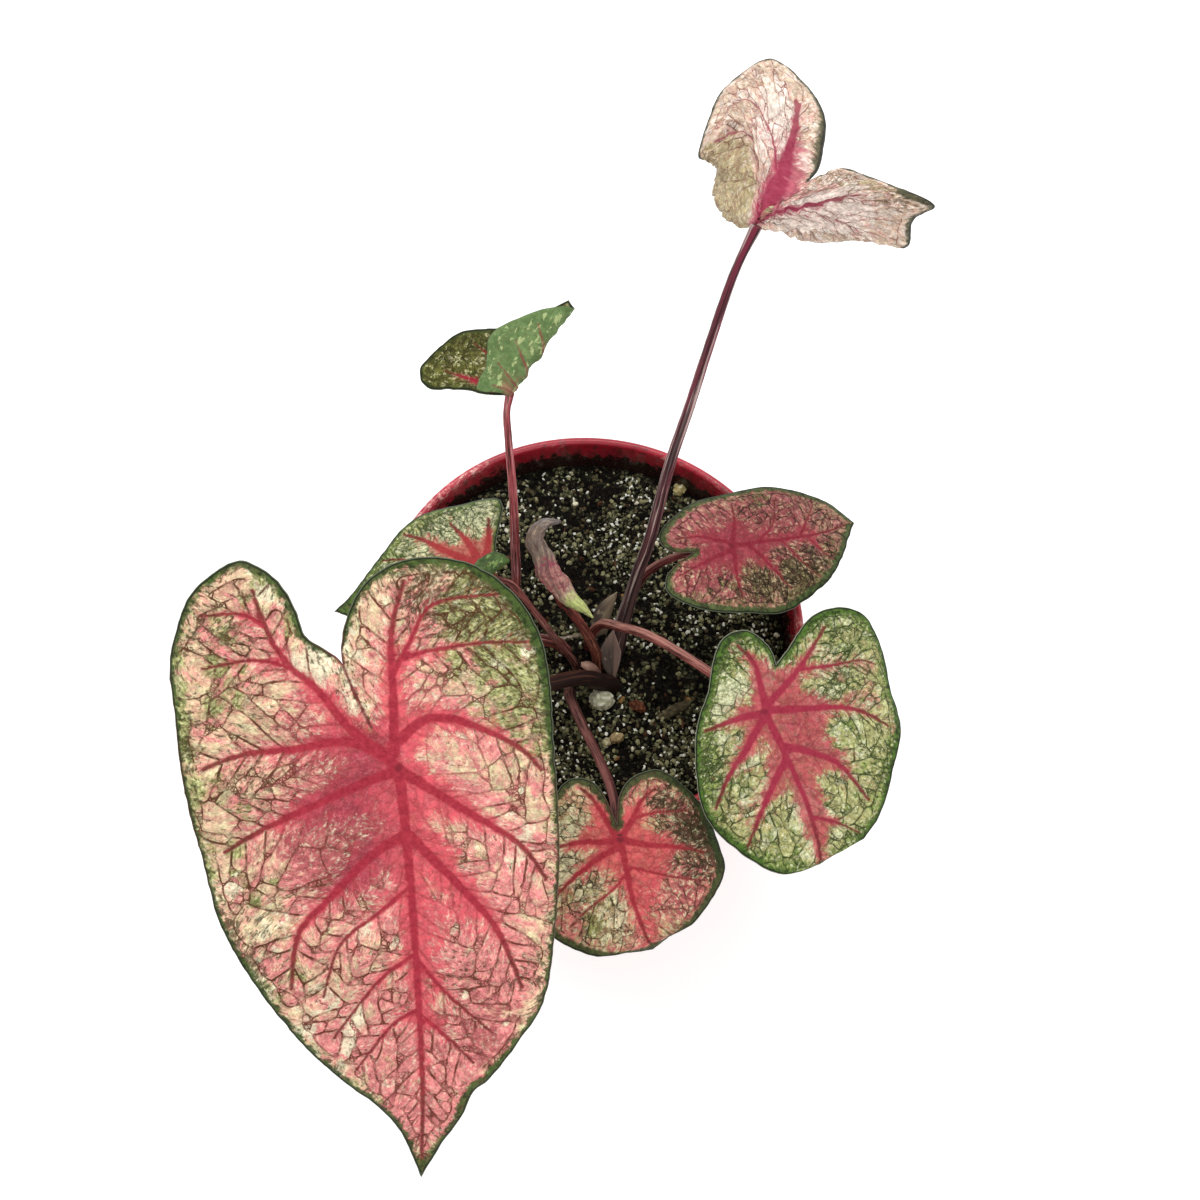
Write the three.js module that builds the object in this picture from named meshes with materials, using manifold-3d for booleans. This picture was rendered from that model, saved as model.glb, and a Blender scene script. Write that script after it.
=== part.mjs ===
// A caladium of eight leaves growing in a glossy red pot.
// Millimetres, +Z up. The origin is the centre of the pot's flat base, on the surface it stands on.
import * as THREE from 'three';
import * as BufferGeometryUtils from 'three/addons/utils/BufferGeometryUtils.js';
import Module from 'manifold-3d';

const wasm = await Module();
wasm.setup();

const { cos, sin, hypot, min, max, abs, exp, PI, atan2, ceil, floor } = Math;
const radians = THREE.MathUtils.degToRad;

// ---------------------------------------------------------------- driving dimensions

const GAP = 0.3; // clearance kept between neighbouring pieces

const POT = {
  rimRadius: 75,
  height: 115,
  baseRadius: 51,
  baseThickness: 3,
  wall: 2.2,
  bandHeight: 18, // the thicker band under the lip
  bandStep: 2.4, // how far the band stands out from the wall below it
  lipWidth: 3.2,
  lipSetback: 1.6, // how far the band's foot is set back from the lip
  edge: 1.5, // rounding of the corner at the foot
  sides: 48,
  drainHoles: 5,
  drainRadius: 4,
  drainCircle: 33,
  drainSides: 12,
};

const SOIL = {
  edge: 101.5, // height of the surface at the pot wall
  mound: 1.5, // how much higher it is round the stems
  moundCentre: [3, -10],
  moundRadius: 30,
  lump: 0.9, // depth of the crumbs and hollows
  footGap: 1.3, // how far it stays above the inside of the base
  rings: 9,
  stemDepth: 10, // how deep each stem stands in its hole
  huskDepth: 2,
  holeRise: 7, // how far above its surface a hole is cut, to clear the crumbs
};

const BLADE = {
  thickness: 0.8,
  rib: 1.0, // how far a main vein stands out of the underside
  groove: 0.45, // how far it is sunk in the upper face
  veinReach: 1.6, // half width of a rib
  thinVein: 0.45, // height of a side vein's rib, as a share of a main one's
  normalStep: 0.4,
};

// How the points of a flat leaf are spread, as shares of its own steps.
const SPREAD = {
  marginClear: 0.55,
  veinStep: 0.75,
  guideGap: 1.2,
  ribGap: 0.85,
  fillGap: 0.62,
  jitter: 0.04,
};

const STEM = {
  sides: 8,
  stepLength: 9,
  start: 4, // length of the straight stretch above the soil
  approach: 4.5, // how far from the blade a stem that lies low starts to turn up
  bend: 3, // and how steeply
};

// ---------------------------------------------------------------- materials

const COLOURS = {
  pot: new THREE.MeshStandardMaterial({ color: 0xa8202c, roughness: 0.22, metalness: 0 }),
  soil: new THREE.MeshStandardMaterial({ color: 0x1c1712, roughness: 0.95, metalness: 0 }),
  pinkBlade: () => new THREE.MeshStandardMaterial({ color: 0xc9737a, roughness: 0.5, metalness: 0 }),
  greenBlade: () => new THREE.MeshStandardMaterial({ color: 0x8f9f62, roughness: 0.5, metalness: 0 }),
  creamBlade: () => new THREE.MeshStandardMaterial({ color: 0xd9c3a8, roughness: 0.55, metalness: 0 }),
  stem: () => new THREE.MeshStandardMaterial({ color: 0x7a3a3a, roughness: 0.4, metalness: 0 }),
  husk: () => new THREE.MeshStandardMaterial({ color: 0x9a8672, roughness: 0.8, metalness: 0 }),
};

// ---------------------------------------------------------------- the leaves

// Each leaf is drawn flat, in millimetres: the stem joins it at 0,0, the tip points to -v and the two
// basal lobes to +v. `left` and `right` are the margin from the bottom of the sinus round to the tip.
// The joint is a place in the pot's frame; `tip`, `tilt` and `bank` are degrees that turn the flat leaf:
// the compass direction of the tip, how far the tip hangs, and the roll about the midrib.
const LEAVES = {
  large: {
    colour: COLOURS.pinkBlade,
    joint: [-43, -92, 198], tip: -80, tilt: 34, bank: -4,
    length: 123, halfWidth: 55, droop: 11, sag: 7, lobeSag: 3,
    wave: { height: 1.6, count: 7, phase: 0.6 },
    marginStep: 5, fillStep: 9.5,
    left: [[-7, 11], [-11.8, 19], [-15.8, 28], [-20, 32], [-24, 35], [-26, 41], [-30, 48], [-36, 52.5],
      [-41, 53.5], [-47, 50], [-53, 44], [-57, 34], [-59, 24], [-57.5, 12], [-56, 0], [-54, -13],
      [-51, -27], [-47, -43], [-38, -60], [-26, -78], [-14, -91], [-5, -99], [1.5, -108], [7, -123]],
    right: [[-7, 11], [-10.2, 19.5], [-14, 29], [-14, 37], [-10, 47], [-3, 53], [6, 55.5], [16, 54.5],
      [25, 50], [32, 43], [37, 34], [39.5, 23], [41, 8], [42.5, -11], [43.5, -29], [43, -50],
      [40.5, -69], [34, -80], [26, -91], [21, -95.5], [18, -103], [12.5, -112], [7, -123]],
    mainVeins: [
      [[0, 0], [2, -17], [5, -54], [7, -91], [7, -119]],
      [[-2, 3], [-12, 10], [-21, 21], [-28, 27], [-33, 35], [-37, 46]],
      [[-2, 2], [-13, 7], [-26, 5], [-40, 3], [-50, -1]],
      [[-1, -1], [-11, -5], [-33, -16], [-45, -24]],
      [[2, -18], [-7, -24], [-17, -35], [-26, -46], [-28, -62]],
      [[-1, 4], [-1.5, 20], [-2, 36], [1, 49]],
      [[1, 8], [7, 13], [17, 12], [31, 5], [38, -2]],
      [[1, -1], [16, -11], [32, -22], [40, -33]],
      [[2.5, -18], [18, -35], [27, -47], [34, -64]],
    ],
    veins: [
      [[-28, 26.5], [-37, 28], [-50, 25]],
      [[-34, 37], [-40, 40], [-50, 39]],
      [[3, -33], [-5, -40], [-15, -49], [-19.5, -64]],
      [[5, -52], [-5, -60], [-17, -77]],
      [[6, -69], [-1, -73], [-11, -87]],
      [[-1, 26], [3, 34], [9, 43.5], [28, 46]],
      [[0, 28.5], [7, 31], [21, 33], [33, 33]],
      [[6, -55], [14, -65], [26, -77]],
      [[8, -72], [14, -78], [21, -86]],
    ],
  },
  right: {
    colour: COLOURS.pinkBlade,
    joint: [41, 17, 152], tip: 34, tilt: 12, bank: -4,
    length: 53, halfWidth: 25, droop: 5, sag: 3.5, lobeSag: 1.5,
    wave: { height: 0.8, count: 5, phase: 1.4 },
    marginStep: 4.2, fillStep: 6.6,
    left: [[1.5, 14], [-0.5, 21.5], [-3.5, 27], [-8, 30], [-12, 28.5], [-17, 22.5], [-21.5, 14], [-25, 3],
      [-26.5, -7], [-25, -17], [-21, -28.5], [-14, -39], [-7, -47], [-1.5, -53.5]],
    right: [[1.5, 14], [3.5, 20.5], [8, 23], [13, 20.5], [18, 11.5], [21.5, 1], [22, -10], [21.3, -20],
      [20, -28.5], [15.5, -38.5], [9, -47.5], [4, -50.5], [-1.5, -53.5]],
    mainVeins: [
      [[0, 0], [-1, -8.5], [-3, -26], [-3, -39], [-1.5, -50]],
      [[2, 1], [7, 9], [8.5, 17]],
      [[-1.5, 2], [-3, 13], [-5, 23]],
      [[-1.5, 0], [-11, 4], [-19, 6]],
      [[2, -1.5], [8, -6], [16, -10]],
      [[-2, -6.5], [-9, -9], [-20, -13]],
    ],
    veins: [
      [[-3.5, -19.5], [-12, -22], [-19, -26]],
      [[-4, -30], [-11, -33], [-15, -36]],
      [[0, -12], [4.5, -20], [14, -27]],
      [[-2, -28], [3, -34], [9, -41]],
    ],
  },
  lower_right: {
    colour: COLOURS.greenBlade,
    joint: [57, -42, 158], tip: -55, tilt: 18, bank: 4,
    length: 52, halfWidth: 38, droop: 5, sag: 8, lobeSag: 0.5,
    wave: { height: 1.4, count: 6, phase: 0.3 },
    marginStep: 4.5, fillStep: 7.2,
    left: [[9.3, 12], [9.8, 17], [7.5, 22.5], [4.5, 25.5], [0, 26.5], [-4.5, 25], [-9.5, 19.5],
      [-14, 12.5], [-18.5, 7.5], [-23, 0.5], [-26.5, -8], [-28.5, -16], [-28.5, -23.5], [-26, -31],
      [-22, -38.5], [-17, -45], [-10, -50], [-2, -53.5]],
    right: [[9.3, 12], [14, 14.5], [20, 18], [26.5, 21], [33, 21.5], [40.5, 19.5], [45.5, 14.5],
      [47, 8], [47.5, -0.5], [45.5, -9], [43.5, -19], [39.5, -25.5], [33, -32], [28, -38.5],
      [21.5, -45], [13.5, -49], [5, -52], [-2, -53.5]],
    curls: [{ at: [0, -48], toward: -92, radius: 6, turn: 45 }],
    mainVeins: [
      [[0, 0], [1, -20], [1, -34], [-0.5, -45], [-2, -51]],
      [[1, 2], [2.5, 10], [3, 15.5], [0.5, 22]],
      [[2, 2], [14, 7], [22, 11.5], [30, 16.5]],
      [[2, 0], [11, -3.5], [23.5, -8], [31.5, -13], [37.5, -20]],
      [[1.5, -12], [9.5, -17.5], [16, -24.5], [21, -38]],
      [[-2, 0], [-8, 1.5], [-19, 2]],
      [[-1.5, -1.5], [-10, -8], [-18.5, -14], [-25, -21]],
      [[0, -16], [-7, -21.5], [-15, -29.5], [-21, -36]],
    ],
    veins: [
      [[16.5, 7.5], [28, 4.5], [37.5, 2.5], [43, -1]],
      [[2, -35.5], [8, -40], [14, -46]],
    ],
  },
  front: {
    colour: COLOURS.pinkBlade,
    joint: [20, -84, 140], tip: -64, tilt: 14, bank: 0,
    length: 37, halfWidth: 30, droop: 3.4, sag: 7, lobeSag: 0.5,
    wave: { height: 0.8, count: 5, phase: 2.2 },
    marginStep: 4.2, fillStep: 6.8,
    left: [[0.3, 4.5], [-0.4, 9.5], [-1.5, 15], [-4, 19.5], [-8, 21.5], [-12, 21], [-16, 18], [-21, 13],
      [-25.5, 6], [-28.5, -2.5], [-29.5, -11.5], [-28, -20], [-24, -25.5], [-17.5, -30.5], [-8, -35],
      [2, -38.5]],
    right: [[0.3, 4.5], [1.6, 9.5], [4.5, 14.5], [9, 17.3], [15, 18], [19.5, 16.5], [24, 11], [28.5, 4.5],
      [30.5, -3], [31.3, -11], [31, -17], [26.5, -22.5], [18.5, -28.5], [10, -33.5], [2, -38.5]],
    curls: [{ at: [0, -31], toward: -88, radius: 6, turn: 40 }],
    mainVeins: [
      [[0, 0], [-0.5, -9], [-1, -18], [0, -28], [1.5, -36]],
      [[-1, 1.5], [-3, 8], [-5, 14], [-7.5, 18]],
      [[1, 1], [5.5, 5], [9.5, 9.5], [15, 12]],
      [[1, -0.5], [8.5, -4], [17.5, -7], [25, -10.5]],
      [[-1.5, 0], [-6.5, 1], [-12, 2.5], [-23, 3]],
      [[-1.5, -2], [-7.5, -3.5], [-16, -7], [-25, -12.5]],
    ],
    veins: [
      [[0.5, -8.5], [6, -11.5], [15, -16], [23, -19]],
      [[-2, -11], [-6.5, -14], [-14, -17], [-21, -21]],
      [[6, 5], [13, 5], [23, 3]],
    ],
  },
  left: {
    colour: COLOURS.greenBlade,
    joint: [-38, -6, 150], tip: 200, tilt: 12, bank: 6,
    length: 51, halfWidth: 28, droop: 4.5, sag: 4.5, lobeSag: 0.5,
    wave: { height: 0.8, count: 5, phase: 0 },
    marginStep: 3.8, fillStep: 6.4,
    left: [[-3, 5], [-9, 5.6], [-17.5, 8], [-24.5, 9.5], [-29.5, 7.5], [-31.5, 1.5], [-31, -5],
      [-30.5, -12], [-29, -19], [-25.5, -25.5], [-21, -30], [-13, -37], [-4, -45], [0.5, -51.5]],
    right: [[-3, 5], [1, 9], [5, 11], [9, 10], [12.5, 5], [14.5, -2], [15.5, -10], [15, -19],
      [13.5, -28], [10, -37], [6, -44], [0.5, -51.5]],
    curls: [{ at: [3, 1.8], toward: 30, radius: 2, turn: -165 }],
    guides: [
      [[0.8, 8], [5, 0.8], [8, -5], [11, -10]],
      [[3.6, 8], [7.4, 1.2], [11, -5]],
      [[6, 7.5], [9.5, 1.5]],
    ],
    mainVeins: [
      [[0, 0], [1, -14.5], [1.5, -28], [1, -40], [0.5, -48]],
      [[-1.5, 1], [-10, 3], [-20, 4]],
      [[-3, -1], [-12.5, -4], [-22, -9]],
      [[-2, -2], [-10.5, -11.5], [-17, -18], [-22.5, -25]],
    ],
    veins: [
      [[-1, -11], [-9, -20], [-13.5, -30.5], [-14, -34]],
      [[2.5, -14.5], [6, -20], [10, -26]],
    ],
  },
  folded: {
    colour: COLOURS.greenBlade,
    joint: [-36, 28, 200], tip: 63, tilt: -20, bank: 0,
    length: 34, halfWidth: 26, droop: 1, sag: 1, lobeSag: 1,
    wave: { height: 0.6, count: 4, phase: 0 },
    marginStep: 3.8, fillStep: 6,
    left: [[2, 3], [-5, 4.5], [-10, 5.5], [-13.5, 5], [-14.5, 2], [-15, -1], [-16, -4], [-18.5, -8],
      [-19.5, -12], [-16.5, -17], [-13, -21.5], [-10, -26], [-5, -31], [3, -34]],
    right: [[2, 3], [6, 4.5], [12, 6.5], [17, 9], [22, 12], [26.5, 11.5], [29.5, 8], [28.7, 3],
      [27, -3], [24.5, -8], [19, -13], [14, -18], [9.5, -24], [6.5, -29], [3, -34]],
    curls: [{ at: [2, 0], toward: 180, radius: 2.4, turn: -158 }],
    guides: [
      [[1.8, -5], [1.8, -31]], [[0, 2], [0, -31]], [[-1.9, 2], [-1.9, -30]],
      [[-3.8, 3], [-3.8, -29]], [[-5.6, 3], [-5.6, -28]],
    ],
    mainVeins: [
      [[4, 0.5], [12, 2.5], [22, 5]],
      [[4, -3], [11, -6], [19, -7]],
    ],
    veins: [
      [[-7, 1], [-12, 2]],
      [[-7, -4], [-12, -8], [-17, -11]],
      [[4, -12], [9, -15]],
      [[-7, -14], [-11, -19]],
    ],
  },
};

// The tall leaf has wilted: its blade hangs like cloth from the joint. It is drawn flat as rays round the
// joint, clockwise from the sinus, each with its flat angle and length, and the places that the ray's
// middle and its end have in the pot's frame.
const WILTED = {
  colour: COLOURS.creamBlade,
  joint: [25, 53, 262],
  marginStep: 6, fillStep: 7.5,
  notch: [0, 22], // the bottom of the sinus
  rays: [
    { angle: 6, length: 28, middle: [33, 65, 262], end: [41, 76, 260] },
    { angle: 32, length: 37, middle: [35, 68, 261], end: [48, 82, 258] },
    { angle: 55, length: 52, middle: [40, 70, 260], end: [66, 82, 254] },
    { angle: 68, length: 62, middle: [41, 69, 259], end: [76, 84, 248] },
    { angle: 84, length: 60, middle: [42, 69, 255], end: [72, 85, 240] },
    { angle: 100, length: 63, middle: [42, 70, 250], end: [73, 84, 230] },
    { angle: 118, length: 57, middle: [38, 67, 250], end: [61, 84, 230] },
    { angle: 135, length: 50, middle: [35, 66, 250], end: [51, 81, 230] },
    { angle: 150, length: 45, middle: [34, 66, 248], end: [43, 80, 230] },
    { angle: 168, length: 47, middle: [29, 67, 248], end: [37, 87, 232] },
    { angle: 182, length: 54, middle: [25, 68, 248], end: [33, 97, 231] },
    { angle: 205, length: 54, middle: [20, 71, 244], end: [25, 97, 230] },
    { angle: 230, length: 50, middle: [15, 72, 247], end: [17, 97, 234] },
    { angle: 252, length: 43, middle: [16, 73, 254], end: [13, 92, 244] },
    { angle: 270, length: 42, middle: [17, 76, 258], end: [7, 87, 248] },
    { angle: 285, length: 48, middle: [19, 82, 262], end: [8, 96, 254] },
    { angle: 300, length: 54, middle: [20, 84, 264], end: [11, 105, 258] },
    { angle: 318, length: 62, middle: [23, 84, 265], end: [22, 117, 260] },
    { angle: 332, length: 58, middle: [27, 81, 265], end: [33, 110, 260] },
    { angle: 345, length: 47, middle: [30, 75, 264], end: [40, 98, 260] },
    { angle: 354, length: 30, middle: [32, 66, 263], end: [40, 79, 260] },
  ],
  mainVeins: [
    [[0, 2], [-8, 18], [-20, 36], [-24, 46]],
    [[2, 1], [18, 11], [36, 22], [46, 26]],
    [[2, -1], [20, -3], [44, -8]],
  ],
  veins: [
    [[-14, 28], [-30, 34], [-42, 30]],
    [[-2, 2], [-20, 10], [-36, 8]],
    [[3, -3], [18, -20], [26, -32]],
  ],
};

// Stems: the radius at the soil and under the blade, and the places that the stem passes through,
// from where it leaves the soil. The last place is worked out from the blade.
const STEMS = {
  large: {
    radii: [2.7, 1.9],
    path: [[9, -19, 103], [-1, -24, 116], [-10, -32, 126], [-24, -49, 146], [-35, -70, 172]],
  },
  wilted: {
    radii: [2.4, 1.2],
    path: [[10, -6, 103], [10.1, -3.6, 109], [10.6, 1, 116], [12.4, 11, 134], [13.9, 15, 148],
      [15.4, 25, 184], [17.5, 32, 204], [19.2, 38.2, 224], [21.9, 46.5, 250]],
    straight: true,
  },
  folded: {
    radii: [2.1, 1.5],
    path: [[-8, -9, 103], [-10.5, -9, 107.5], [-15, -9.8, 110], [-21, -9.5, 111], [-26, -6, 112], [-28.4, 0, 116],
      [-28.8, 6, 123.5], [-30.5, 11.8, 134], [-32, 17, 157], [-34.5, 24, 185]],
    straight: true,
  },
  left: {
    radii: [1.5, 1.1],
    path: [[-2.5, -15, 103], [-5, -14.5, 109], [-12, -12, 119], [-20, -8, 128], [-29, -5, 140]],
  },
  right: {
    radii: [1.8, 1.2],
    path: [[10, 3, 103], [12, 11, 113], [15, 15.5, 123], [22, 16.5, 136], [32, 16.5, 146]],
  },
  lower_right: {
    radii: [1.9, 1.4],
    path: [[0.5, -6, 103], [0, -5.5, 110], [3, -4, 119], [10, -8, 128], [19, -14, 138], [31, -23, 147], [45, -33, 153]],
  },
  front: {
    radii: [2.0, 1.4],
    path: [[-3.5, -25, 103], [-3, -30, 111], [2.5, -42, 120], [10, -56, 128], [16, -69, 134]],
  },
  rolled: {
    radii: [2.1, 1.4],
    path: [[4.5, -12.5, 103], [3.5, -11.5, 109], [-1, -8, 117], [-6, -6, 125], [-10, -4.5, 130]],
  },
};

// The youngest leaf is still rolled in a scroll, with its withered tip bent over.
const SCROLL = {
  path: [[0, -10.5, 136.5], [-4, -8, 137.5], [-9, -5.3, 138.5], [-14, -1.5, 140], [-18.5, 3.4, 142],
    [-22, 8.3, 143], [-23.6, 12.8, 143], [-23, 16.8, 142], [-20.5, 20, 140], [-17, 23, 137]],
  // radius at even steps along the path
  radii: [0.5, 2.2, 3.4, 3.9, 3.8, 3.4, 2.7, 1.9, 1.4, 0.7],
  seam: 0.7, // height of the step where the roll's outer edge ends
  turns: 1.2, // how far that edge winds round the roll along its length
  wrap: 0.985, // share of a full turn between the step's two edges
  stemEnd: [-13, -3.2, 134.4],
  sides: 12,
  rings: 22,
};

// Papery husks that wrapped the crown: each a flattened spike, standing in the soil.
const HUSK = {
  sides: 8,
  rings: 7,
  blunt: 0.15, // width of the tip, as a share of the widest
  reach: 0.83, // how much of a half sine the width follows
  holeShare: 0.8, // width of the hole, as a share of the husk's
};

const HUSKS = {
  husk_back: {
    path: [[3, -0.5, 103], [4, 5, 113], [6.6, 8.8, 120]],
    halfWidth: 3.2, halfDepth: 0.6, facing: -25,
  },
  husk_middle: {
    path: [[9.8, -13.2, 103], [8.2, -9.6, 108], [7.6, -5.5, 112]],
    halfWidth: 2.6, halfDepth: 0.6, facing: -10,
  },
  husk_stub: {
    path: [[5.2, -16.6, 103], [3.2, -16.4, 106], [-0.6, -16.1, 108.6]],
    halfWidth: 1.3, halfDepth: 0.7, facing: 90,
  },
};

// ---------------------------------------------------------------- small tools

const vector = ([x, y, z]) => new THREE.Vector3(x, y, z);
const spline = (places) => new THREE.CatmullRomCurve3(places.map(vector), false, 'centripetal');
const flatSpline = (places) => new THREE.SplineCurve(places.map(([u, v]) => new THREE.Vector2(u, v)));

/** A closed BufferGeometry from a list of places and of triangles. */
function solidGeometry(places, triangles) {
  const geometry = new THREE.BufferGeometry();
  geometry.setAttribute('position', new THREE.Float32BufferAttribute(places.flatMap((p) => [p.x, p.y, p.z]), 3));
  geometry.setIndex(triangles.flat());
  return geometry;
}

/** The manifold solid of a closed geometry. */
function toManifold(geometry) {
  const bare = geometry.clone();
  bare.deleteAttribute('normal');
  bare.deleteAttribute('uv');
  const merged = BufferGeometryUtils.mergeVertices(bare, 1e-4);
  const mesh = new wasm.Mesh({
    numProp: 3,
    vertProperties: new Float32Array(merged.attributes.position.array),
    triVerts: new Uint32Array(merged.index.array),
  });
  return new wasm.Manifold(mesh);
}

/** The geometry of a manifold solid. */
function fromManifold(solid) {
  const { vertProperties, triVerts } = solid.getMesh();
  const geometry = new THREE.BufferGeometry();
  geometry.setAttribute('position', new THREE.BufferAttribute(vertProperties, 3));
  geometry.setIndex(new THREE.BufferAttribute(triVerts, 1));
  return geometry;
}

/** A cylinder along the line between two places. */
function rod(from, to, radius, sides) {
  const along = to.clone().sub(from);
  const geometry = new THREE.CylinderGeometry(radius, radius, along.length(), sides);
  const turn = new THREE.Quaternion().setFromUnitVectors(new THREE.Vector3(0, 1, 0), along.clone().normalize());
  geometry.applyQuaternion(turn);
  const centre = from.clone().add(to).multiplyScalar(0.5);
  geometry.translate(centre.x, centre.y, centre.z);
  return geometry;
}

/** Close a stack of rings, each a list of places, with flat fans at both ends. */
function loft(rings) {
  const count = rings[0].length;
  const places = rings.flat();
  const triangles = [];
  for (let k = 0; k + 1 < rings.length; k += 1) {
    for (let i = 0; i < count; i += 1) {
      const a = k * count + i;
      const b = k * count + ((i + 1) % count);
      triangles.push([a, b, b + count], [a, b + count, a + count]);
    }
  }
  for (const [ring, flip] of [[0, true], [rings.length - 1, false]]) {
    const middle = new THREE.Vector3();
    rings[ring].forEach((p) => middle.add(p));
    const hub = places.push(middle.divideScalar(count)) - 1;
    for (let i = 0; i < count; i += 1) {
      const a = ring * count + i;
      const b = ring * count + ((i + 1) % count);
      triangles.push(flip ? [hub, b, a] : [hub, a, b]);
    }
  }
  return solidGeometry(places, triangles);
}

// ---------------------------------------------------------------- flat leaf: outline, veins, triangles

/** The closed margin of a flat leaf, evenly sampled, from the bottom of the sinus. */
function marginPoints(leaf) {
  const sample = (side) => {
    const curve = flatSpline(side);
    return curve.getSpacedPoints(ceil(curve.getLength() / leaf.marginStep));
  };
  const down = sample(leaf.left);
  const back = sample(leaf.right).slice(1, -1).reverse();
  return [...down, ...back];
}

/** Whether a flat point lies inside a closed outline. */
function inside(point, outline) {
  let odd = false;
  outline.forEach((a, i) => {
    const b = outline[(i + 1) % outline.length];
    const spans = a.y > point.y !== b.y > point.y;
    if (spans && point.x < a.x + ((point.y - a.y) / (b.y - a.y)) * (b.x - a.x)) odd = !odd;
  });
  return odd;
}

/** The distance from a flat point to a polyline. */
function distanceTo(point, line, closed = false) {
  let best = Infinity;
  const last = closed ? line.length : line.length - 1;
  for (let i = 0; i < last; i += 1) {
    const a = line[i];
    const b = line[(i + 1) % line.length];
    const ab = b.clone().sub(a);
    const t = THREE.MathUtils.clamp(point.clone().sub(a).dot(ab) / max(ab.lengthSq(), 1e-9), 0, 1);
    best = min(best, point.distanceTo(a.clone().addScaledVector(ab, t)));
  }
  return best;
}

/** Triangles over flat points, by Bowyer and Watson's method. */
function delaunay(points) {
  const far = 1e4;
  const all = [...points, new THREE.Vector2(-far, -far), new THREE.Vector2(far, -far), new THREE.Vector2(0, far)];
  const around = (a, b, c) => {
    const [p, q, r] = [all[a], all[b], all[c]];
    const d = 2 * (p.x * (q.y - r.y) + q.x * (r.y - p.y) + r.x * (p.y - q.y));
    const [pp, qq, rr] = [p.lengthSq(), q.lengthSq(), r.lengthSq()];
    const x = (pp * (q.y - r.y) + qq * (r.y - p.y) + rr * (p.y - q.y)) / d;
    const y = (pp * (r.x - q.x) + qq * (p.x - r.x) + rr * (q.x - p.x)) / d;
    return { corners: [a, b, c], x, y, reach: hypot(p.x - x, p.y - y) };
  };
  const n = points.length;
  let triangles = [around(n, n + 1, n + 2)];
  for (let i = 0; i < n; i += 1) {
    const edges = new Map();
    triangles = triangles.filter((t) => {
      if (hypot(all[i].x - t.x, all[i].y - t.y) >= t.reach) return true;
      for (let k = 0; k < 3; k += 1) {
        const a = t.corners[k];
        const b = t.corners[(k + 1) % 3];
        if (!edges.delete(`${b},${a}`)) edges.set(`${a},${b}`, [a, b]);
      }
      return false;
    });
    for (const [a, b] of edges.values()) triangles.push(around(a, b, i));
  }
  return triangles.map((t) => t.corners).filter((corners) => corners.every((k) => k < n));
}

/** The flat mesh of a leaf: its points, its triangles, and each point's nearness to a main or thin vein. */
function flatMesh(leaf) {
  const outline = marginPoints(leaf);
  const points = [...outline];
  const clear = leaf.marginStep * SPREAD.marginClear;
  const place = (point, gap) => {
    if (!inside(point, outline) || distanceTo(point, outline, true) < clear) return;
    if (points.every((p) => p.distanceTo(point) > gap)) points.push(point);
  };
  const main = leaf.mainVeins.map((vein) => flatSpline(vein));
  const thin = leaf.veins.map((vein) => flatSpline(vein));
  const step = leaf.fillStep * SPREAD.veinStep;
  for (const curve of [...main, ...thin]) {
    for (const p of curve.getSpacedPoints(ceil(curve.getLength() / step))) place(p, BLADE.veinReach);
  }
  for (const guide of leaf.guides ?? []) {
    const curve = flatSpline(guide);
    for (const p of curve.getSpacedPoints(ceil(curve.getLength() / step))) place(p, BLADE.veinReach * SPREAD.guideGap);
  }
  for (const curve of main) {
    const pieces = ceil(curve.getLength() / step);
    for (let k = 0; k <= pieces; k += 1) {
      const middle = curve.getPointAt(k / pieces);
      const tangent = curve.getTangentAt(k / pieces);
      for (const side of [-1, 1]) {
        const off = new THREE.Vector2(-tangent.y, tangent.x).multiplyScalar(side * BLADE.veinReach);
        place(middle.clone().add(off), BLADE.veinReach * SPREAD.ribGap);
      }
    }
  }
  const rows = leaf.fillStep * sin(PI / 3);
  const box = new THREE.Box2().setFromPoints(outline);
  for (let j = 0; box.min.y + j * rows < box.max.y; j += 1) {
    for (let i = 0; box.min.x + i * leaf.fillStep < box.max.x; i += 1) {
      const u = box.min.x + (i + (j % 2) / 2 + SPREAD.jitter * sin(7 * i + 3 * j)) * leaf.fillStep;
      const v = box.min.y + j * rows + SPREAD.jitter * cos(5 * i + 11 * j) * leaf.fillStep;
      place(new THREE.Vector2(u, v), leaf.fillStep * SPREAD.fillGap);
    }
  }
  const triangles = delaunay(points).filter((corners) => {
    const centre = new THREE.Vector2();
    corners.forEach((k) => centre.add(points[k]));
    return inside(centre.divideScalar(3), outline);
  });
  const near = (curves, p) => {
    const gap = curves.reduce((best, c) => min(best, distanceTo(p, c.getPoints(16))), Infinity);
    return exp(-((gap / (BLADE.veinReach * 0.6)) ** 2));
  };
  const ribs = points.map((p) => max(near(main, p), BLADE.thinVein * near(thin, p)));
  return { points, triangles, ribs };
}

// ---------------------------------------------------------------- curved leaf

/** The three directions of a leaf: across to +u, along to +v, and out of its upper face. */
function leafAxes({ tip, tilt, bank }) {
  const level = new THREE.Vector3(cos(radians(tip)), sin(radians(tip)), 0);
  const up = new THREE.Vector3(0, 0, 1);
  const toTip = level.clone().multiplyScalar(cos(radians(tilt))).addScaledVector(up, -sin(radians(tilt)));
  const face = level.clone().multiplyScalar(sin(radians(tilt))).addScaledVector(up, cos(radians(tilt)));
  const side = face.clone().cross(toTip);
  const roll = radians(bank);
  return {
    across: side.clone().multiplyScalar(cos(roll)).addScaledVector(face, sin(roll)),
    along: toTip.clone().negate(),
    out: face.clone().multiplyScalar(cos(roll)).addScaledVector(side, -sin(roll)),
  };
}

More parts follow.
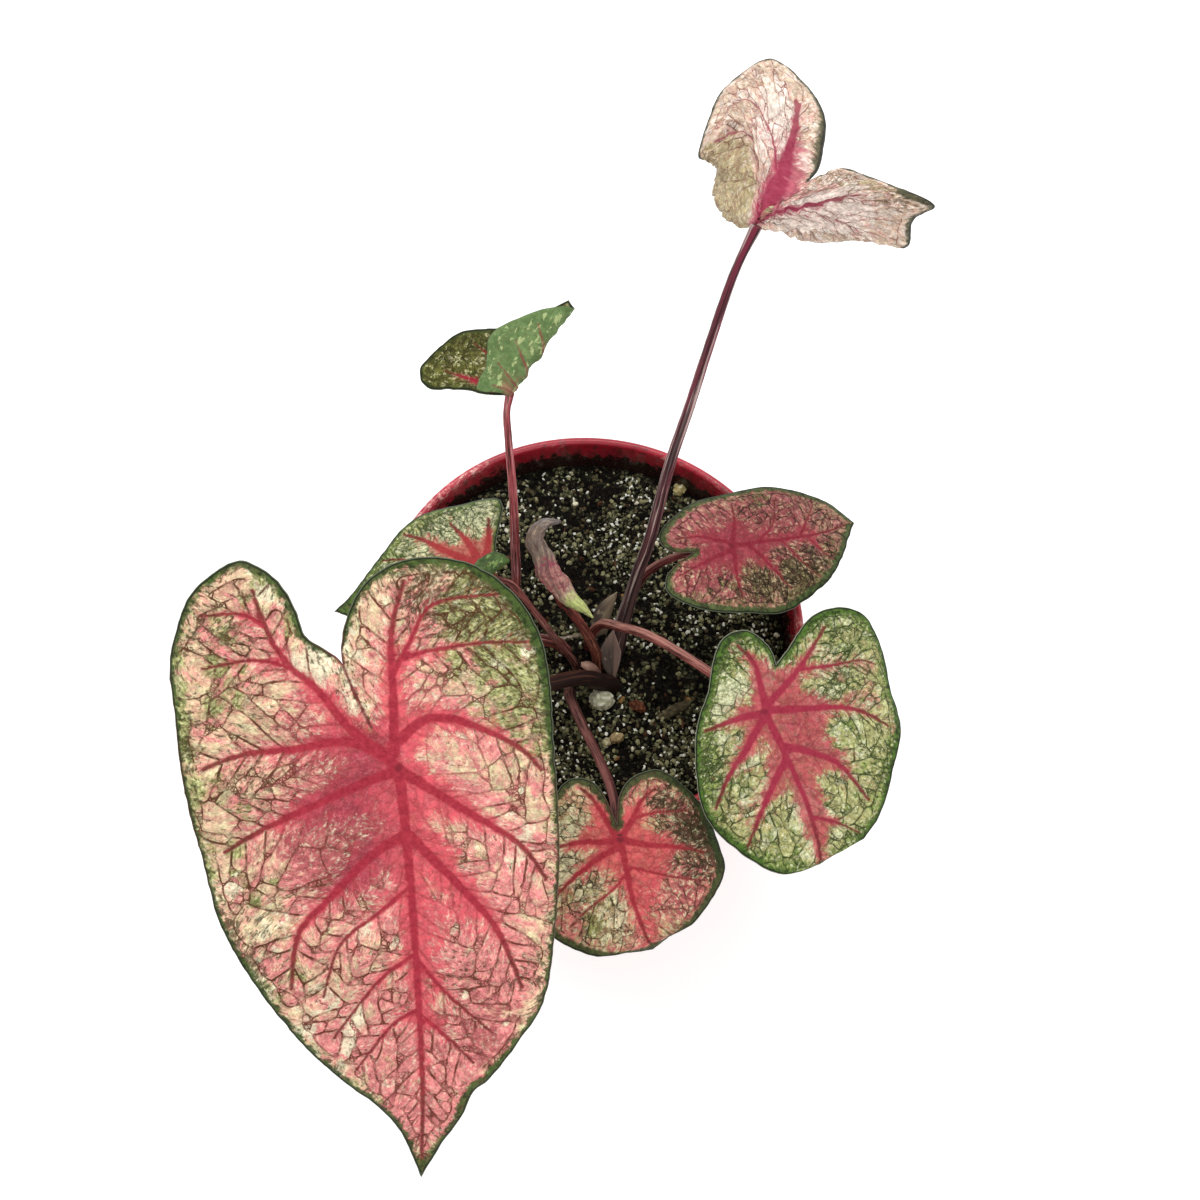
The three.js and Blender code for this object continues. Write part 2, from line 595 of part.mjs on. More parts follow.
/** The height of the relaxed blade over its flat drawing: hanging tip and sides, and a waved margin. */
function relief(leaf, u, v) {
  const tipWay = min(v, 0) / leaf.length;
  const lobeWay = max(v, 0) / leaf.length;
  const sideWay = u / leaf.halfWidth;
  const edge = hypot(sideWay, v / leaf.length);
  const turn = leaf.wave.count * atan2(u, v) + leaf.wave.phase;
  return -leaf.droop * tipWay ** 2 - leaf.lobeSag * lobeWay ** 2 - leaf.sag * sideWay ** 2
    + leaf.wave.height * sin(turn) * min(edge, 1.2) ** 3;
}

/** Wind the sheet round an axis: what lies beyond the line turns down, or up where `turn` is negative. */
function curled(place, { at, toward, radius, turn }) {
  const ahead = new THREE.Vector2(cos(radians(toward)), sin(radians(toward)));
  const beside = new THREE.Vector2(-ahead.y, ahead.x);
  const from = new THREE.Vector2(place.x - at[0], place.y - at[1]);
  const s = from.dot(ahead);
  if (s <= 0) return place;
  const way = Math.sign(turn);
  const bend = min(s / radius, abs(radians(turn)));
  const rest = s - radius * bend;
  const lift = place.z * way;
  const reach = radius * sin(bend) + rest * cos(bend) + lift * sin(bend);
  const rise = -radius * (1 - cos(bend)) - rest * sin(bend) + lift * cos(bend);
  const t = from.dot(beside);
  return new THREE.Vector3(
    at[0] + reach * ahead.x + t * beside.x,
    at[1] + reach * ahead.y + t * beside.y,
    rise * way,
  );
}

/** The surface of a leaf that keeps its shape: a function from the flat drawing to the pot's frame. */
function sheetSurface(leaf) {
  const { across, along, out } = leafAxes(leaf);
  const joint = vector(leaf.joint);
  return (u, v) => {
    let place = new THREE.Vector3(u, v, relief(leaf, u, v));
    for (const curl of leaf.curls ?? []) place = curled(place, curl);
    return joint.clone()
      .addScaledVector(across, place.x)
      .addScaledVector(along, place.y)
      .addScaledVector(out, place.z);
  };
}

/** A smooth value at an angle round a ring of samples, each { angle, value: [numbers] }. */
function roundTheRing(samples, angle) {
  const n = samples.length;
  let k = samples.findIndex((sample) => sample.angle > angle) - 1;
  if (k < 0) k = angle < samples[0].angle ? -1 : n - 1;
  const at = (i) => {
    const lap = floor(i / n);
    const sample = samples[i - lap * n];
    return { angle: sample.angle + 360 * lap, value: sample.value };
  };
  const [p0, p1, p2, p3] = [at(k - 1), at(k), at(k + 1), at(k + 2)];
  const span = p2.angle - p1.angle;
  const t = (angle - p1.angle) / span;
  return p1.value.map((value, i) => {
    const m1 = ((p2.value[i] - p0.value[i]) / (p2.angle - p0.angle)) * span;
    const m2 = ((p3.value[i] - p1.value[i]) / (p3.angle - p1.angle)) * span;
    return (2 * t ** 3 - 3 * t ** 2 + 1) * value + (t ** 3 - 2 * t ** 2 + t) * m1
      + (-2 * t ** 3 + 3 * t ** 2) * p2.value[i] + (t ** 3 - t ** 2) * m2;
  });
}

/** The surface of the wilted leaf: between its rays the blade runs smoothly round the joint. */
function wiltedSurface(leaf) {
  const samples = leaf.rays.map((ray) => ({ angle: ray.angle, value: [ray.length, ...ray.middle, ...ray.end] }));
  const joint = vector(leaf.joint);
  return (u, v) => {
    const angle = (THREE.MathUtils.radToDeg(atan2(u, v)) + 360) % 360;
    const [length, mx, my, mz, ex, ey, ez] = roundTheRing(samples, angle);
    const r = hypot(u, v) / length;
    return joint.clone().multiplyScalar((1 - r) * (1 - 2 * r))
      .addScaledVector(new THREE.Vector3(mx, my, mz), 4 * r * (1 - r))
      .addScaledVector(new THREE.Vector3(ex, ey, ez), r * (2 * r - 1));
  };
}

/** The wilted leaf's flat margin, which runs through the ends of its rays. */
function wiltedMargin(leaf) {
  const ends = leaf.rays.map(({ angle, length }) => [length * sin(radians(angle)), length * cos(radians(angle))]);
  const tip = leaf.rays.findIndex((ray) => ray.angle > 180);
  return {
    right: [leaf.notch, ...ends.slice(0, tip + 1)],
    left: [leaf.notch, ...ends.slice(tip).reverse()],
  };
}

/** The direction out of a surface's upper face at a flat point. */
function surfaceNormal(surface, u, v) {
  const d = BLADE.normalStep;
  const du = surface(u + d, v).sub(surface(u - d, v));
  const dv = surface(u, v + d).sub(surface(u, v - d));
  return du.cross(dv).normalize();
}

/** A blade: two faces with the same triangles, ribs on the underside, and a wall round the margin. */
function bladeGeometry(leaf, surface) {
  const { points, triangles, ribs } = flatMesh(leaf);
  const upper = [];
  const lower = [];
  points.forEach((p, k) => {
    const middle = surface(p.x, p.y);
    const out = surfaceNormal(surface, p.x, p.y);
    const sunk = BLADE.groove * ribs[k];
    upper.push(middle.clone().addScaledVector(out, BLADE.thickness / 2 - sunk));
    lower.push(middle.clone().addScaledVector(out, -BLADE.thickness / 2 - sunk - BLADE.rib * ribs[k]));
  });
  const n = points.length;
  const faces = [];
  const border = new Map();
  for (const corners of triangles) {
    const [a, b, c] = corners;
    faces.push([a, b, c], [c + n, b + n, a + n]);
    for (const [p, q] of [[a, b], [b, c], [c, a]]) {
      if (!border.delete(`${q},${p}`)) border.set(`${p},${q}`, [p, q]);
    }
  }
  for (const [a, b] of border.values()) faces.push([b, a, a + n], [b, a + n, b + n]);
  return solidGeometry([...upper, ...lower], faces);
}

// ---------------------------------------------------------------- stems, scroll and husks

/** Where a stem ends under a blade, and the direction that it meets the blade from. */
function underBlade(surface) {
  const out = surfaceNormal(surface, 0, 0);
  const depth = BLADE.thickness / 2 + BLADE.groove + BLADE.rib + GAP;
  return { place: surface(0, 0).addScaledVector(out, -depth), out };
}

/** Where a stem ends that runs straight into a drooping joint, short of the cone that the blade makes. */
function shortOf(joint, { path, radii }) {
  const out = vector(joint).sub(vector(path[path.length - 1])).normalize();
  return { place: vector(joint).addScaledVector(out, -radii[1] - BLADE.rib), out };
}

/** A tapering round stem from the bottom of its hole to its end, cut there along the face it meets. */
function stemGeometry({ radii, path, straight = false }, end) {
  const [entry, next] = path.map(vector);
  const lean = next.clone().sub(entry).normalize();
  const places = [
    entry.clone().addScaledVector(lean, -SOIL.stemDepth),
    entry.clone().addScaledVector(lean, -SOIL.stemDepth / 2),
    entry, entry.clone().addScaledVector(lean, STEM.start), ...path.slice(1).map(vector),
  ];
  const last = places[places.length - 1];
  const approach = last.clone().sub(end.place).setLength(STEM.approach).addScaledVector(end.out, -STEM.bend);
  if (!straight) places.push(end.place.clone().add(approach));
  places.push(end.place);
  const curve = new THREE.CatmullRomCurve3(places, false, 'centripetal');
  const steps = ceil(curve.getLength() / STEM.stepLength);
  const frames = curve.computeFrenetFrames(steps, false);
  const rings = [];
  for (let k = 0; k <= steps; k += 1) {
    const t = k / steps;
    const middle = curve.getPointAt(t);
    const radius = THREE.MathUtils.lerp(radii[0], radii[1], t);
    const ring = [];
    for (let i = 0; i < STEM.sides; i += 1) {
      const a = (i / STEM.sides) * 2 * PI;
      const spoke = frames.normals[k].clone().multiplyScalar(radius * cos(a))
        .addScaledVector(frames.binormals[k], radius * sin(a));
      if (k === steps) {
        const along = frames.tangents[k];
        spoke.addScaledVector(along, -spoke.dot(end.out) / along.dot(end.out));
      }
      ring.push(middle.clone().add(spoke));
    }
    rings.push(ring);
  }
  return loft(rings);
}

/** The hole in the soil that a stem or husk stands in. */
function stemHole(radius, path, depth) {
  const [entry, next] = path.map(vector);
  const lean = next.clone().sub(entry).normalize();
  const from = entry.clone().addScaledVector(lean, -depth - GAP);
  const to = entry.clone().addScaledVector(lean, SOIL.holeRise);
  return rod(from, to, (radius + GAP) / cos(PI / STEM.sides), STEM.sides);
}

/** The rolled leaf: a round roll with a step where its outer edge winds along it. */
function scrollGeometry() {
  const curve = spline(SCROLL.path);
  const frames = curve.computeFrenetFrames(SCROLL.rings, false);
  const rings = [];
  for (let k = 0; k <= SCROLL.rings; k += 1) {
    const t = k / SCROLL.rings;
    const slot = t * (SCROLL.radii.length - 1);
    const low = min(floor(slot), SCROLL.radii.length - 2);
    const radius = THREE.MathUtils.lerp(SCROLL.radii[low], SCROLL.radii[low + 1], slot - low);
    const middle = curve.getPointAt(t);
    const seamAt = SCROLL.turns * PI * (t - 0.5);
    const ring = [];
    for (let i = 0; i < SCROLL.sides; i += 1) {
      const wind = i / (SCROLL.sides - 1);
      const a = seamAt + wind * 2 * PI * SCROLL.wrap;
      const r = radius - SCROLL.seam * (radius / max(...SCROLL.radii)) * (1 - wind);
      ring.push(middle.clone()
        .addScaledVector(frames.normals[k], r * cos(a))
        .addScaledVector(frames.binormals[k], r * sin(a)));
    }
    rings.push(ring);
  }
  return loft(rings);
}

/** A flattened spike that narrows to its tip. */
function huskGeometry({ path, halfWidth, halfDepth, facing }) {
  const [entry, next] = path.map(vector);
  const foot = entry.clone().sub(next.clone().sub(entry).setLength(SOIL.huskDepth));
  const curve = new THREE.CatmullRomCurve3([foot, ...path.map(vector)], false, 'centripetal');
  const wide = new THREE.Vector3(cos(radians(facing)), sin(radians(facing)), 0);
  const rings = [];
  for (let k = 0; k <= HUSK.rings; k += 1) {
    const t = k / HUSK.rings;
    const swell = max(HUSK.blunt, sin(PI * (HUSK.blunt + HUSK.reach * t)));
    const across = wide.clone().addScaledVector(curve.getTangentAt(t), -wide.dot(curve.getTangentAt(t))).normalize();
    const deep = curve.getTangentAt(t).cross(across);
    const ring = [];
    for (let i = 0; i < HUSK.sides; i += 1) {
      const a = (i / HUSK.sides) * 2 * PI;
      ring.push(curve.getPointAt(t)
        .addScaledVector(across, halfWidth * swell * cos(a))
        .addScaledVector(deep, halfDepth * max(swell, 0.5) * sin(a)));
    }
    rings.push(ring);
  }
  return loft(rings);
}

// ---------------------------------------------------------------- pot and soil

/** Half sections of the pot, outside and inside, from the axis at the base to the top of the lip. */
function potSection() {
  const { rimRadius, height, baseRadius, baseThickness, wall, bandHeight, bandStep, lipWidth } = POT;
  const { lipSetback, edge } = POT;
  const bandFoot = height - bandHeight;
  const wallTop = rimRadius - lipSetback - bandStep;
  const inner = rimRadius - lipWidth;
  const outside = [
    [0, 0], [baseRadius - edge, 0], [baseRadius, edge], [wallTop, bandFoot - edge],
    [rimRadius - lipSetback, bandFoot + 1], [rimRadius - 0.4, height - 4], [rimRadius, height - 2.6],
    [rimRadius - 0.5, height - 0.7], [rimRadius - lipWidth / 2, height],
  ];
  const inside = [
    [inner + 0.4, height - 0.8], [inner, height - 3], [wallTop - wall + 1.2, bandFoot],
    [wallTop - wall, bandFoot - 4], [baseRadius - wall, baseThickness + 1], [baseRadius - wall - 2, baseThickness],
    [0, baseThickness],
  ];
  return { outside, inside };
}

/** The pot, with its drainage holes. */
function potGeometry() {
  const { outside, inside } = potSection();
  const profile = [...outside, ...inside].map(([r, z]) => new THREE.Vector2(r, z));
  const shell = new THREE.LatheGeometry(profile, POT.sides);
  shell.rotateX(PI / 2);
  let solid = toManifold(shell);
  for (let k = 0; k < POT.drainHoles; k += 1) {
    const a = (k / POT.drainHoles) * 2 * PI;
    const x = POT.drainCircle * cos(a);
    const y = POT.drainCircle * sin(a);
    const drill = rod(new THREE.Vector3(x, y, -2), new THREE.Vector3(x, y, POT.baseThickness + 2), POT.drainRadius, POT.drainSides);
    solid = solid.subtract(toManifold(drill));
  }
  return fromManifold(solid);
}

/** The pot's inner radius at a height, less the gap that the soil keeps. */
function soilRadius(z) {
  const wall = potSection().inside.slice(0, -1);
  const k = wall.findIndex(([, height]) => height <= z);
  const [[r1, z1], [r2, z2]] = [wall[k - 1], wall[k]];
  const span = THREE.MathUtils.lerp(r2, r1, (z - z2) / (z1 - z2));
  return (span - GAP) * cos(PI / POT.sides);
}

/** The height of the soil's crumbled surface. */
function soilHeight(x, y) {
  const [cx, cy] = SOIL.moundCentre;
  const mound = SOIL.mound * exp(-((hypot(x - cx, y - cy) / SOIL.moundRadius) ** 2));
  const crumbs = sin(0.31 * x + 1.3 * sin(0.17 * y)) * cos(0.27 * y + 0.9 * sin(0.23 * x))
    + 0.6 * sin(0.83 * x + 0.41 * y + 2) * sin(0.71 * y - 0.37 * x);
  return SOIL.edge + mound + SOIL.lump * crumbs;
}

/** The soil: it fills the pot, with a crumbled top and a plain hole for each stem and husk. */
function soilGeometry() {
  const { sides } = POT;
  const places = [];
  const triangles = [];
  const rim = soilRadius(SOIL.edge);
  const hub = places.push(new THREE.Vector3(0, 0, soilHeight(0, 0))) - 1;
  for (let j = 1; j <= SOIL.rings; j += 1) {
    for (let i = 0; i < sides; i += 1) {
      const a = (i / sides) * 2 * PI;
      const r = (rim * j) / SOIL.rings;
      const x = r * cos(a);
      const y = r * sin(a);
      const z = j === SOIL.rings ? SOIL.edge : soilHeight(x, y);
      places.push(new THREE.Vector3(x, y, z));
    }
  }
  const bandFoot = POT.height - POT.bandHeight;
  const lower = [bandFoot, bandFoot - 4, POT.baseThickness + SOIL.footGap];
  for (const z of lower) {
    for (let i = 0; i < sides; i += 1) {
      const a = (i / sides) * 2 * PI;
      places.push(new THREE.Vector3(soilRadius(z) * cos(a), soilRadius(z) * sin(a), z));
    }
  }
  const foot = places.push(new THREE.Vector3(0, 0, lower[2])) - 1;
  const bands = SOIL.rings + lower.length;
  const spot = (ring, i) => 1 + (ring - 1) * sides + (i % sides);
  for (let i = 0; i < sides; i += 1) {
    triangles.push([hub, spot(1, i), spot(1, i + 1)]);
    for (let j = 1; j < bands; j += 1) {
      triangles.push([spot(j, i), spot(j + 1, i), spot(j + 1, i + 1)]);
      triangles.push([spot(j, i), spot(j + 1, i + 1), spot(j, i + 1)]);
    }
    triangles.push([foot, spot(bands, i + 1), spot(bands, i)]);
  }
  let solid = toManifold(solidGeometry(places, triangles));
  for (const { radii, path } of Object.values(STEMS)) {
    solid = solid.subtract(toManifold(stemHole(radii[0], path, SOIL.stemDepth)));
  }
  for (const husk of Object.values(HUSKS)) {
    solid = solid.subtract(toManifold(stemHole(husk.halfWidth * HUSK.holeShare, husk.path, SOIL.huskDepth)));
  }
  return fromManifold(solid);
}

// ---------------------------------------------------------------- assembly

const plant = new THREE.Group();

/** Add a named piece to the plant. */
function addPiece(name, geometry, material) {
  const mesh = new THREE.Mesh(geometry, material);
  mesh.name = name;
  plant.add(mesh);
}

addPiece('pot', potGeometry(), COLOURS.pot);
addPiece('soil', soilGeometry(), COLOURS.soil);

for (const [name, leaf] of Object.entries(LEAVES)) {
  const surface = sheetSurface(leaf);
  addPiece(`blade_${name}`, bladeGeometry(leaf, surface), leaf.colour());
  addPiece(`stem_${name}`, stemGeometry(STEMS[name], underBlade(surface)), COLOURS.stem());
}

const wilted = wiltedSurface(WILTED);
addPiece('blade_wilted', bladeGeometry({ ...WILTED, ...wiltedMargin(WILTED) }, wilted), WILTED.colour());
addPiece('stem_wilted', stemGeometry(STEMS.wilted, shortOf(WILTED.joint, STEMS.wilted)), COLOURS.stem());

addPiece('blade_rolled', scrollGeometry(), COLOURS.greenBlade());
const rolledEnd = { place: vector(SCROLL.stemEnd), out: new THREE.Vector3(0, 0, 1) };
addPiece('stem_rolled', stemGeometry(STEMS.rolled, rolledEnd), COLOURS.stem());

for (const [name, husk] of Object.entries(HUSKS)) addPiece(name, huskGeometry(husk), COLOURS.husk());

export default plant;
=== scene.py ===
"""A potted caladium: veined leaves, stalks, husks and peat in a red pot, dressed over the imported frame.

The scene is in metres. The leaf drawings and the driving sizes are in millimetres, as on the part itself.
"""

from __future__ import annotations

import logging
import math
from abc import ABC, abstractmethod
from dataclasses import dataclass, field
from enum import Enum
from typing import Callable, Sequence

import bmesh
import bpy
import numpy as np
from mathutils import Matrix, Vector, noise
from mathutils.geometry import delaunay_2d_cdt
from mathutils.kdtree import KDTree


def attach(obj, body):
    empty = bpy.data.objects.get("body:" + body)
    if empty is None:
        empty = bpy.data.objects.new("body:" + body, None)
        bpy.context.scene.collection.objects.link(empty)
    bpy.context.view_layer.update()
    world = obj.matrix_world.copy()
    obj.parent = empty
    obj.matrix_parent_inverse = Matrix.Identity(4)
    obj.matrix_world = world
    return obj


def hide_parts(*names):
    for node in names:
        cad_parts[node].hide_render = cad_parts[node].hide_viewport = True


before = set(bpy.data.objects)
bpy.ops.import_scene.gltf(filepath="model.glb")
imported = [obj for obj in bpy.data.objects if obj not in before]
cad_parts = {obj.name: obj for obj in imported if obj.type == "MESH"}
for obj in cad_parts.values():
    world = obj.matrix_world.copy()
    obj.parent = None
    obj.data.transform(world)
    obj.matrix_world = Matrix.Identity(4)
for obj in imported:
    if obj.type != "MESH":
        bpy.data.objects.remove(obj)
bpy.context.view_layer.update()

MM = 0.001
DISPLAY_FULL = 255
DISPLAY_TOE = 10
TOE_SLOPE = 12.92
CURVE_SHIFT = 0.055
CURVE_FULL = 1.055
CURVE_POWER = 2.4
TAU = 2 * math.pi
BODY = "root"
CURVE_SAMPLES = 40
PATH_SAMPLES = 25
WAVES = 9
WAVE_SPREAD = (0.6, 1.2)
WAVE_HEIGHT = 5
ROUGHNESS = 0.8
LACUNARITY = 2.1
SHIFTS = (31.0, 57.0, 83.0, 109.0)
PANEL_SHIFT = 61
SIDE_SHIFT = 23
BREAK_SEED = 5
SAME_PLACE = 1e-3
SAME_POINT = 1e-5
TINY = 1e-6
PROBE = 0.3
WAVE_LIMIT = 1.2
Array = np.ndarray
Colour = tuple[float, float, float, float]
Line = Sequence[tuple[float, ...]]
Place = tuple[float, float, float]
Span = tuple[float, float]
Noise = tuple[float, ...]

log = logging.getLogger("caladium")


def tone(red: int, green: int, blue: int) -> Colour:
    """The linear colour of display values from 0 to 255.

    Args:
        red: The red value.
        green: The green value.
        blue: The blue value.

    Returns:
        The colour, with a full alpha.
    """
    linear = []
    for value in (red, green, blue):
        share = value / DISPLAY_FULL
        curved = ((share + CURVE_SHIFT) / CURVE_FULL) ** CURVE_POWER
        linear.append(curved if value > DISPLAY_TOE else share / TOE_SLOPE)
    return (*linear, 1.0)


# ---------------------------------------------------------------- curves and noise


def catmull_flat(points: Line, step: float) -> Array:
    """A uniform Catmull-Rom curve through flat points, evenly sampled.

    Args:
        points: The places it passes through.
        step: The longest distance between two samples.

    Returns:
        The samples, one a row.
    """
    knots = np.array(points, float)
    last = len(knots) - 1
    t = np.linspace(0, last, last * CURVE_SAMPLES + 1)
    k = np.minimum(t.astype(int), last - 1)
    w = (t - k)[:, None]
    p0, p1 = knots[np.maximum(k - 1, 0)], knots[k]
    p2, p3 = knots[k + 1], knots[np.minimum(k + 2, last)]
    v0, v1 = (p2 - p0) / 2, (p3 - p1) / 2
    dense = (2 * p1 - 2 * p2 + v0 + v1) * w**3 + (-3 * p1 + 3 * p2 - 2 * v0 - v1) * w**2 + v0 * w + p1
    return even(dense, step)


def catmull_space(points: Line, step: float) -> Array:
    """A centripetal Catmull-Rom curve through places in space, evenly sampled.

    Args:
        points: The places it passes through.
        step: The longest distance between two samples.

    Returns:
        The samples, one a row.
    """
    knots = np.array(points, float)
    ends = np.vstack([2 * knots[0] - knots[1], knots, 2 * knots[-1] - knots[-2]])
    pieces = []
    w = np.linspace(0, 1, PATH_SAMPLES)[:-1, None]
    for k in range(len(knots) - 1):
        x0, x1, x2, x3 = ends[k : k + 4]
        d0, d1, d2 = (math.sqrt(np.linalg.norm(b - a)) for a, b in ((x0, x1), (x1, x2), (x2, x3)))
        t1 = ((x1 - x0) / d0 - (x2 - x0) / (d0 + d1) + (x2 - x1) / d1) * d1
        t2 = ((x2 - x1) / d1 - (x3 - x1) / (d1 + d2) + (x3 - x2) / d2) * d1
        pieces.append(
            x1 + t1 * w + (-3 * x1 + 3 * x2 - 2 * t1 - t2) * w**2 + (2 * x1 - 2 * x2 + t1 + t2) * w**3
        )
    return even(np.vstack([*pieces, knots[-1:]]), step)


def even(dense: Array, step: float) -> Array:
    """The same line with samples at even distances of at most step.

    Args:
        dense: Samples along the line, close together.
        step: The longest distance between two new samples.

    Returns:
        The new samples.
    """
    run = np.concatenate([[0], np.cumsum(np.linalg.norm(np.diff(dense, axis=0), axis=1))])
    at = np.linspace(0, run[-1], max(2, math.ceil(run[-1] / step) + 1))
    return np.stack([np.interp(at, run, dense[:, i]) for i in range(dense.shape[1])], axis=1)


def ripple(places: Array, size: float, seed: int, octaves: int = 2) -> Array:
    """Smooth random height from -1 to 1, made of seeded waves.

    Args:
        places: The places, flat or in space, one a row.
        size: The length of the longest waves.
        seed: The seed of the waves' directions.
        octaves: How many times waves of half the length and height are added.

    Returns:
        One height for each place.
    """
    rng = np.random.default_rng(seed)
    total = np.zeros(len(places))
    for octave in range(octaves):
        for _ in range(WAVES):
            way = rng.normal(size=places.shape[1])
            way *= TAU / size * 2**octave * rng.uniform(*WAVE_SPREAD) / np.linalg.norm(way)
            total += np.cos(places @ way + rng.uniform(0, TAU)) * 0.5**octave
    return total / WAVE_HEIGHT


def bell(gap: Array, reach: float) -> Array:
    """One at a line and less with the gap from it, to almost nothing at twice the reach."""
    return np.exp(-((np.maximum(gap, 0) / reach) ** 2))


def inside(points: Array, outline: Array) -> Array:
    """Whether each flat point lies inside a closed outline.

    Args:
        points: Flat points, one a row.
        outline: The corners of the outline, in order.

    Returns:
        A yes or no for each point.
    """
    odd = np.zeros(len(points), bool)
    x, y = points.T
    for a, b in zip(outline, np.roll(outline, -1, axis=0)):
        if a[1] == b[1]:
            continue
        spans = (a[1] > y) != (b[1] > y)
        odd ^= spans & (x < a[0] + (y - a[1]) / (b[1] - a[1]) * (b[0] - a[0]))
    return odd


def nearest(samples: Array, points: Array) -> tuple[Array, Array]:
    """The distance and the index of the sample that is nearest to each point.

    Args:
        samples: Flat samples to search.
        points: Flat points, one a row.

    Returns:
        The distances and the indices.
    """
    tree = KDTree(len(samples))
    for k, place in enumerate(samples):
        tree.insert((place[0], place[1], 0), k)
    tree.balance()
    found = [tree.find((p[0], p[1], 0)) for p in points]
    return np.array([f[2] for f in found]), np.array([f[1] for f in found])


# ---------------------------------------------------------------- meshes


def new_mesh(
    name: str, places: Array, faces: Sequence[Sequence[int]], smooth: bool = True
) -> bpy.types.Object:
    """A piece from places in millimetres and faces that point outwards.

    Args:
        name: The piece's name.
        places: Its points, one a row.
        faces: The points of each face.
        smooth: Whether its shading is smooth.

    Returns:
        The piece's object, at the origin.
    """
    mesh = bpy.data.meshes.new(name)
    mesh.from_pydata((np.asarray(places) * MM).tolist(), [], [list(map(int, f)) for f in faces])
    mesh.polygons.foreach_set("use_smooth", np.full(len(mesh.polygons), smooth))
    mesh.update()
    piece = bpy.data.objects.new(name, mesh)
    bpy.context.scene.collection.objects.link(piece)
    return piece


def mark(piece: bpy.types.Object, name: str, values: Array) -> None:
    """Store one number, or one vector of three, at each point of a piece.

    Args:
        piece: The piece.
        name: The attribute's name.
        values: One row for each point.
    """
    kind, key = ("FLOAT", "value") if values.ndim == 1 else ("FLOAT_VECTOR", "vector")
    layer = piece.data.attributes.new(name, kind, "POINT")
    layer.data.foreach_set(key, np.ascontiguousarray(values, np.float32).ravel())


def finish_piece(piece: bpy.types.Object, slot: str, *nodes: str) -> bpy.types.Object:
    """Let a piece ride on the plant, in the place of CAD nodes.

    Args:
        piece: The finished piece.
        slot: Not used.
        nodes: The CAD nodes that it stands in for.

    Returns:
        The piece.
    """
    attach(piece, BODY)
    if nodes:
        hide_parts(*nodes)
    triangles = sum(len(p.vertices) - 2 for p in piece.data.polygons)
    log.info("%s: %d triangles", piece.name, triangles)
    return piece


def ring_faces(rings: int, around: int, start: int = 0) -> list[tuple[int, ...]]:
    """The quads between closed rings of points that lie one after another.

    Args:
        rings: How many rings.
        around: Points in a ring.
        start: Index of the first point.

    Returns:
        The faces.
    """
    faces = []
    for k in range(rings - 1):
        for i in range(around):
            a, b = start + k * around + i, start + k * around + (i + 1) % around
            faces.append((a, b, b + around, a + around))
    return faces


def loft(name: str, rings: Array, smooth: bool = True) -> bpy.types.Object:
    """A closed piece over a stack of rings, with a fan over each end.

    Args:
        name: The piece's name.
        rings: Places as ring, point and axis.
        smooth: Whether its shading is smooth.

    Returns:
        The piece's object.
    """
    count, around = rings.shape[:2]
    hubs = np.stack([rings[0].mean(axis=0), rings[-1].mean(axis=0)])
    places = np.vstack([rings.reshape(-1, 3), hubs])
    first, last = count * around, count * around + 1
    faces = ring_faces(count, around)
    top = (count - 1) * around
    for i in range(around):
        faces.append((first, (i + 1) % around, i))
        faces.append((last, top + i, top + (i + 1) % around))
    return new_mesh(name, places, faces, smooth)


def path_frames(path: Array, hint: Sequence[float]) -> tuple[Array, Array, Array]:
    """The tangent of a path at each sample, and two directions across it that don't twist.

    Args:
        path: Places along the path.
        hint: A direction near the first side.

    Returns:
        Tangents, sides and the way over both.
    """
    tangent = np.gradient(path, axis=0)
    tangent /= np.linalg.norm(tangent, axis=1, keepdims=True)
    side = np.zeros_like(path)
    one = np.array(hint, float)
    for k, along in enumerate(tangent):
        one = one - along * (one @ along)
        one /= np.linalg.norm(one)
        side[k] = one
    return tangent, side, np.cross(tangent, side)


# ---------------------------------------------------------------- nodes


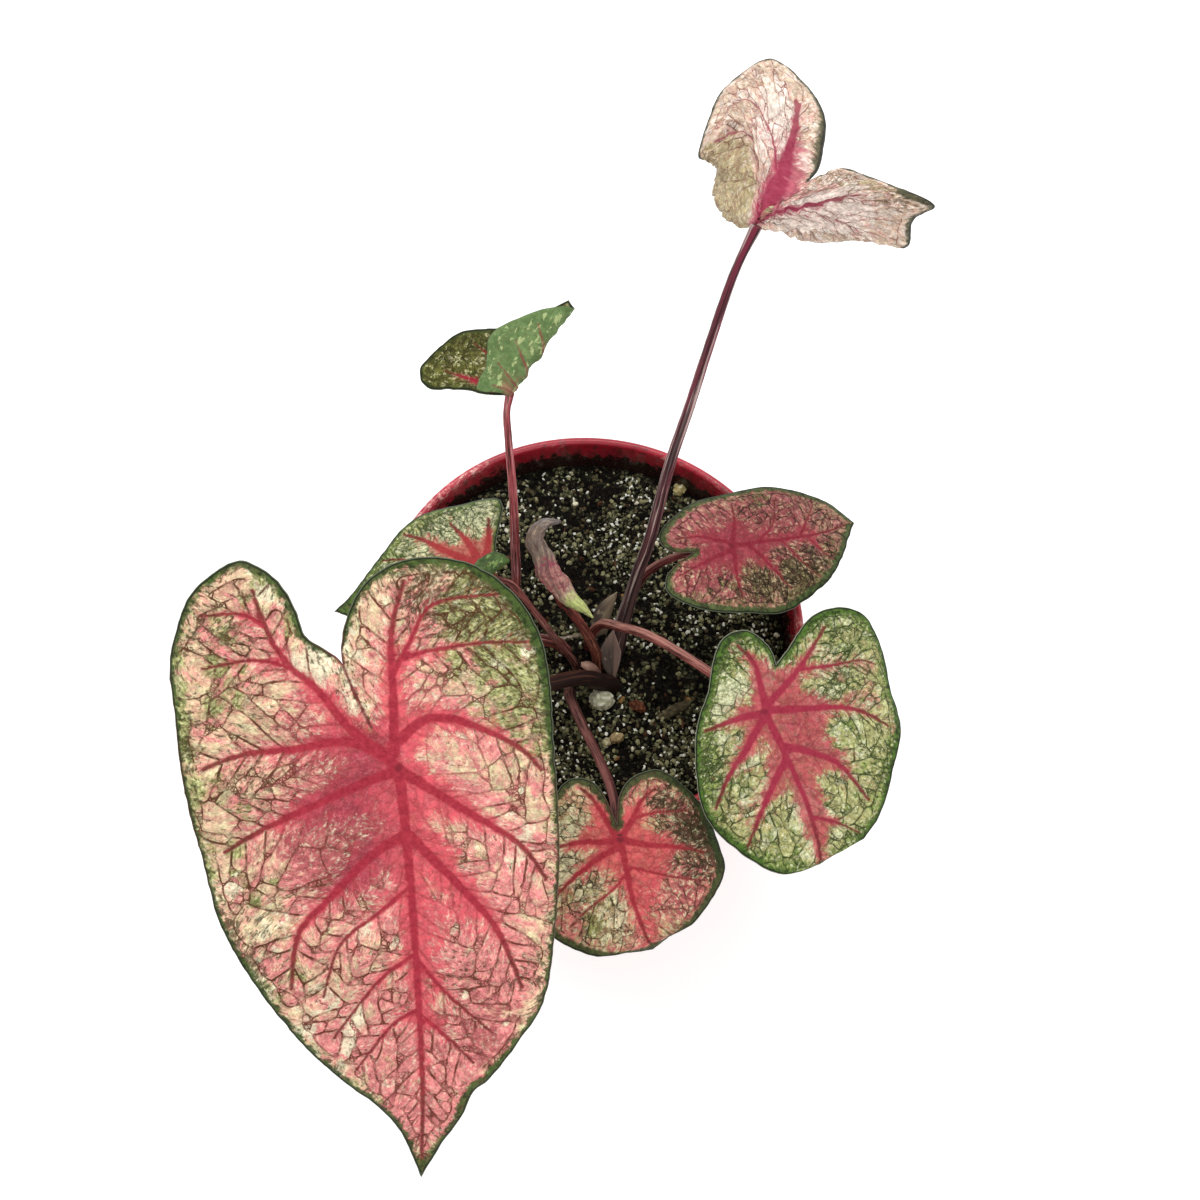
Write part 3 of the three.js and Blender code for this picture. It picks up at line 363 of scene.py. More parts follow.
class Board:
    """Adds and joins the nodes of one tree."""

    def __init__(self, tree: bpy.types.NodeTree) -> None:
        """Start on a tree and clear it."""
        self.tree = tree
        tree.nodes.clear()

    def add(
        self, kind: str, inputs: dict[str | int, object] | None = None, **settings: object
    ) -> bpy.types.Node:
        """Add a node.

        Args:
            kind: The node's type.
            inputs: A value or a socket for each input, by name or number.
            **settings: The node's own properties.

        Returns:
            The node.
        """
        node = self.tree.nodes.new(kind)
        for name, value in settings.items():
            setattr(node, name, value)
        self.fill(node, inputs or {})
        return node

    def fill(self, node: bpy.types.Node, inputs: dict[str | int, object]) -> None:
        """Set a node's inputs, each to a value or a socket, by name or number."""
        for key, value in inputs.items():
            self.feed(node.inputs[key], value)

    def feed(self, socket: bpy.types.NodeSocket, value: object) -> None:
        """Join a socket to an input, or set the input's own value.

        Args:
            socket: The input.
            value: A socket or a plain value.
        """
        if isinstance(value, bpy.types.NodeSocket):
            self.tree.links.new(value, socket)
        else:
            socket.default_value = value

    def math(self, operation: str, *values: object, clamp: bool = False) -> bpy.types.NodeSocket:
        """The result of a Math node."""
        node = self.add("ShaderNodeMath", dict(enumerate(values)), operation=operation, use_clamp=clamp)
        return node.outputs[0]

    def times(self, *values: object, clamp: bool = False) -> bpy.types.NodeSocket:
        """The product of several values.

        Args:
            values: Numbers and sockets.
            clamp: Whether each step stays within 0 to 1.

        Returns:
            The output socket.
        """
        product, *rest = values
        for value in rest:
            product = self.math("MULTIPLY", product, value, clamp=clamp)
        return product

    def plus(self, *values: object, clamp: bool = False) -> bpy.types.NodeSocket:
        """The sum of several values.

        Args:
            values: Numbers and sockets.
            clamp: Whether each step stays within 0 to 1.

        Returns:
            The output socket.
        """
        total, *rest = values
        for value in rest:
            total = self.math("ADD", total, value, clamp=clamp)
        return total

    def minus(self, value: object, less: object) -> bpy.types.NodeSocket:
        """The difference of two values."""
        return self.math("SUBTRACT", value, less)

    def over(self, value: object, parts: object) -> bpy.types.NodeSocket:
        """A value divided by another."""
        return self.math("DIVIDE", value, parts)

    def vector(self, operation: str, *values: object) -> bpy.types.NodeSocket:
        """The vector that a Vector Math node gives.

        Args:
            operation: The node's operation.
            values: Its inputs in order.

        Returns:
            The output socket.
        """
        return self.add(
            "ShaderNodeVectorMath", dict(enumerate(values)), operation=operation
        ).outputs["Vector"]

    def scaled(self, vector: object, factor: object) -> bpy.types.NodeSocket:
        """A vector times a number.

        Args:
            vector: The vector.
            factor: The number.

        Returns:
            The output socket.
        """
        return self.add(
            "ShaderNodeVectorMath", {0: vector, "Scale": factor}, operation="SCALE"
        ).outputs["Vector"]

    def smooth(
        self, value: object, low: object, high: object, out: Sequence[float] = (0.0, 1.0)
    ) -> bpy.types.NodeSocket:
        """A smooth step of a value from low to high, or the other way where low is the greater.

        Args:
            value: The value.
            low: Where the step starts.
            high: Where it ends.
            out: The results there.

        Returns:
            The output socket.
        """
        ends = {"From Min": low, "From Max": high, "To Min": out[0], "To Max": out[1]}
        return self.add(
            "ShaderNodeMapRange", {"Value": value, **ends}, interpolation_type="SMOOTHSTEP"
        ).outputs[0]

    def ramp(
        self, value: object, low: object, high: object, out: Sequence[float] = (0.0, 1.0)
    ) -> bpy.types.NodeSocket:
        """A straight, clamped change of a value from low to high.

        Args:
            value: The value.
            low: Where the change starts.
            high: Where it ends.
            out: The results there.

        Returns:
            The output socket.
        """
        ends = {"From Min": low, "From Max": high, "To Min": out[0], "To Max": out[1]}
        return self.add("ShaderNodeMapRange", {"Value": value, **ends}).outputs[0]

    def blend(self, share: object, low: object, high: object, kind: str = "MIX") -> bpy.types.NodeSocket:
        """Two colours mixed by a share from 0 to 1.

        Args:
            share: How much of the second colour shows.
            low: The first colour.
            high: The second colour.
            kind: How they mix.

        Returns:
            The output socket.
        """
        node = self.add("ShaderNodeMix", data_type="RGBA", blend_type=kind)
        self.fill(node, {0: share, 6: low, 7: high})
        return node.outputs[2]

    def lay(self, colour: object, tint: object, *shares: object) -> bpy.types.NodeSocket:
        """A colour with a tint laid over it, as far as the product of the shares goes."""
        return self.blend(self.times(*shares), colour, tint)

    def noise(
        self, vector: object, scale: float, detail: float = 3.0, rough: float = 0.5, key: str = "Fac"
    ) -> bpy.types.NodeSocket:
        """Noise at a vector: its factor, or its colour where key names that."""
        inputs = {"Vector": vector, "Scale": scale, "Detail": detail, "Roughness": rough}
        return self.add("ShaderNodeTexNoise", inputs).outputs[key]

    def reading(self, name: str, key: str = "Fac") -> bpy.types.NodeSocket:
        """A named attribute of the piece."""
        return self.add("ShaderNodeAttribute", attribute_name=name).outputs[key]

    def object_place(self) -> bpy.types.NodeSocket:
        """Object coordinates in millimetres."""
        return self.scaled(self.add("ShaderNodeTexCoord").outputs["Object"], 1 / MM)

    def bump(
        self, height: object, depth: float, strength: float = 1.0, under: object = None
    ) -> bpy.types.NodeSocket:
        """The normal of a height from 0 to 1 that is depth millimetres deep.

        Args:
            height: The height.
            depth: Millimetres.
            strength: How much of the relief counts.
            under: A normal to build on.

        Returns:
            The output socket.
        """
        node = self.add("ShaderNodeBump", {"Height": height, "Distance": depth * MM, "Strength": strength})
        if under is not None:
            self.feed(node.inputs["Normal"], under)
        return node.outputs["Normal"]


def material(name: str) -> tuple[bpy.types.Material, Board, bpy.types.Node]:
    """A new material with its board and its Principled BSDF, already joined to the output.

    Args:
        name: The material's name.

    Returns:
        The material, its board and its shader.
    """
    made = bpy.data.materials.new(name)
    made.use_nodes = True
    board = Board(made.node_tree)
    shader = board.add("ShaderNodeBsdfPrincipled")
    output = board.add("ShaderNodeOutputMaterial")
    made.node_tree.links.new(shader.outputs[0], output.inputs["Surface"])
    return made, board, shader


@dataclass(frozen=True)
class Effect:
    """A shader effect that several finishes share: a node group that is built once."""

    name: str
    inputs: dict[str, float | str]
    outputs: tuple[str, ...]
    wire: Callable[[Board, dict[str, bpy.types.NodeSocket]], dict[str, bpy.types.NodeSocket]]

    def group(self) -> bpy.types.NodeTree:
        """The node group, from the file if it is there already.

        Returns:
            The group.
        """
        if self.name in bpy.data.node_groups:
            return bpy.data.node_groups[self.name]
        tree = bpy.data.node_groups.new(self.name, "ShaderNodeTree")
        for name, start in self.inputs.items():
            kind = "NodeSocketVector" if start == "vector" else "NodeSocketFloat"
            socket = tree.interface.new_socket(name, in_out="INPUT", socket_type=kind)
            if kind == "NodeSocketFloat":
                socket.default_value = start
        for name in self.outputs:
            tree.interface.new_socket(name, in_out="OUTPUT", socket_type="NodeSocketFloat")
        board = Board(tree)
        source = board.add("NodeGroupInput")
        results = self.wire(board, {name: source.outputs[name] for name in self.inputs})
        board.add("NodeGroupOutput", dict(results))
        return tree

    def use(self, board: Board, **values: object) -> bpy.types.Node:
        """Place the effect on a material's board, with its inputs named in lower case.

        Args:
            board: The material's board.
            values: The inputs' values or sockets.

        Returns:
            The group's node.
        """
        node = board.add("ShaderNodeGroup", node_tree=self.group())
        board.fill(node, {name.capitalize(): value for name, value in values.items()})
        return node


@dataclass(frozen=True)
class Rise:
    """How strongly something shows while a value goes from low to high: from first to last."""

    low: float
    high: float
    first: float = 0.0
    last: float = 1.0
    straight: bool = False

    def of(self, board: Board, value: object) -> bpy.types.NodeSocket:
        """The strength at a value."""
        step = board.ramp if self.straight else board.smooth
        return step(value, self.low, self.high, (self.first, self.last))


@dataclass(frozen=True)
class Cloud:
    """Soft noise that shows where it rises past a level."""

    scale: float
    detail: float
    rough: float
    rise: Rise

    def of(self, board: Board, place: object) -> bpy.types.NodeSocket:
        """The strength at a place."""
        return self.rise.of(board, board.noise(place, self.scale, self.detail, self.rough))


MIDDLE: Place = (0.5, 0.5, 0.5)
MOTTLE_SWIRL: Span = (1.3, 2.0)
MOTTLE_NOISE: Noise = (1.0, 5.0, 0.62)
MOTTLE_SPAN: Span = (0.22, 0.78)
NET_SWIRL: Span = (1.1, 3.0)
LINE_CORE = 0.25
GAP_NOISE: Noise = (0.7, 2.0)
GAP_SPAN: Span = (0.42, 0.58)
BAND_NOISE: Noise = (1.0, 4.0, 0.6)
BAND_REACH = 4.0


def wire_mottle(board: Board, given: dict[str, bpy.types.NodeSocket]) -> dict[str, bpy.types.NodeSocket]:
    """Ragged patches that cover more as Lean rises from 0 to 1, and follow a cell's own number by Share.

    Args:
        board: The board of the group's tree.
        given: The group's input sockets, by name.

    Returns:
        The group's results, by name.
    """
    place = board.scaled(given["Vector"], board.over(1.0, given["Size"]))
    swirl = board.vector("SUBTRACT", board.noise(place, *MOTTLE_SWIRL, key="Color"), MIDDLE)
    place = board.vector("ADD", place, board.scaled(swirl, given["Swirl"]))
    height = board.ramp(board.noise(place, *MOTTLE_NOISE), *MOTTLE_SPAN)
    height = board.add("ShaderNodeMix", {0: given["Share"], 2: height, 3: given["Cell"]}).outputs[0]
    level = board.minus(1.0, given["Lean"])
    low = board.minus(level, given["Softness"])
    high = board.plus(level, given["Softness"])
    return {"Mask": board.smooth(height, low, high)}


def wire_net(board: Board, given: dict[str, bpy.types.NodeSocket]) -> dict[str, bpy.types.NodeSocket]:
    """A net of fine lines round uneven cells, broken here and there.

    Args:
        board: The board of the group's tree.
        given: The group's input sockets, by name.

    Returns:
        The group's results, by name.
    """
    place = board.scaled(given["Vector"], board.over(1.0, given["Size"]))
    swirl = board.vector("SUBTRACT", board.noise(place, *NET_SWIRL, key="Color"), MIDDLE)
    bent = board.vector("ADD", place, board.scaled(swirl, given["Swirl"]))
    edge = board.add("ShaderNodeTexVoronoi", {"Vector": bent, "Scale": 1.0}, feature="DISTANCE_TO_EDGE")
    cell = board.add("ShaderNodeTexVoronoi", {"Vector": bent, "Scale": 1.0}, feature="F1")
    half = board.over(given["Width"], given["Size"])
    line = board.smooth(edge.outputs["Distance"], half, board.times(half, LINE_CORE))
    gaps = board.smooth(board.noise(place, *GAP_NOISE), *GAP_SPAN)
    line = board.times(line, board.minus(1.0, board.times(gaps, given["Breaks"])))
    value = board.add("ShaderNodeSeparateColor", {0: cell.outputs["Color"]}).outputs[0]
    return {"Line": line, "Cell": value}


def wire_band(board: Board, given: dict[str, bpy.types.NodeSocket]) -> dict[str, bpy.types.NodeSocket]:
    """A band where Gap is under zero, with a wandering, soft edge.

    Args:
        board: The board of the group's tree.
        given: The group's input sockets, by name.

    Returns:
        The group's results, by name.
    """
    place = board.scaled(given["Vector"], board.over(1.0, given["Grain"]))
    off = board.times(board.minus(board.noise(place, *BAND_NOISE), 0.5), given["Wander"])
    gap = board.plus(given["Gap"], board.times(off, BAND_REACH))
    return {"Mask": board.smooth(gap, given["Softness"], board.times(given["Softness"], -1.0))}


MOTTLE_INPUTS = {
    "Vector": "vector", "Size": 5.0, "Lean": 0.5, "Softness": 0.08, "Swirl": 0.6, "Cell": 0.5, "Share": 0.0
}
MOTTLE = Effect("mottle", MOTTLE_INPUTS, ("Mask",), wire_mottle)
NET = Effect(
    "vein net", {"Vector": "vector", "Size": 3.0, "Width": 0.3, "Swirl": 0.5, "Breaks": 0.5},
    ("Line", "Cell"), wire_net
)
BAND = Effect(
    "wandering band", {"Vector": "vector", "Gap": 0.0, "Wander": 0.3, "Grain": 2.0, "Softness": 0.3},
    ("Mask",), wire_band
)


# ---------------------------------------------------------------- finishes


@dataclass(frozen=True)
class BladeFinish:
    """The upper face of a leaf: patchwork cells, dark side veins, crimson main veins and a green margin."""

    name: str
    pink: Colour = tone(222, 136, 134)
    rose: Colour = tone(172, 82, 88)
    salmon: Colour = tone(212, 158, 134)
    cream: Colour = tone(218, 202, 158)
    pale: Colour = tone(244, 234, 208)
    leafy: Colour = tone(190, 188, 132)
    green: Colour = tone(112, 124, 62)
    dark: Colour = tone(58, 56, 26)
    glow: Colour = tone(206, 82, 94)
    vein: Colour = tone(170, 52, 66)
    far_vein: Colour = tone(98, 40, 32)
    side_vein: Colour = tone(66, 44, 24)
    warm_vein: Colour = tone(150, 56, 58)
    margin: Colour = tone(84, 102, 46)
    dark_margin: Colour = tone(40, 52, 20)
    rim: Colour = tone(26, 32, 18)
    pale_rim: Colour = tone(120, 130, 104)
    stipple: Colour = tone(128, 98, 70)
    mauve: Colour = tone(160, 58, 74)
    joint: Colour = tone(112, 34, 44)
    spark: Colour = tone(228, 130, 134)
    fringe: float = 0.0
    patch: float = 6.0
    net_size: float = 2.6
    net_strength: float = 0.55
    glow_reach: float = 2.6
    glow_strength: float = 0.95
    margin_width: float = 1.8
    margin_wander: float = 0.8
    roughness: float = 0.5
    lightness: float = 0.8
    calm_reach: float = 12.0
    speckle: float = 1.0
    fringe_span: Span = (6.5, 1.0)
    fringe_dark: float = 0.6
    pink_size: float = 0.7
    pink_gaps: float = 0.7
    rose_share: float = 0.85
    green_size: float = 0.8
    green_share: float = 0.94
    pale_size: float = 0.6
    pale_share: float = 0.8
    grain: Noise = (0.85, 4.0, 0.6)
    dot_rise: Rise = Rise(0.48, 0.38)
    dot_share: Rise = Rise(0.0, 0.5, 0.25, 0.8, straight=True)
    dark_gain: float = 0.8
    dark_base: float = 0.2
    dark_share: float = 0.78
    # The pale grain flecks: partly the leaf's own speckle, partly painted sheen highlights.
    fleck_rise: Rise = Rise(0.56, 0.64)
    fleck_share: Rise = Rise(0.0, 0.5, 0.35, 1.0, straight=True)
    coarse_shade: Cloud = Cloud(0.3, 4.0, 0.7, Rise(0.41, 0.59, 0.78, 1.15, straight=True))
    stream_shade: Cloud = Cloud(1.6, 4.0, 0.7, Rise(0.34, 0.66, 0.74, 1.2, straight=True))
    cell_shade: Rise = Rise(0.0, 1.0, 0.9, 1.06, straight=True)
    stream_stretch: Place = (1.0, 1.05, 1.0)
    far_span: Span = (0.1, 0.9)
    far_glow: float = 0.3
    feather: Noise = (0.8, 6.0, 0.75)
    feather_stretch: Place = (1.0, 0.7, 1.0)
    broad: Noise = (0.24, 3.0, 0.6)
    feather_gain: float = 1.25
    glow_rise: Rise = Rise(0.24, 0.74)
    flatten: Place = (1.0, 1.0, 0.0)
    calm_start: float = 0.3
    calm_share: Span = (0.3, 1.0)
    quiet_rise: Rise = Rise(0.0, 0.8, 1.0, 0.3, straight=True)
    mauve_rise: Rise = Rise(0.3, 0.8, last=0.9, straight=True)
    glow_depth: Cloud = Cloud(0.42, 5.0, 0.75, Rise(0.43, 0.57, 0.74, 1.17, straight=True))
    depth_shift: Place = (3.0, 7.0, 1.0)
    sparks: Cloud = Cloud(0.95, 5.0, 0.75, Rise(0.54, 0.66, last=0.55))
    glow_share: float = 0.85
    net_rise: Rise = Rise(0.2, 1.0, 0.5, 1.3, straight=True)
    net_tint: float = 0.4
    fringe_in: Rise = Rise(0.1, 0.34)
    fringe_out: Rise = Rise(0.62, 0.4)
    fleck_shift: Place = (13.0, 5.0, 3.0)
    fringe_share: float = 0.6
    breaks: Cloud = Cloud(0.3, 4.0, 0.65, Rise(0.38, 0.56, 0.4, 1.0, straight=True))
    tissue_reach: Rise = Rise(1.6, 0.0)
    tissue: Cloud = Cloud(1.0, 4.0, 0.7, Rise(0.46, 0.62))
    tissue_dark: Rise = Rise(0.05, 0.6, 0.1, 1.0, straight=True)
    vein_cool: Rise = Rise(0.2, 0.9)
    vein_bleak: Rise = Rise(0.2, 0.6, 0.3, 0.0)
    vein_share: Rise = Rise(0.1, 1.0, 0.42, 0.97, straight=True)
    far_rise: Rise = Rise(0.5, 0.95)
    vein_streak: Cloud = Cloud(0.8, 4.0, 0.6, Rise(0.4, 0.7, last=0.3, straight=True))
    main_share: float = 0.95
    joint_rise: Rise = Rise(1.7, 0.3, last=0.75)
    margin_cloud: Cloud = Cloud(0.6, 4.0, 0.65, Rise(0.4, 0.62))
    margin_share: float = 0.94
    rim_rise: Rise = Rise(0.75, 0.3)
    pale_rim_rise: Rise = Rise(0.2, 0.08)
    pale_rim_share: float = 0.6
    # The dark crimson on edges without a margin: partly the rim's colour, partly painted shade along the
    # lobe edges.
    bare_rise: Rise = Rise(0.7, 0.1)
    bare_share: float = 0.8
    gloss_noise: Noise = (0.35, 3.0)
    gloss_span: Span = (0.3, 0.7)
    gloss_low: float = 0.08
    gloss_high: float = 0.1
    specular: float = 0.1
    net_relief: float = 0.6
    grain_relief: float = 0.8
    relief_noise: Noise = (1.6, 3.0)
    relief: Span = (0.2, 0.9)

    def panels(
        self, board: Board, flat: bpy.types.NodeSocket, stream: bpy.types.NodeSocket
    ) -> bpy.types.NodeSocket:
        """The ground between the veins: patches of several tints, broken up by streaks.

        Args:
            board: The material's board.
            flat: The place on the flat leaf, in millimetres.
            stream: The place along the side veins, in millimetres.

        Returns:
            The ground's colour.
        """
        blush, cream, green, dark, rose = (
            board.reading(name) for name in ("blush", "cream", "green", "dark", "rose")
        )
        cell = board.add("ShaderNodeSeparateXYZ", {0: board.reading("cell", "Vector")}).outputs
        moved = [board.vector("ADD", flat, (shift, 2 * shift, shift)) for shift in SHIFTS]
        drift = [board.vector("ADD", stream, (shift, 2 * shift, shift)) for shift in (0.0, *SHIFTS)]

        def mask(**values: object) -> bpy.types.NodeSocket:
            """The mask of a mottle."""
            return MOTTLE.use(board, **values).outputs[0]

        ground = board.blend(
            mask(vector=drift[0], size=2.8, lean=0.5, softness=0.3), self.cream, self.salmon
        )
        near = board.smooth(board.reading("rim"), *self.fringe_span, (0.0, self.fringe))
        green = board.plus(green, near)
        dark = board.plus(dark, board.times(near, self.fringe_dark))
        gaps = mask(vector=drift[1], size=1.4, lean=0.7, softness=0.22)
        pink = mask(
            vector=drift[4], size=self.patch * self.pink_size, lean=blush, cell=cell[0], share=0.24,
            softness=0.16
        )
        pink = board.times(pink, board.ramp(gaps, 0, 1, (1.0 - self.pink_gaps * self.speckle, 1.0)))
        ground = board.lay(ground, self.pink, pink)
        rosy = mask(vector=drift[2], size=2.4, lean=rose, softness=0.2)
        ground = board.lay(ground, self.rose, rosy, self.rose_share)
        leafy = board.blend(mask(vector=drift[3], size=1.2, lean=0.5, softness=0.2), self.leafy, self.green)
        patch = mask(
            vector=moved[0], size=self.patch * self.green_size, lean=green, cell=cell[1], share=0.28,
            softness=0.12
        )
        ground = board.lay(ground, leafy, patch, self.green_share)
        patch = mask(
            vector=moved[1], size=self.patch * self.pale_size, lean=cream, cell=cell[2], share=0.36,
            softness=0.07
        )
        patch = board.times(patch, mask(vector=drift[3], size=1.2, lean=0.75, softness=0.2))
        ground = board.lay(ground, self.pale, patch, self.pale_share)
        grain = board.noise(moved[2], *self.grain)
        dots = board.times(self.dot_rise.of(board, grain), self.dot_share.of(board, dark))
        ground = board.lay(ground, self.stipple, dots, self.speckle)
        lean = board.times(board.plus(dark, self.dark_base), self.dark_gain)
        speck = mask(vector=drift[1], size=1.3, lean=lean, softness=0.08, swirl=1.2)
        ground = board.lay(ground, self.dark, speck, self.dark_share)
        # Pale flecks on the cream parts: partly the leaf's own pale speckle, partly painted sheen
        # highlights.
        fleck = board.times(self.fleck_rise.of(board, grain), self.fleck_share.of(board, cream))
        ground = board.lay(ground, self.pale, fleck, self.speckle)
        coarse = self.coarse_shade.of(board, moved[3])
        shade = board.times(coarse, self.stream_shade.of(board, stream))
        shade = board.times(shade, self.cell_shade.of(board, cell[2]))
        return board.blend(1.0, ground, shade, "MULTIPLY")

    def build(self) -> bpy.types.Material:
        """The finish as a material.

        Returns:
            The material.
        """
        made, board, shader = material(self.name)
        flat = board.reading("flat", "Vector")
        stream = board.vector("MULTIPLY", board.reading("stream", "Vector"), self.stream_stretch)
        main, side, rim, far = (board.reading(name) for name in ("main", "side", "rim", "far"))
        heat, dark = board.reading("spread"), board.reading("dark")
        colour = self.panels(board, flat, stream)

        away = board.over(board.math("MAXIMUM", main, 0.0), self.glow_reach)
        warm = board.math("POWER", 2.0, board.times(away, -1.0))
        strength = (self.glow_strength, self.glow_strength * self.far_glow)
        warm = board.times(warm, board.ramp(far, *self.far_span, strength))
        warm = board.plus(warm, heat)
        feather = board.noise(board.vector("MULTIPLY", stream, self.feather_stretch), *self.feather)
        broad = board.noise(flat, *self.broad)
        wander = board.plus(
            board.times(board.minus(feather, 0.5), self.feather_gain), board.minus(broad, 0.5)
        )
        raw = board.plus(warm, wander)
        warm = self.glow_rise.of(board, raw)
        reach = board.add(
            "ShaderNodeVectorMath", {0: board.vector("MULTIPLY", flat, self.flatten)}, operation="LENGTH"
        )
        calm = board.smooth(
            reach.outputs["Value"], self.calm_reach * self.calm_start, self.calm_reach, self.calm_share
        )
        quiet = board.times(self.quiet_rise.of(board, warm), calm)

        net = NET.use(board, vector=flat, size=self.net_size, width=0.26, swirl=1.3, breaks=1.0)
        fine = net.outputs["Line"]
        glow = board.blend(self.mauve_rise.of(board, board.reading("rose")), self.glow, self.mauve)
        depth = self.glow_depth.of(board, board.vector("ADD", flat, self.depth_shift))
        glow = board.blend(1.0, glow, depth, "MULTIPLY")
        glow = board.lay(glow, self.spark, self.sparks.of(board, flat))
        colour = board.lay(colour, glow, warm, self.glow_share)
        shaded = self.net_rise.of(board, board.plus(dark, board.reading("green")))
        net = board.times(board.times(fine, quiet, shaded), self.net_strength, clamp=True)
        colour = board.lay(colour, board.blend(self.net_tint, self.stipple, self.side_vein), net)
        fringe = board.times(self.fringe_in.of(board, raw), self.fringe_out.of(board, raw))
        fleck = MOTTLE.use(
            board, vector=board.vector("ADD", stream, self.fleck_shift), size=1.3, lean=0.34, softness=0.16,
            swirl=1.0
        )
        colour = board.lay(colour, self.pale, fringe, fleck.outputs[0], self.fringe_share)

        broken = self.breaks.of(board, flat)
        tissue = board.times(self.tissue_reach.of(board, side), self.tissue.of(board, stream))
        tissue = board.times(tissue, quiet, self.tissue_dark.of(board, dark))
        colour = board.lay(colour, self.dark, tissue)
        line = BAND.use(board, vector=flat, gap=side, wander=0.09, grain=1.1, softness=0.14).outputs[0]
        tint = board.blend(self.vein_cool.of(board, quiet), self.warm_vein, self.side_vein)
        bleak = self.vein_bleak.of(board, board.plus(dark, board.reading("green")))
        tint = board.lay(tint, self.warm_vein, bleak)
        line = board.times(line, broken, self.vein_share.of(board, quiet))
        colour = board.lay(colour, tint, line)

        line = BAND.use(board, vector=stream, gap=main, wander=0.22, grain=1.2, softness=0.4).outputs[0]
        tint = board.blend(self.far_rise.of(board, far), self.vein, self.far_vein)
        streak = self.vein_streak.of(board, flat)
        tint = board.lay(tint, self.glow, streak)
        colour = board.lay(colour, tint, line, self.main_share)
        colour = board.lay(colour, self.joint, self.joint_rise.of(board, reach.outputs["Value"]))

        inner = board.minus(rim, board.times(board.reading("border"), self.margin_width))
        edge = BAND.use(
            board, vector=flat, gap=inner, wander=self.margin_wander, grain=2.2, softness=0.6
        ).outputs[0]
        tint = board.blend(self.margin_cloud.of(board, flat), self.margin, self.dark_margin)
        colour = board.lay(colour, tint, edge, self.margin_share)
        shown = board.math("MINIMUM", board.math("MAXIMUM", board.reading("border"), 0.0), 1.0)
        colour = board.lay(colour, self.rim, self.rim_rise.of(board, rim), shown)
        colour = board.lay(
            colour, self.pale_rim, self.pale_rim_rise.of(board, rim),
            board.times(shown, self.pale_rim_share)
        )
        # Edges without a margin get the dark joint colour: partly the leaf's crimson rim, partly painted
        # shade along the lobe edges at the sinus.
        bare = board.times(self.bare_rise.of(board, rim), board.minus(1.0, shown))
        colour = board.lay(colour, self.joint, bare, self.bare_share)
        board.feed(
            shader.inputs["Base Color"],
            board.blend(1.0, colour, (self.lightness,) * 3 + (1.0,), "MULTIPLY")
        )

        gloss = (self.roughness - self.gloss_low, self.roughness + self.gloss_high)
        sheen = board.ramp(board.noise(flat, *self.gloss_noise), *self.gloss_span, gloss)
        board.fill(shader, {"Roughness": sheen, "Specular IOR Level": self.specular})
        sunk = board.minus(1.0, fine)
        grain = board.plus(
            board.times(sunk, self.net_relief),
            board.times(board.noise(flat, *self.relief_noise), self.grain_relief)
        )
        board.feed(shader.inputs["Normal"], board.bump(grain, *self.relief))
        return made


@dataclass(frozen=True)
class UndersideFinish:
    """The underside of a leaf: matt and paler, with its veins standing out."""

    name: str
    base: Colour = tone(134, 150, 104)
    blush: Colour = tone(176, 116, 112)
    vein: Colour = tone(150, 84, 84)
    fleck: Colour = tone(190, 196, 148)
    shade: Colour = tone(84, 100, 56)
    roughness: float = 0.58
    cloud: Noise = (0.22, 4.0)
    fleck_mix: float = 0.25
    pink_lean: float = 0.8
    pink_share: float = 0.6
    net_share: float = 0.08
    shade_cloud: Cloud = Cloud(0.5, 4.0, 0.65, Rise(0.36, 0.66))
    shade_share: float = 0.6
    fleck_stretch: Place = (1.0, 0.5, 1.0)
    fleck_share: float = 0.8
    side_share: float = 0.14
    main_share: float = 0.8
    specular: float = 0.16
    relief_noise: Noise = (1.8, 3.0)
    relief: Span = (0.12, 0.7)

    def build(self) -> bpy.types.Material:
        """The finish as a material.

        Returns:
            The material.
        """
        made, board, shader = material(self.name)
        flat = board.reading("flat", "Vector")
        main, side, blush = board.reading("main"), board.reading("side"), board.reading("blush")
        colour = board.blend(
            board.noise(flat, *self.cloud), self.base, board.blend(self.fleck_mix, self.base, self.fleck)
        )
        pink = MOTTLE.use(
            board, vector=flat, size=8.0, lean=board.times(blush, self.pink_lean), softness=0.14
        ).outputs[0]
        colour = board.lay(colour, self.blush, pink, self.pink_share)
        net = NET.use(board, vector=flat, size=2.6, width=0.4, swirl=0.7, breaks=0.4)
        colour = board.lay(colour, self.fleck, net.outputs["Line"], self.net_share)
        shade = self.shade_cloud.of(board, flat)
        colour = board.blend(shade, board.blend(self.shade_share, colour, self.shade), colour)
        fleck = MOTTLE.use(
            board, vector=board.vector("MULTIPLY", flat, self.fleck_stretch), size=1.5, lean=0.33,
            softness=0.05
        ).outputs[0]
        colour = board.lay(colour, self.fleck, fleck, self.fleck_share)
        line = BAND.use(board, vector=flat, gap=side, wander=0.1, grain=2.0, softness=0.3).outputs[0]
        colour = board.lay(colour, self.vein, line, self.side_share)
        line = BAND.use(board, vector=flat, gap=main, wander=0.2, grain=2.0, softness=0.5).outputs[0]
        colour = board.lay(colour, self.vein, line, self.main_share)
        board.fill(shader, {
            "Base Color": colour, "Roughness": self.roughness, "Specular IOR Level": self.specular
        })
        relief = board.plus(net.outputs["Line"], board.noise(flat, *self.relief_noise))
        board.feed(shader.inputs["Normal"], board.bump(relief, *self.relief))
        return made


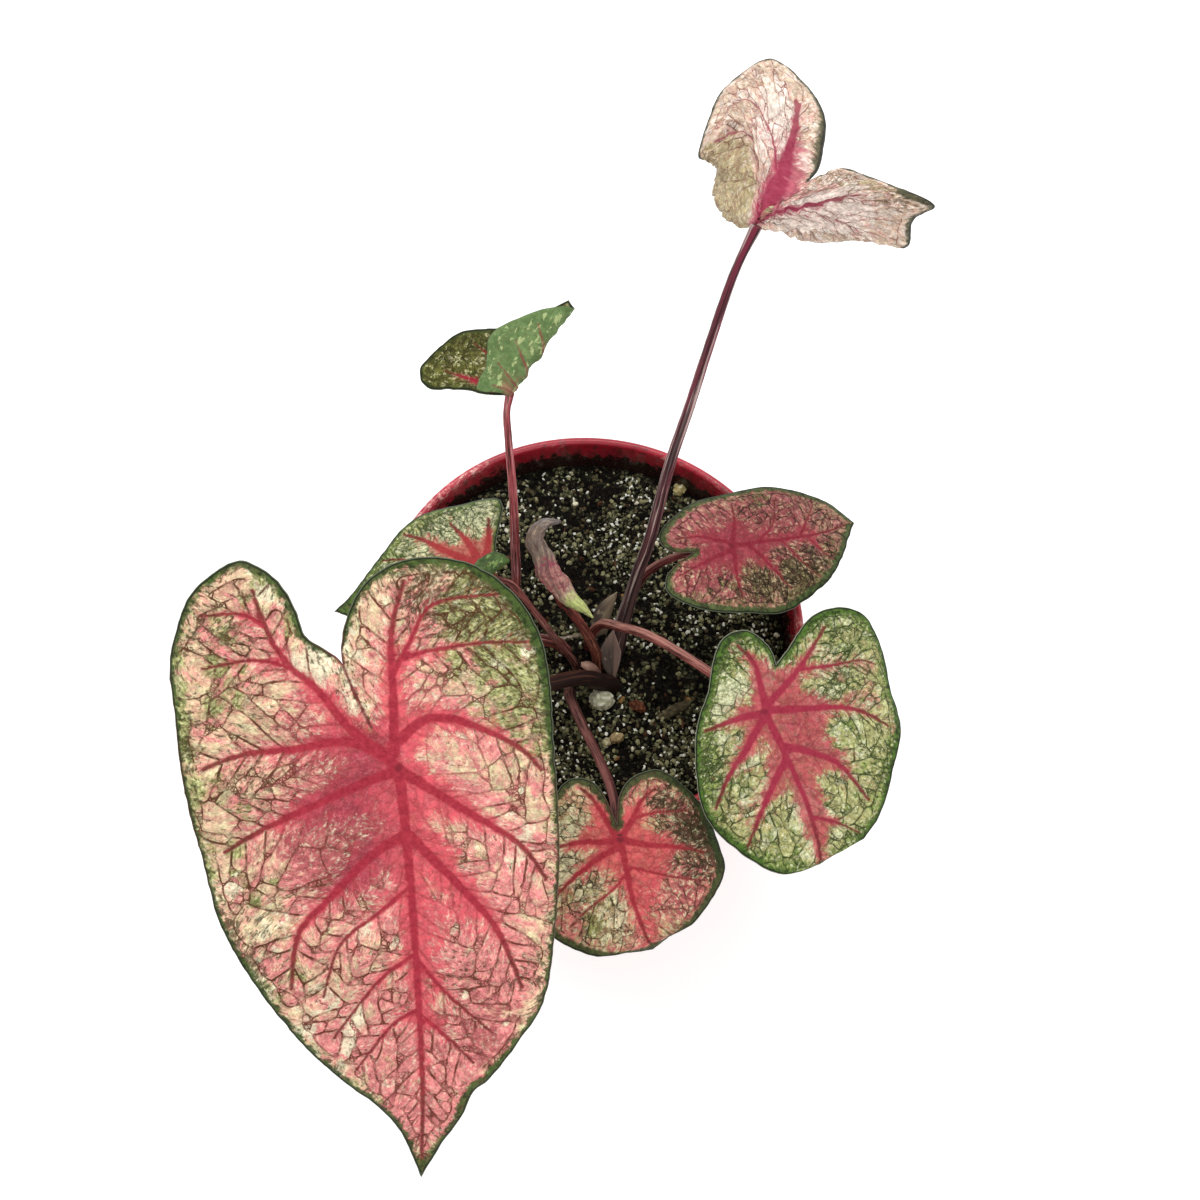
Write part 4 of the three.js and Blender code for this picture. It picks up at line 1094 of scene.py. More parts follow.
@dataclass(frozen=True)
class StalkFinish:
    """A fleshy stalk: streaked along its length in several tones, with a painted highlight on the side that
    faces the light.
    """

    name: str
    low: Colour = tone(66, 34, 30)
    high: Colour = tone(120, 54, 52)
    # pale: the stalk's pale streaks, and the painted highlight on its lit side
    pale: Colour = tone(176, 130, 118)
    dark: Colour = tone(34, 18, 18)
    pale_share: float = 0.6
    fine: float = 3.4
    thin: Span = (4.0, 0.65)
    streaks: Span = (3.0, 0.6)
    gloss_span: Span = (0.3, 0.7)
    roughness: float = 0.46
    stretch: float = 2.2
    shift: Place = (7.0, 3.0, 11.0)
    broad: Noise = (1.1, 3.0, 0.6)
    height_rise: Rise = Rise(0.2, 1.0)
    height_wander: float = 0.3
    low_rise: Rise = Rise(0.5, 0.66, last=0.5)
    lit_side_rise: Rise = Rise(0.85, 1.3)
    lit_side_wander: float = 0.9
    streak_rise: Rise = Rise(0.52, 0.6)
    streak_shift: Place = (5.0, 9.0, 2.0)
    streak_fine: float = 0.8
    dark_rise: Rise = Rise(0.51, 0.59, last=0.85)
    speck_share: float = 0.35
    gloss_low: float = 0.06
    gloss_high: float = 0.14
    specular: float = 0.16
    relief: Span = (0.35, 0.9)

    def build(self) -> bpy.types.Material:
        """The finish as a material.

        Returns:
            The material.
        """
        made, board, shader = material(self.name)
        along, lit, turn = board.reading("along"), board.reading("lit"), board.reading("round")
        angle = board.times(turn, TAU)
        spot = board.add(
            "ShaderNodeCombineXYZ",
            {
                0: board.math("COSINE", angle), 1: board.math("SINE", angle),
                2: board.times(along, self.stretch)
            }
        )
        moved = board.vector("ADD", spot.outputs[0], self.shift)
        broad, thin = board.noise(spot.outputs[0], *self.broad), board.noise(moved, self.fine, *self.thin)
        height = board.plus(along, board.times(broad, self.height_wander))
        colour = board.blend(self.height_rise.of(board, height), self.low, self.high)
        colour = board.lay(colour, self.low, self.low_rise.of(board, broad))
        # Painted highlight: the side that faces the light, by the lit attribute, is laid over with the pale
        # colour.
        side = self.lit_side_rise.of(board, board.plus(lit, board.times(thin, self.lit_side_wander)))
        colour = board.lay(colour, self.pale, side, self.pale_share)
        shifted = board.vector("ADD", moved, self.streak_shift)
        streaks = board.noise(shifted, self.fine * self.streak_fine, *self.streaks)
        streak = self.streak_rise.of(board, streaks)
        colour = board.lay(colour, self.pale, streak, self.pale_share)
        colour = board.lay(colour, self.dark, self.dark_rise.of(board, thin))
        speck = MOTTLE.use(
            board, vector=board.object_place(), size=1.2, lean=0.24, softness=0.05
        ).outputs[0]
        colour = board.lay(colour, self.dark, speck, self.speck_share)
        board.feed(shader.inputs["Base Color"], colour)
        gloss = (self.roughness - self.gloss_low, self.roughness + self.gloss_high)
        board.fill(shader, {
            "Roughness": board.ramp(thin, *self.gloss_span, gloss), "Specular IOR Level": self.specular,
            "Normal": board.bump(thin, *self.relief)
        })
        return made


@dataclass(frozen=True)
class ScrollFinish:
    """The rolled leaf: a fresh green foot, a pink band, ribbed tan tissue and a withered tip."""

    name: str = "rolled leaf"
    green: Colour = tone(192, 206, 122)
    pink: Colour = tone(158, 86, 88)
    tan: Colour = tone(112, 94, 80)
    grey: Colour = tone(112, 106, 102)
    light: Colour = tone(184, 156, 132)
    crease: Colour = tone(134, 36, 62)
    line: Colour = tone(76, 50, 44)
    roughness: float = 0.5
    stretch: float = 3.0
    wobble: float = 0.2
    wobble_noise: Noise = (0.5, 3.0)
    foot_rise: Rise = Rise(0.17, 0.25)
    pink_rise: Rise = Rise(0.22, 0.34, last=0.8)
    tan_rise: Rise = Rise(0.42, 0.56)
    grey_rise: Rise = Rise(0.72, 0.84)
    rib_noise: Noise = (3.2, 4.0, 0.6)
    light_rise: Rise = Rise(0.53, 0.63, last=0.55)
    line_rise: Rise = Rise(0.47, 0.38, last=0.75)
    slant: float = 0.02
    creases: tuple[Span, ...] = ((0.47, 0.022), (0.39, 0.013), (0.31, 0.012))
    crease_core: float = 0.2
    crease_share: float = 0.85
    net_share: float = 0.4
    seam_rise: Rise = Rise(0.95, 1.0)
    seam_share: float = 0.7
    relief: Span = (0.5, 0.9)

    def build(self) -> bpy.types.Material:
        """The finish as a material.

        Returns:
            The material.
        """
        made, board, shader = material(self.name)
        along, wind = board.reading("along"), board.times(board.reading("seam"), TAU)
        place = board.object_place()
        round_x, round_y = board.math("COSINE", wind), board.math("SINE", wind)
        spot = board.add(
            "ShaderNodeCombineXYZ", {0: round_x, 1: round_y, 2: board.times(along, self.stretch)}
        ).outputs[0]
        wobble = board.times(board.minus(board.noise(place, *self.wobble_noise), 0.5), self.wobble)
        at = board.plus(along, wobble)
        colour = board.blend(self.foot_rise.of(board, at), self.green, self.light)
        colour = board.lay(colour, self.pink, self.pink_rise.of(board, at))
        colour = board.lay(colour, self.tan, self.tan_rise.of(board, at))
        colour = board.lay(colour, self.grey, self.grey_rise.of(board, at))
        ribs = board.noise(spot, *self.rib_noise)
        colour = board.lay(colour, self.light, self.light_rise.of(board, ribs))
        colour = board.lay(colour, self.line, self.line_rise.of(board, ribs))
        for middle, width in self.creases:
            slant = board.plus(at, board.times(round_y, self.slant))
            off = board.math("ABSOLUTE", board.minus(slant, middle))
            colour = board.lay(
                colour, self.crease,
                board.smooth(off, width, width * self.crease_core, (0.0, self.crease_share))
            )
        line = NET.use(board, vector=place, size=2.2, width=0.3, swirl=1.0, breaks=0.7)
        colour = board.lay(colour, self.line, line.outputs["Line"], self.net_share)
        seam = self.seam_rise.of(board, board.reading("seam"))
        colour = board.lay(colour, self.line, seam, self.seam_share)
        board.fill(shader, {
            "Base Color": colour, "Roughness": self.roughness, "Normal": board.bump(ribs, *self.relief)
        })
        return made


@dataclass(frozen=True)
class HuskFinish:
    """A dry papery sheath with long fibres, one half painted paler as its lit half."""

    name: str
    base: Colour = tone(126, 98, 90)
    pale: Colour = tone(176, 146, 132)
    dark: Colour = tone(66, 44, 40)
    # How much paler one half of the sheath is painted, as painted light.
    lit_half: float = 0.0
    fibre_across: float = 9.0
    fibre_along: float = 1.4
    fibres: Noise = (2.0, 5.0, 0.65)
    base_rise: Rise = Rise(0.3, 0.7)
    tip_share: float = 0.8
    tip_rise: Rise = Rise(0.5, 1.0)
    pale_cloud: Cloud = Cloud(0.4, 3.0, 0.5, Rise(0.55, 0.72))
    lit_half_rise: Rise = Rise(0.52, 0.7)
    dark_rise: Rise = Rise(0.42, 0.34, last=0.6)
    roughness: float = 0.6
    relief: Span = (0.2, 0.8)

    def build(self) -> bpy.types.Material:
        """The finish as a material.

        Returns:
            The material.
        """
        made, board, shader = material(self.name)
        along, across = board.reading("along"), board.reading("across")
        fibres = board.add(
            "ShaderNodeCombineXYZ",
            {0: board.times(across, self.fibre_across), 1: board.times(along, self.fibre_along)}
        )
        grain = board.noise(fibres.outputs[0], *self.fibres)
        colour = board.blend(self.base_rise.of(board, grain), self.dark, self.base)
        colour = board.lay(colour, self.pale, self.tip_rise.of(board, along), self.tip_share)
        colour = board.lay(colour, self.pale, self.pale_cloud.of(board, board.object_place()))
        # Painted light: one half of the sheath, across its middle, is laid over with the pale colour.
        colour = board.lay(colour, self.pale, self.lit_half_rise.of(board, across), self.lit_half)
        colour = board.lay(colour, self.dark, self.dark_rise.of(board, grain))
        board.fill(shader, {
            "Base Color": colour, "Roughness": self.roughness, "Normal": board.bump(grain, *self.relief)
        })
        return made


@dataclass(frozen=True)
class PlasticFinish:
    """The glossy red plastic of the pot, with dust and splashes of peat on its inside, painted shade down
    the inner wall, painted light towards the lip, and pale lip streaks that are partly scuffs and partly
    painted highlights.
    """

    name: str = "red plastic"
    base: Colour = tone(156, 22, 42)
    bright: Colour = tone(188, 40, 60)
    # The dust smears on the inner wall, and the painted shade that deepens down it.
    dust_and_shade: Colour = tone(66, 34, 30)
    stain: Colour = tone(26, 18, 15)
    # The pale pink of the lip's streaks: partly scuffs, partly painted highlights of the gloss.
    scuff_and_highlight: Colour = tone(240, 190, 180)
    spatter: Colour = tone(40, 28, 22)
    cloud: Cloud = Cloud(0.03, 3.0, 0.5, Rise(0.35, 0.65))
    # Painted light: the bright cloud shows more towards the lip.
    lip_light_rise: Rise = Rise(98.0, 113.0, 0.25, 1.0)
    smear: Noise = (0.16, 5.0, 0.65)
    smear_stretch: Place = (1.0, 1.0, 0.35)
    smear_rise: Rise = Rise(0.52, 0.7)
    smear_share: float = 0.75
    speck_lean: float = 0.3
    speck_share: float = 0.7
    ragged: float = 16.0
    ragged_noise: Noise = (0.35, 5.0, 0.7)
    shadow_rise: Rise = Rise(115.0, 105.5, last=0.6)
    soiled_rise: Rise = Rise(109.0, 106.6)
    soiled_share: float = 0.95
    scuff_and_highlight_noise: Noise = (0.45, 5.0, 0.75)
    scuff_and_highlight_stretch: Place = (1.0, 1.0, 3.0)
    scuff_and_highlight_rise: Rise = Rise(0.5, 0.6)
    lip_rise: Rise = Rise(110.5, 114.6)
    scuff_and_highlight_cloud: Cloud = Cloud(0.035, 2.0, 0.5, Rise(0.46, 0.58))
    scuff_and_highlight_share: float = 0.7
    gloss: Cloud = Cloud(0.12, 4.0, 0.6, Rise(0.35, 0.7, 0.17, 0.34, straight=True))
    speck_rough: float = 0.3
    coat: float = 0.15
    coat_roughness: float = 0.12
    relief: Span = (0.05, 0.5)
    relief_noise: Noise = (0.9, 3.0)

    def build(self) -> bpy.types.Material:
        """The finish as a material.

        Returns:
            The material.
        """
        made, board, shader = material(self.name)
        place = board.object_place()
        inner = board.reading("inner")
        level = board.add("ShaderNodeSeparateXYZ", {0: place}).outputs["Z"]
        cloud = self.cloud.of(board, place)
        # Painted light: the pot turns lighter towards the lip; the cloud itself is random tone.
        cloud = board.times(cloud, self.lip_light_rise.of(board, level))
        colour = board.blend(cloud, self.base, self.bright)
        smear = board.noise(board.vector("MULTIPLY", place, self.smear_stretch), *self.smear)
        colour = board.lay(
            colour, self.dust_and_shade, self.smear_rise.of(board, smear), board.times(inner, self.smear_share)
        )
        speck = MOTTLE.use(
            board, vector=place, size=1.6, lean=board.times(inner, self.speck_lean), softness=0.02
        ).outputs[0]
        colour = board.lay(colour, self.spatter, speck, self.speck_share)
        ragged = board.plus(
            level, board.times(board.minus(board.noise(place, *self.ragged_noise), 0.5), self.ragged)
        )
        # Painted shade: the inner wall darkens from the lip down towards the peat.
        shadow = board.times(self.shadow_rise.of(board, ragged), inner)
        colour = board.lay(colour, self.dust_and_shade, shadow)
        soiled = board.times(self.soiled_rise.of(board, ragged), inner)
        colour = board.lay(colour, self.stain, soiled, self.soiled_share)
        # Pale streaks on the lip: partly scuffs, partly painted highlights.
        scuff_and_highlight_noise = board.noise(board.vector("MULTIPLY", place, self.scuff_and_highlight_stretch), *self.scuff_and_highlight_noise)
        scuff_and_highlight = board.times(self.scuff_and_highlight_rise.of(board, scuff_and_highlight_noise), self.lip_rise.of(board, level))
        scuff_and_highlight = board.times(scuff_and_highlight, self.scuff_and_highlight_cloud.of(board, place))
        colour = board.lay(colour, self.scuff_and_highlight, scuff_and_highlight, self.scuff_and_highlight_share)
        board.feed(shader.inputs["Base Color"], colour)
        rough = self.gloss.of(board, place)
        board.fill(shader, {
            "Roughness": board.plus(rough, board.times(speck, self.speck_rough)),
            "Coat Weight": self.coat, "Coat Roughness": self.coat_roughness,
            "Normal": board.bump(board.noise(place, *self.relief_noise), *self.relief)
        })
        return made


@dataclass(frozen=True)
class PeatFinish:
    """Damp peat: almost black, with pale crumbs, a thin green crust and painted shade in the gaps between
    crumbs.
    """

    name: str = "peat"
    base: Colour = tone(14, 11, 9)
    brown: Colour = tone(40, 32, 22)
    crust: Colour = tone(120, 120, 88)
    # gaps: the painted shade in the crevices between crumbs.
    gaps: Colour = tone(8, 6, 5)
    brown_cloud: Cloud = Cloud(0.5, 4.0, 0.65, Rise(0.4, 0.7))
    crumb_rise: Rise = Rise(0.62, 0.72)
    crust_share: float = 0.7
    crevice_shade_share: float = 0.8
    sunk: float = 0.5
    roughness: float = 0.86
    specular: float = 0.1
    relief_noise: Noise = (1.1, 5.0, 0.7)
    relief: Span = (0.9, 0.9)

    def build(self) -> bpy.types.Material:
        """The finish as a material.

        Returns:
            The material.
        """
        made, board, shader = material(self.name)
        place = board.object_place()
        crumbs = NET.use(board, vector=place, size=1.5, width=0.3, swirl=0.8, breaks=0.0)
        colour = board.blend(self.brown_cloud.of(board, place), self.base, self.brown)
        crust = MOTTLE.use(board, vector=place, size=14.0, lean=0.5, softness=0.1).outputs[0]
        pale = board.times(self.crumb_rise.of(board, crumbs.outputs["Cell"]), crust)
        colour = board.lay(colour, self.crust, pale, self.crust_share)
        # Painted shade: the lines between crumbs are darkened.
        colour = board.lay(colour, self.gaps, crumbs.outputs["Line"], self.crevice_shade_share)
        board.fill(shader, {
            "Base Color": colour, "Roughness": self.roughness, "Specular IOR Level": self.specular
        })
        depth = board.minus(
            board.noise(place, *self.relief_noise), board.times(crumbs.outputs["Line"], self.sunk)
        )
        board.feed(shader.inputs["Normal"], board.bump(depth, *self.relief))
        return made


@dataclass(frozen=True)
class GrainFinish:
    """Loose grains, each of its own tint."""

    name: str
    low: Colour
    high: Colour
    odd: Colour
    odd_share: float = 0.12
    roughness: float = 0.8
    tint_power: float = 1.5
    odd_core: float = 0.8
    low_cloud: Cloud = Cloud(2.2, 4.0, 0.7, Rise(0.35, 0.7, last=0.5, straight=True))
    specular: float = 0.15
    relief: Span = (0.2, 0.8)
    relief_noise: Noise = (3.0, 3.0)

    def build(self) -> bpy.types.Material:
        """The finish as a material.

        Returns:
            The material.
        """
        made, board, shader = material(self.name)
        tint = board.reading("tint")
        place = board.object_place()
        colour = board.blend(board.math("POWER", tint, self.tint_power), self.low, self.high)
        colour = board.lay(
            colour, self.odd, board.smooth(tint, 1.0 - self.odd_share, 1.0 - self.odd_share * self.odd_core)
        )
        colour = board.lay(colour, self.low, self.low_cloud.of(board, place))
        board.fill(shader, {
            "Base Color": colour, "Roughness": self.roughness, "Specular IOR Level": self.specular,
            "Normal": board.bump(board.noise(place, *self.relief_noise), *self.relief)
        })
        return made


@dataclass(frozen=True)
class StudioFinish:
    """The plain pale floor."""

    name: str = "pale floor"
    base: Colour = (0.86, 0.86, 0.86, 1.0)
    bright: Colour = (0.93, 0.93, 0.93, 1.0)
    lift: float = 0.4
    cloud: Noise = (0.002, 2.0)
    cloud_share: float = 0.03
    roughness: float = 0.9

    def build(self) -> bpy.types.Material:
        """The finish as a material.

        Returns:
            The material.
        """
        made, board, shader = material(self.name)
        shade = board.noise(board.object_place(), *self.cloud)
        board.fill(shader, {
            "Base Color": board.blend(board.times(shade, self.cloud_share), self.base, self.bright),
            "Roughness": self.roughness, "Emission Color": self.base, "Emission Strength": self.lift
        })
        return made


# ---------------------------------------------------------------- leaf surfaces


class Tint(Enum):
    """What a patch of a leaf leans towards."""

    BLUSH = "blush"
    CREAM = "cream"
    GREEN = "green"
    DARK = "dark"
    BORDER = "border"
    HEAT = "spread"
    ROSE = "rose"


@dataclass(frozen=True)
class Patch:
    """A soft patch on the flat leaf."""

    tint: Tint
    u: float
    v: float
    radius: float
    strength: float


@dataclass(frozen=True)
class Curl:
    """A line on the flat leaf, beyond which the sheet winds down, or up where the turn is negative."""

    at: Span
    toward: float
    radius: float
    turn: float

    def bend(self, places: Array) -> Array:
        """Wind the places that lie beyond the line.

        Args:
            places: The sheet's points, one a row.

        Returns:
            The points where the winding brings them.
        """
        ahead = np.array([math.cos(math.radians(self.toward)), math.sin(math.radians(self.toward))])
        beside = np.array([-ahead[1], ahead[0]])
        start = places[:, :2] - np.array(self.at)
        s, t = start @ ahead, start @ beside
        way = math.copysign(1.0, self.turn)
        angle = np.clip(s / self.radius, 0, abs(math.radians(self.turn)))
        rest = s - self.radius * angle
        lift = places[:, 2] * way
        reach = self.radius * np.sin(angle) + rest * np.cos(angle) + lift * np.sin(angle)
        rise = -self.radius * (1 - np.cos(angle)) - rest * np.sin(angle) + lift * np.cos(angle)
        flat = np.array(self.at) + reach[:, None] * ahead + t[:, None] * beside
        wound = np.column_stack([flat, rise * way])
        return np.where((s > 0)[:, None], wound, places)


class Sheet(ABC):
    """A leaf's middle surface: it takes the flat drawing to the pot's frame."""

    @abstractmethod
    def place(self, flat: Array) -> Array:
        """The places of flat points, in millimetres."""

    def normal(self, flat: Array, reach: float = 0.4) -> Array:
        """The directions out of the upper face at flat points.

        Args:
            flat: Flat points, one a row.
            reach: Half the distance that the slope is taken over.

        Returns:
            One direction for each point.
        """
        du = self.place(flat + [reach, 0]) - self.place(flat - [reach, 0])
        dv = self.place(flat + [0, reach]) - self.place(flat - [0, reach])
        out = np.cross(du, dv)
        return out / np.linalg.norm(out, axis=1, keepdims=True)


@dataclass
class RelaxedSheet(Sheet):
    """A blade that keeps its shape, hung at its joint by three angles in degrees."""

    joint: Place
    tip: float
    tilt: float
    bank: float
    length: float
    half_width: float
    droop: float
    sag: float
    lobe_sag: float
    wave: tuple[float, int, float]
    curls: tuple[Curl, ...] = ()

    def axes(self) -> Array:
        """The directions across, along and out of the leaf, one a row.

        Returns:
            The directions across, along and out of the sheet.
        """
        tip, tilt, bank = map(math.radians, (self.tip, self.tilt, self.bank))
        level, up = np.array([math.cos(tip), math.sin(tip), 0]), np.array([0, 0, 1])
        to_tip = level * math.cos(tilt) - up * math.sin(tilt)
        face = level * math.sin(tilt) + up * math.cos(tilt)
        side = np.cross(face, to_tip)
        across = side * math.cos(bank) + face * math.sin(bank)
        return np.stack([across, -to_tip, face * math.cos(bank) - side * math.sin(bank)])

    def relief(self, flat: Array) -> Array:
        """The height of the hanging tip and sides and of the waved margin.

        Args:
            flat: Flat points, one a row.

        Returns:
            One height for each point.
        """
        u, v = flat.T
        height, count, phase = self.wave
        tip_way, lobe_way = np.minimum(v, 0) / self.length, np.maximum(v, 0) / self.length
        side_way = u / self.half_width
        edge = np.minimum(np.hypot(side_way, v / self.length), WAVE_LIMIT)
        wave = height * np.sin(count * np.arctan2(u, v) + phase) * edge**3
        return -self.droop * tip_way**2 - self.lobe_sag * lobe_way**2 - self.sag * side_way**2 + wave

    def place(self, flat: Array) -> Array:
        """The places of flat points, in millimetres.

        Args:
            flat: Flat points, one a row.

        Returns:
            One place in space for each point.
        """
        places = np.column_stack([flat, self.relief(flat)])
        for curl in self.curls:
            places = curl.bend(places)
        return np.array(self.joint) + places @ self.axes()


@dataclass
class WiltedSheet(Sheet):
    """A collapsed blade that hangs over rays from its joint: angle, length, middle and end of each."""

    joint: Place
    rays: tuple[tuple[float, float, tuple[float, ...], tuple[float, ...]], ...]

    def ring(self, angle: Array) -> Array:
        """Each ray's numbers at angles between the rays, smoothly joined round the joint.

        Args:
            angle: Angles round the joint, in degrees.

        Returns:
            A row of numbers for each angle.
        """
        n = len(self.rays)
        angles = np.array([ray[0] for ray in self.rays])
        values = np.array([[ray[1], *ray[2], *ray[3]] for ray in self.rays])
        k = np.searchsorted(angles, angle, side="right") - 1

        def at(i: Array) -> tuple[Array, Array]:
            """The angle and the numbers of rays counted on past a full turn."""
            lap = np.floor_divide(i, n)
            return angles[i - lap * n] + 360 * lap, values[i - lap * n]

        (a0, v0), (a1, v1), (a2, v2), (a3, v3) = (at(k + i) for i in (-1, 0, 1, 2))
        span = a2 - a1
        t = ((angle - a1) / span)[:, None]
        m1 = (v2 - v0) * (span / (a2 - a0))[:, None]
        m2 = (v3 - v1) * (span / (a3 - a1))[:, None]
        start = (2 * t**3 - 3 * t**2 + 1) * v1 + (t**3 - 2 * t**2 + t) * m1
        return start + (3 * t**2 - 2 * t**3) * v2 + (t**3 - t**2) * m2

    def place(self, flat: Array) -> Array:
        """The places of flat points, in millimetres.

        Args:
            flat: Flat points, one a row.

        Returns:
            One place in space for each point.
        """
        u, v = flat.T
        numbers = self.ring(np.degrees(np.arctan2(u, v)) % 360)
        r = (np.hypot(u, v) / numbers[:, 0])[:, None]
        joint, middle, end = np.array(self.joint), numbers[:, 1:4], numbers[:, 4:]
        return joint * (1 - r) * (1 - 2 * r) + middle * 4 * r * (1 - r) + end * r * (2 * r - 1)

    def margin(self, notch: Span) -> tuple[list[Span], list[Span]]:
        """The left and right margins through the rays' ends, from the bottom of the sinus to the tip.

        Args:
            notch: The bottom of the sinus.

        Returns:
            The left and the right margin.
        """
        turned = [(math.radians(ray[0]), ray[1]) for ray in self.rays]
        ends = [(length * math.sin(turn), length * math.cos(turn)) for turn, length in turned]
        tip = next(k for k, ray in enumerate(self.rays) if ray[0] > 180)
        return [notch, *reversed(ends[tip:])], [notch, *ends[: tip + 1]]


# ---------------------------------------------------------------- leaves


@dataclass(frozen=True)
class Sprouting:
    """A round of side veins: their gap and angle on the vein they leave, their bends and half widths."""

    gap: float
    angle: float
    wander: float
    width: Span
    keep: float = 1.0
    lean: float = 0.0
    length: int = 45


@dataclass
class VeinGraph:
    """The veins of a leaf as places joined by edges."""

    seed: int = 7
    step: float = 1.1
    places: Array = field(default_factory=lambda: np.zeros((0, 2)))
    width: list[float] = field(default_factory=list)
    far: list[float] = field(default_factory=list)
    edges: list[tuple[int, int]] = field(default_factory=list)
    chains: list[list[int]] = field(default_factory=list)
    thick: int = 0
    angle_spread: float = 12
    first_gap: Span = (0.4, 1.0)
    gap_spread: Span = (0.7, 1.3)
    joining: float = 0.85
    root_clear: float = 2.2
    end_clear: float = 1.5
    taper: int = 14
    joined: float = 2.5
    clear_of_veins: float = 0.8
    collector_wave: Span = (0.45, 11.0)
    collector_breaks: Span = (16.0, -0.25)

    def add_line(self, line: Array, width: Array, far: Array, anchor: float = 0.0) -> None:
        """Add a drawn vein.

        Args:
            line: Its places.
            width: Its half width at each place.
            far: How far out each place lies, from 0 to 1.
            anchor: How far away another vein may be for its start to join it.
        """
        base, count = len(self.places), len(line)
        if base:
            gap = np.hypot(*(self.places - line[0]).T)
            if gap.min() < anchor:
                self.edges.append((int(gap.argmin()), base))
        self.places = np.vstack([self.places, line])
        self.width += list(width)
        self.far += list(far)
        self.edges += [(base + i, base + i + 1) for i in range(count - 1)]
        self.chains.append(list(range(base, base + count)))

    def add_collector(self, outline: Array, inset: float, width: float) -> None:
        """Add the collecting vein that runs along inside the margin.

        Args:
            outline: The leaf's closed margin.
            inset: How far inside it the vein runs.
            width: The vein's half width.
        """
        ahead = np.roll(outline, -2, axis=0) - np.roll(outline, 2, axis=0)
        inward = np.column_stack([-ahead[:, 1], ahead[:, 0]]) / np.linalg.norm(ahead, axis=1, keepdims=True)
        if not inside((outline + inward * PROBE)[:1], outline)[0]:
            inward = -inward
        height, length = self.collector_wave
        line = outline + inward * (inset * (1 + height * ripple(outline, length, self.seed)))[:, None]
        keep = inside(line, outline) & (nearest(outline, line)[0] > inset * 0.5)
        keep &= nearest(self.places, line)[0] > self.clear_of_veins
        length, level = self.collector_breaks
        keep &= ripple(outline, length, self.seed + BREAK_SEED) > level
        kept = np.flatnonzero(keep)
        for run in np.split(kept, np.flatnonzero(np.diff(kept) > 1) + 1):
            if len(run) > 3:
                part = even(line[run], self.step)
                self.add_line(part, np.full(len(part), width), np.ones(len(part)), self.joined)

    def sprout(self, outline: Array, chains: Sequence[list[int]], kind: Sprouting) -> list[list[int]]:
        """Let side veins leave the given veins and run on until each meets another one.

        Args:
            outline: The closed margin.
            chains: The veins that they leave.
            kind: The numbers of this round.

        Returns:
            The new veins.
        """
        rng = np.random.default_rng(self.seed + len(self.places))
        running = []
        for chain in chains:
            spot = kind.gap * rng.uniform(*self.first_gap)
            while spot < (len(chain) - self.end_clear) * self.step:
                k = min(max(int(spot / self.step), 1), len(chain) - 2)
                ahead = self.places[chain[k + 1]] - self.places[chain[k - 1]]
                ahead /= max(np.linalg.norm(ahead), TINY)
                for side in (-1, 1):
                    if rng.uniform() < kind.keep:
                        turn = side * math.radians(
                            kind.angle + rng.uniform(-self.angle_spread, self.angle_spread)
                        )
                        way = np.array([
                            ahead[0] * math.cos(turn) - ahead[1] * math.sin(turn),
                            ahead[0] * math.sin(turn) + ahead[1] * math.cos(turn),
                        ])
                        running.append(([chain[k]], way, ahead))
                spot += kind.gap * rng.uniform(*self.gap_spread)
        made = []
        while running:
            still = []
            ways = np.array(
                [way for _, way, _ in running]
            ) + kind.wander * rng.normal(size=(len(running), 2))
            ways += kind.lean * np.array([ahead for _, _, ahead in running])
            ways /= np.linalg.norm(ways, axis=1, keepdims=True)
            ends = self.places[[chain[-1] for chain, _, _ in running]] + ways * self.step
            within = inside(ends, outline)
            for (chain, _, ahead), way, place, held in zip(running, ways, ends, within):
                gap = np.hypot(*(self.places - place).T)
                gap[chain[-3:]] = np.inf
                if len(chain) < 3:
                    from_root = np.hypot(*(self.places - self.places[chain[0]]).T)
                    gap[from_root < self.root_clear * self.step] = np.inf
                hit = int(gap.argmin())
                if gap[hit] < self.step * self.joining:
                    self.edges.append((chain[-1], hit))
                    made.append(chain)
                    continue
                if len(chain) > kind.length or not held:
                    made.append(chain)
                    continue
                fresh = len(self.places)
                self.places = np.vstack([self.places, place])
                share = min(len(chain) / self.taper, 1.0)
                self.width.append(kind.width[0] + (kind.width[1] - kind.width[0]) * share)
                self.far.append(1.0)
                self.edges.append((chain[-1], fresh))
                still.append(([*chain, fresh], way, ahead))
            running = still
        made = [chain for chain in made if len(chain) > 2]
        self.chains += made
        return made

    def relax(self, turns: int) -> None:
        """Draw the thin veins smooth, as each place moves towards the middle of its neighbours.

        Args:
            turns: How many times every place moves.
        """
        a, b = np.array(self.edges).T
        for _ in range(turns):
            total, count = np.zeros_like(self.places), np.zeros(len(self.places))
            for one, other in ((a, b), (b, a)):
                np.add.at(total, one, self.places[other])
                np.add.at(count, one, 1)
            moving = (count > 1) & (np.arange(len(count)) >= self.thick)
            self.places[moving] = 0.5 * self.places[moving] + 0.5 * total[moving] / count[moving, None]


def areoles(triangles: Array, walls: set[tuple[int, int]]) -> Array:
    """The number of the cell that each triangle lies in, where walls part the cells.

    Args:
        triangles: Point indices, one triangle a row.
        walls: Edges that part two cells, as sorted pairs.

    Returns:
        The cell's number of each triangle.
    """
    sides: dict[tuple[int, int], list[int]] = {}
    for k, (a, b, c) in enumerate(triangles.tolist()):
        for p, q in ((a, b), (b, c), (c, a)):
            edge = (p, q) if p < q else (q, p)
            if edge not in walls:
                sides.setdefault(edge, []).append(k)
    links: list[list[int]] = [[] for _ in triangles]
    for pair in sides.values():
        if len(pair) == 2:
            links[pair[0]].append(pair[1])
            links[pair[1]].append(pair[0])
    label = np.full(len(triangles), -1)
    count = 0
    for start in range(len(triangles)):
        if label[start] >= 0:
            continue
        stack = [start]
        label[start] = count
        while stack:
            for other in links[stack.pop()]:
                if label[other] < 0:
                    label[other] = count
                    stack.append(other)
        count += 1
    return label


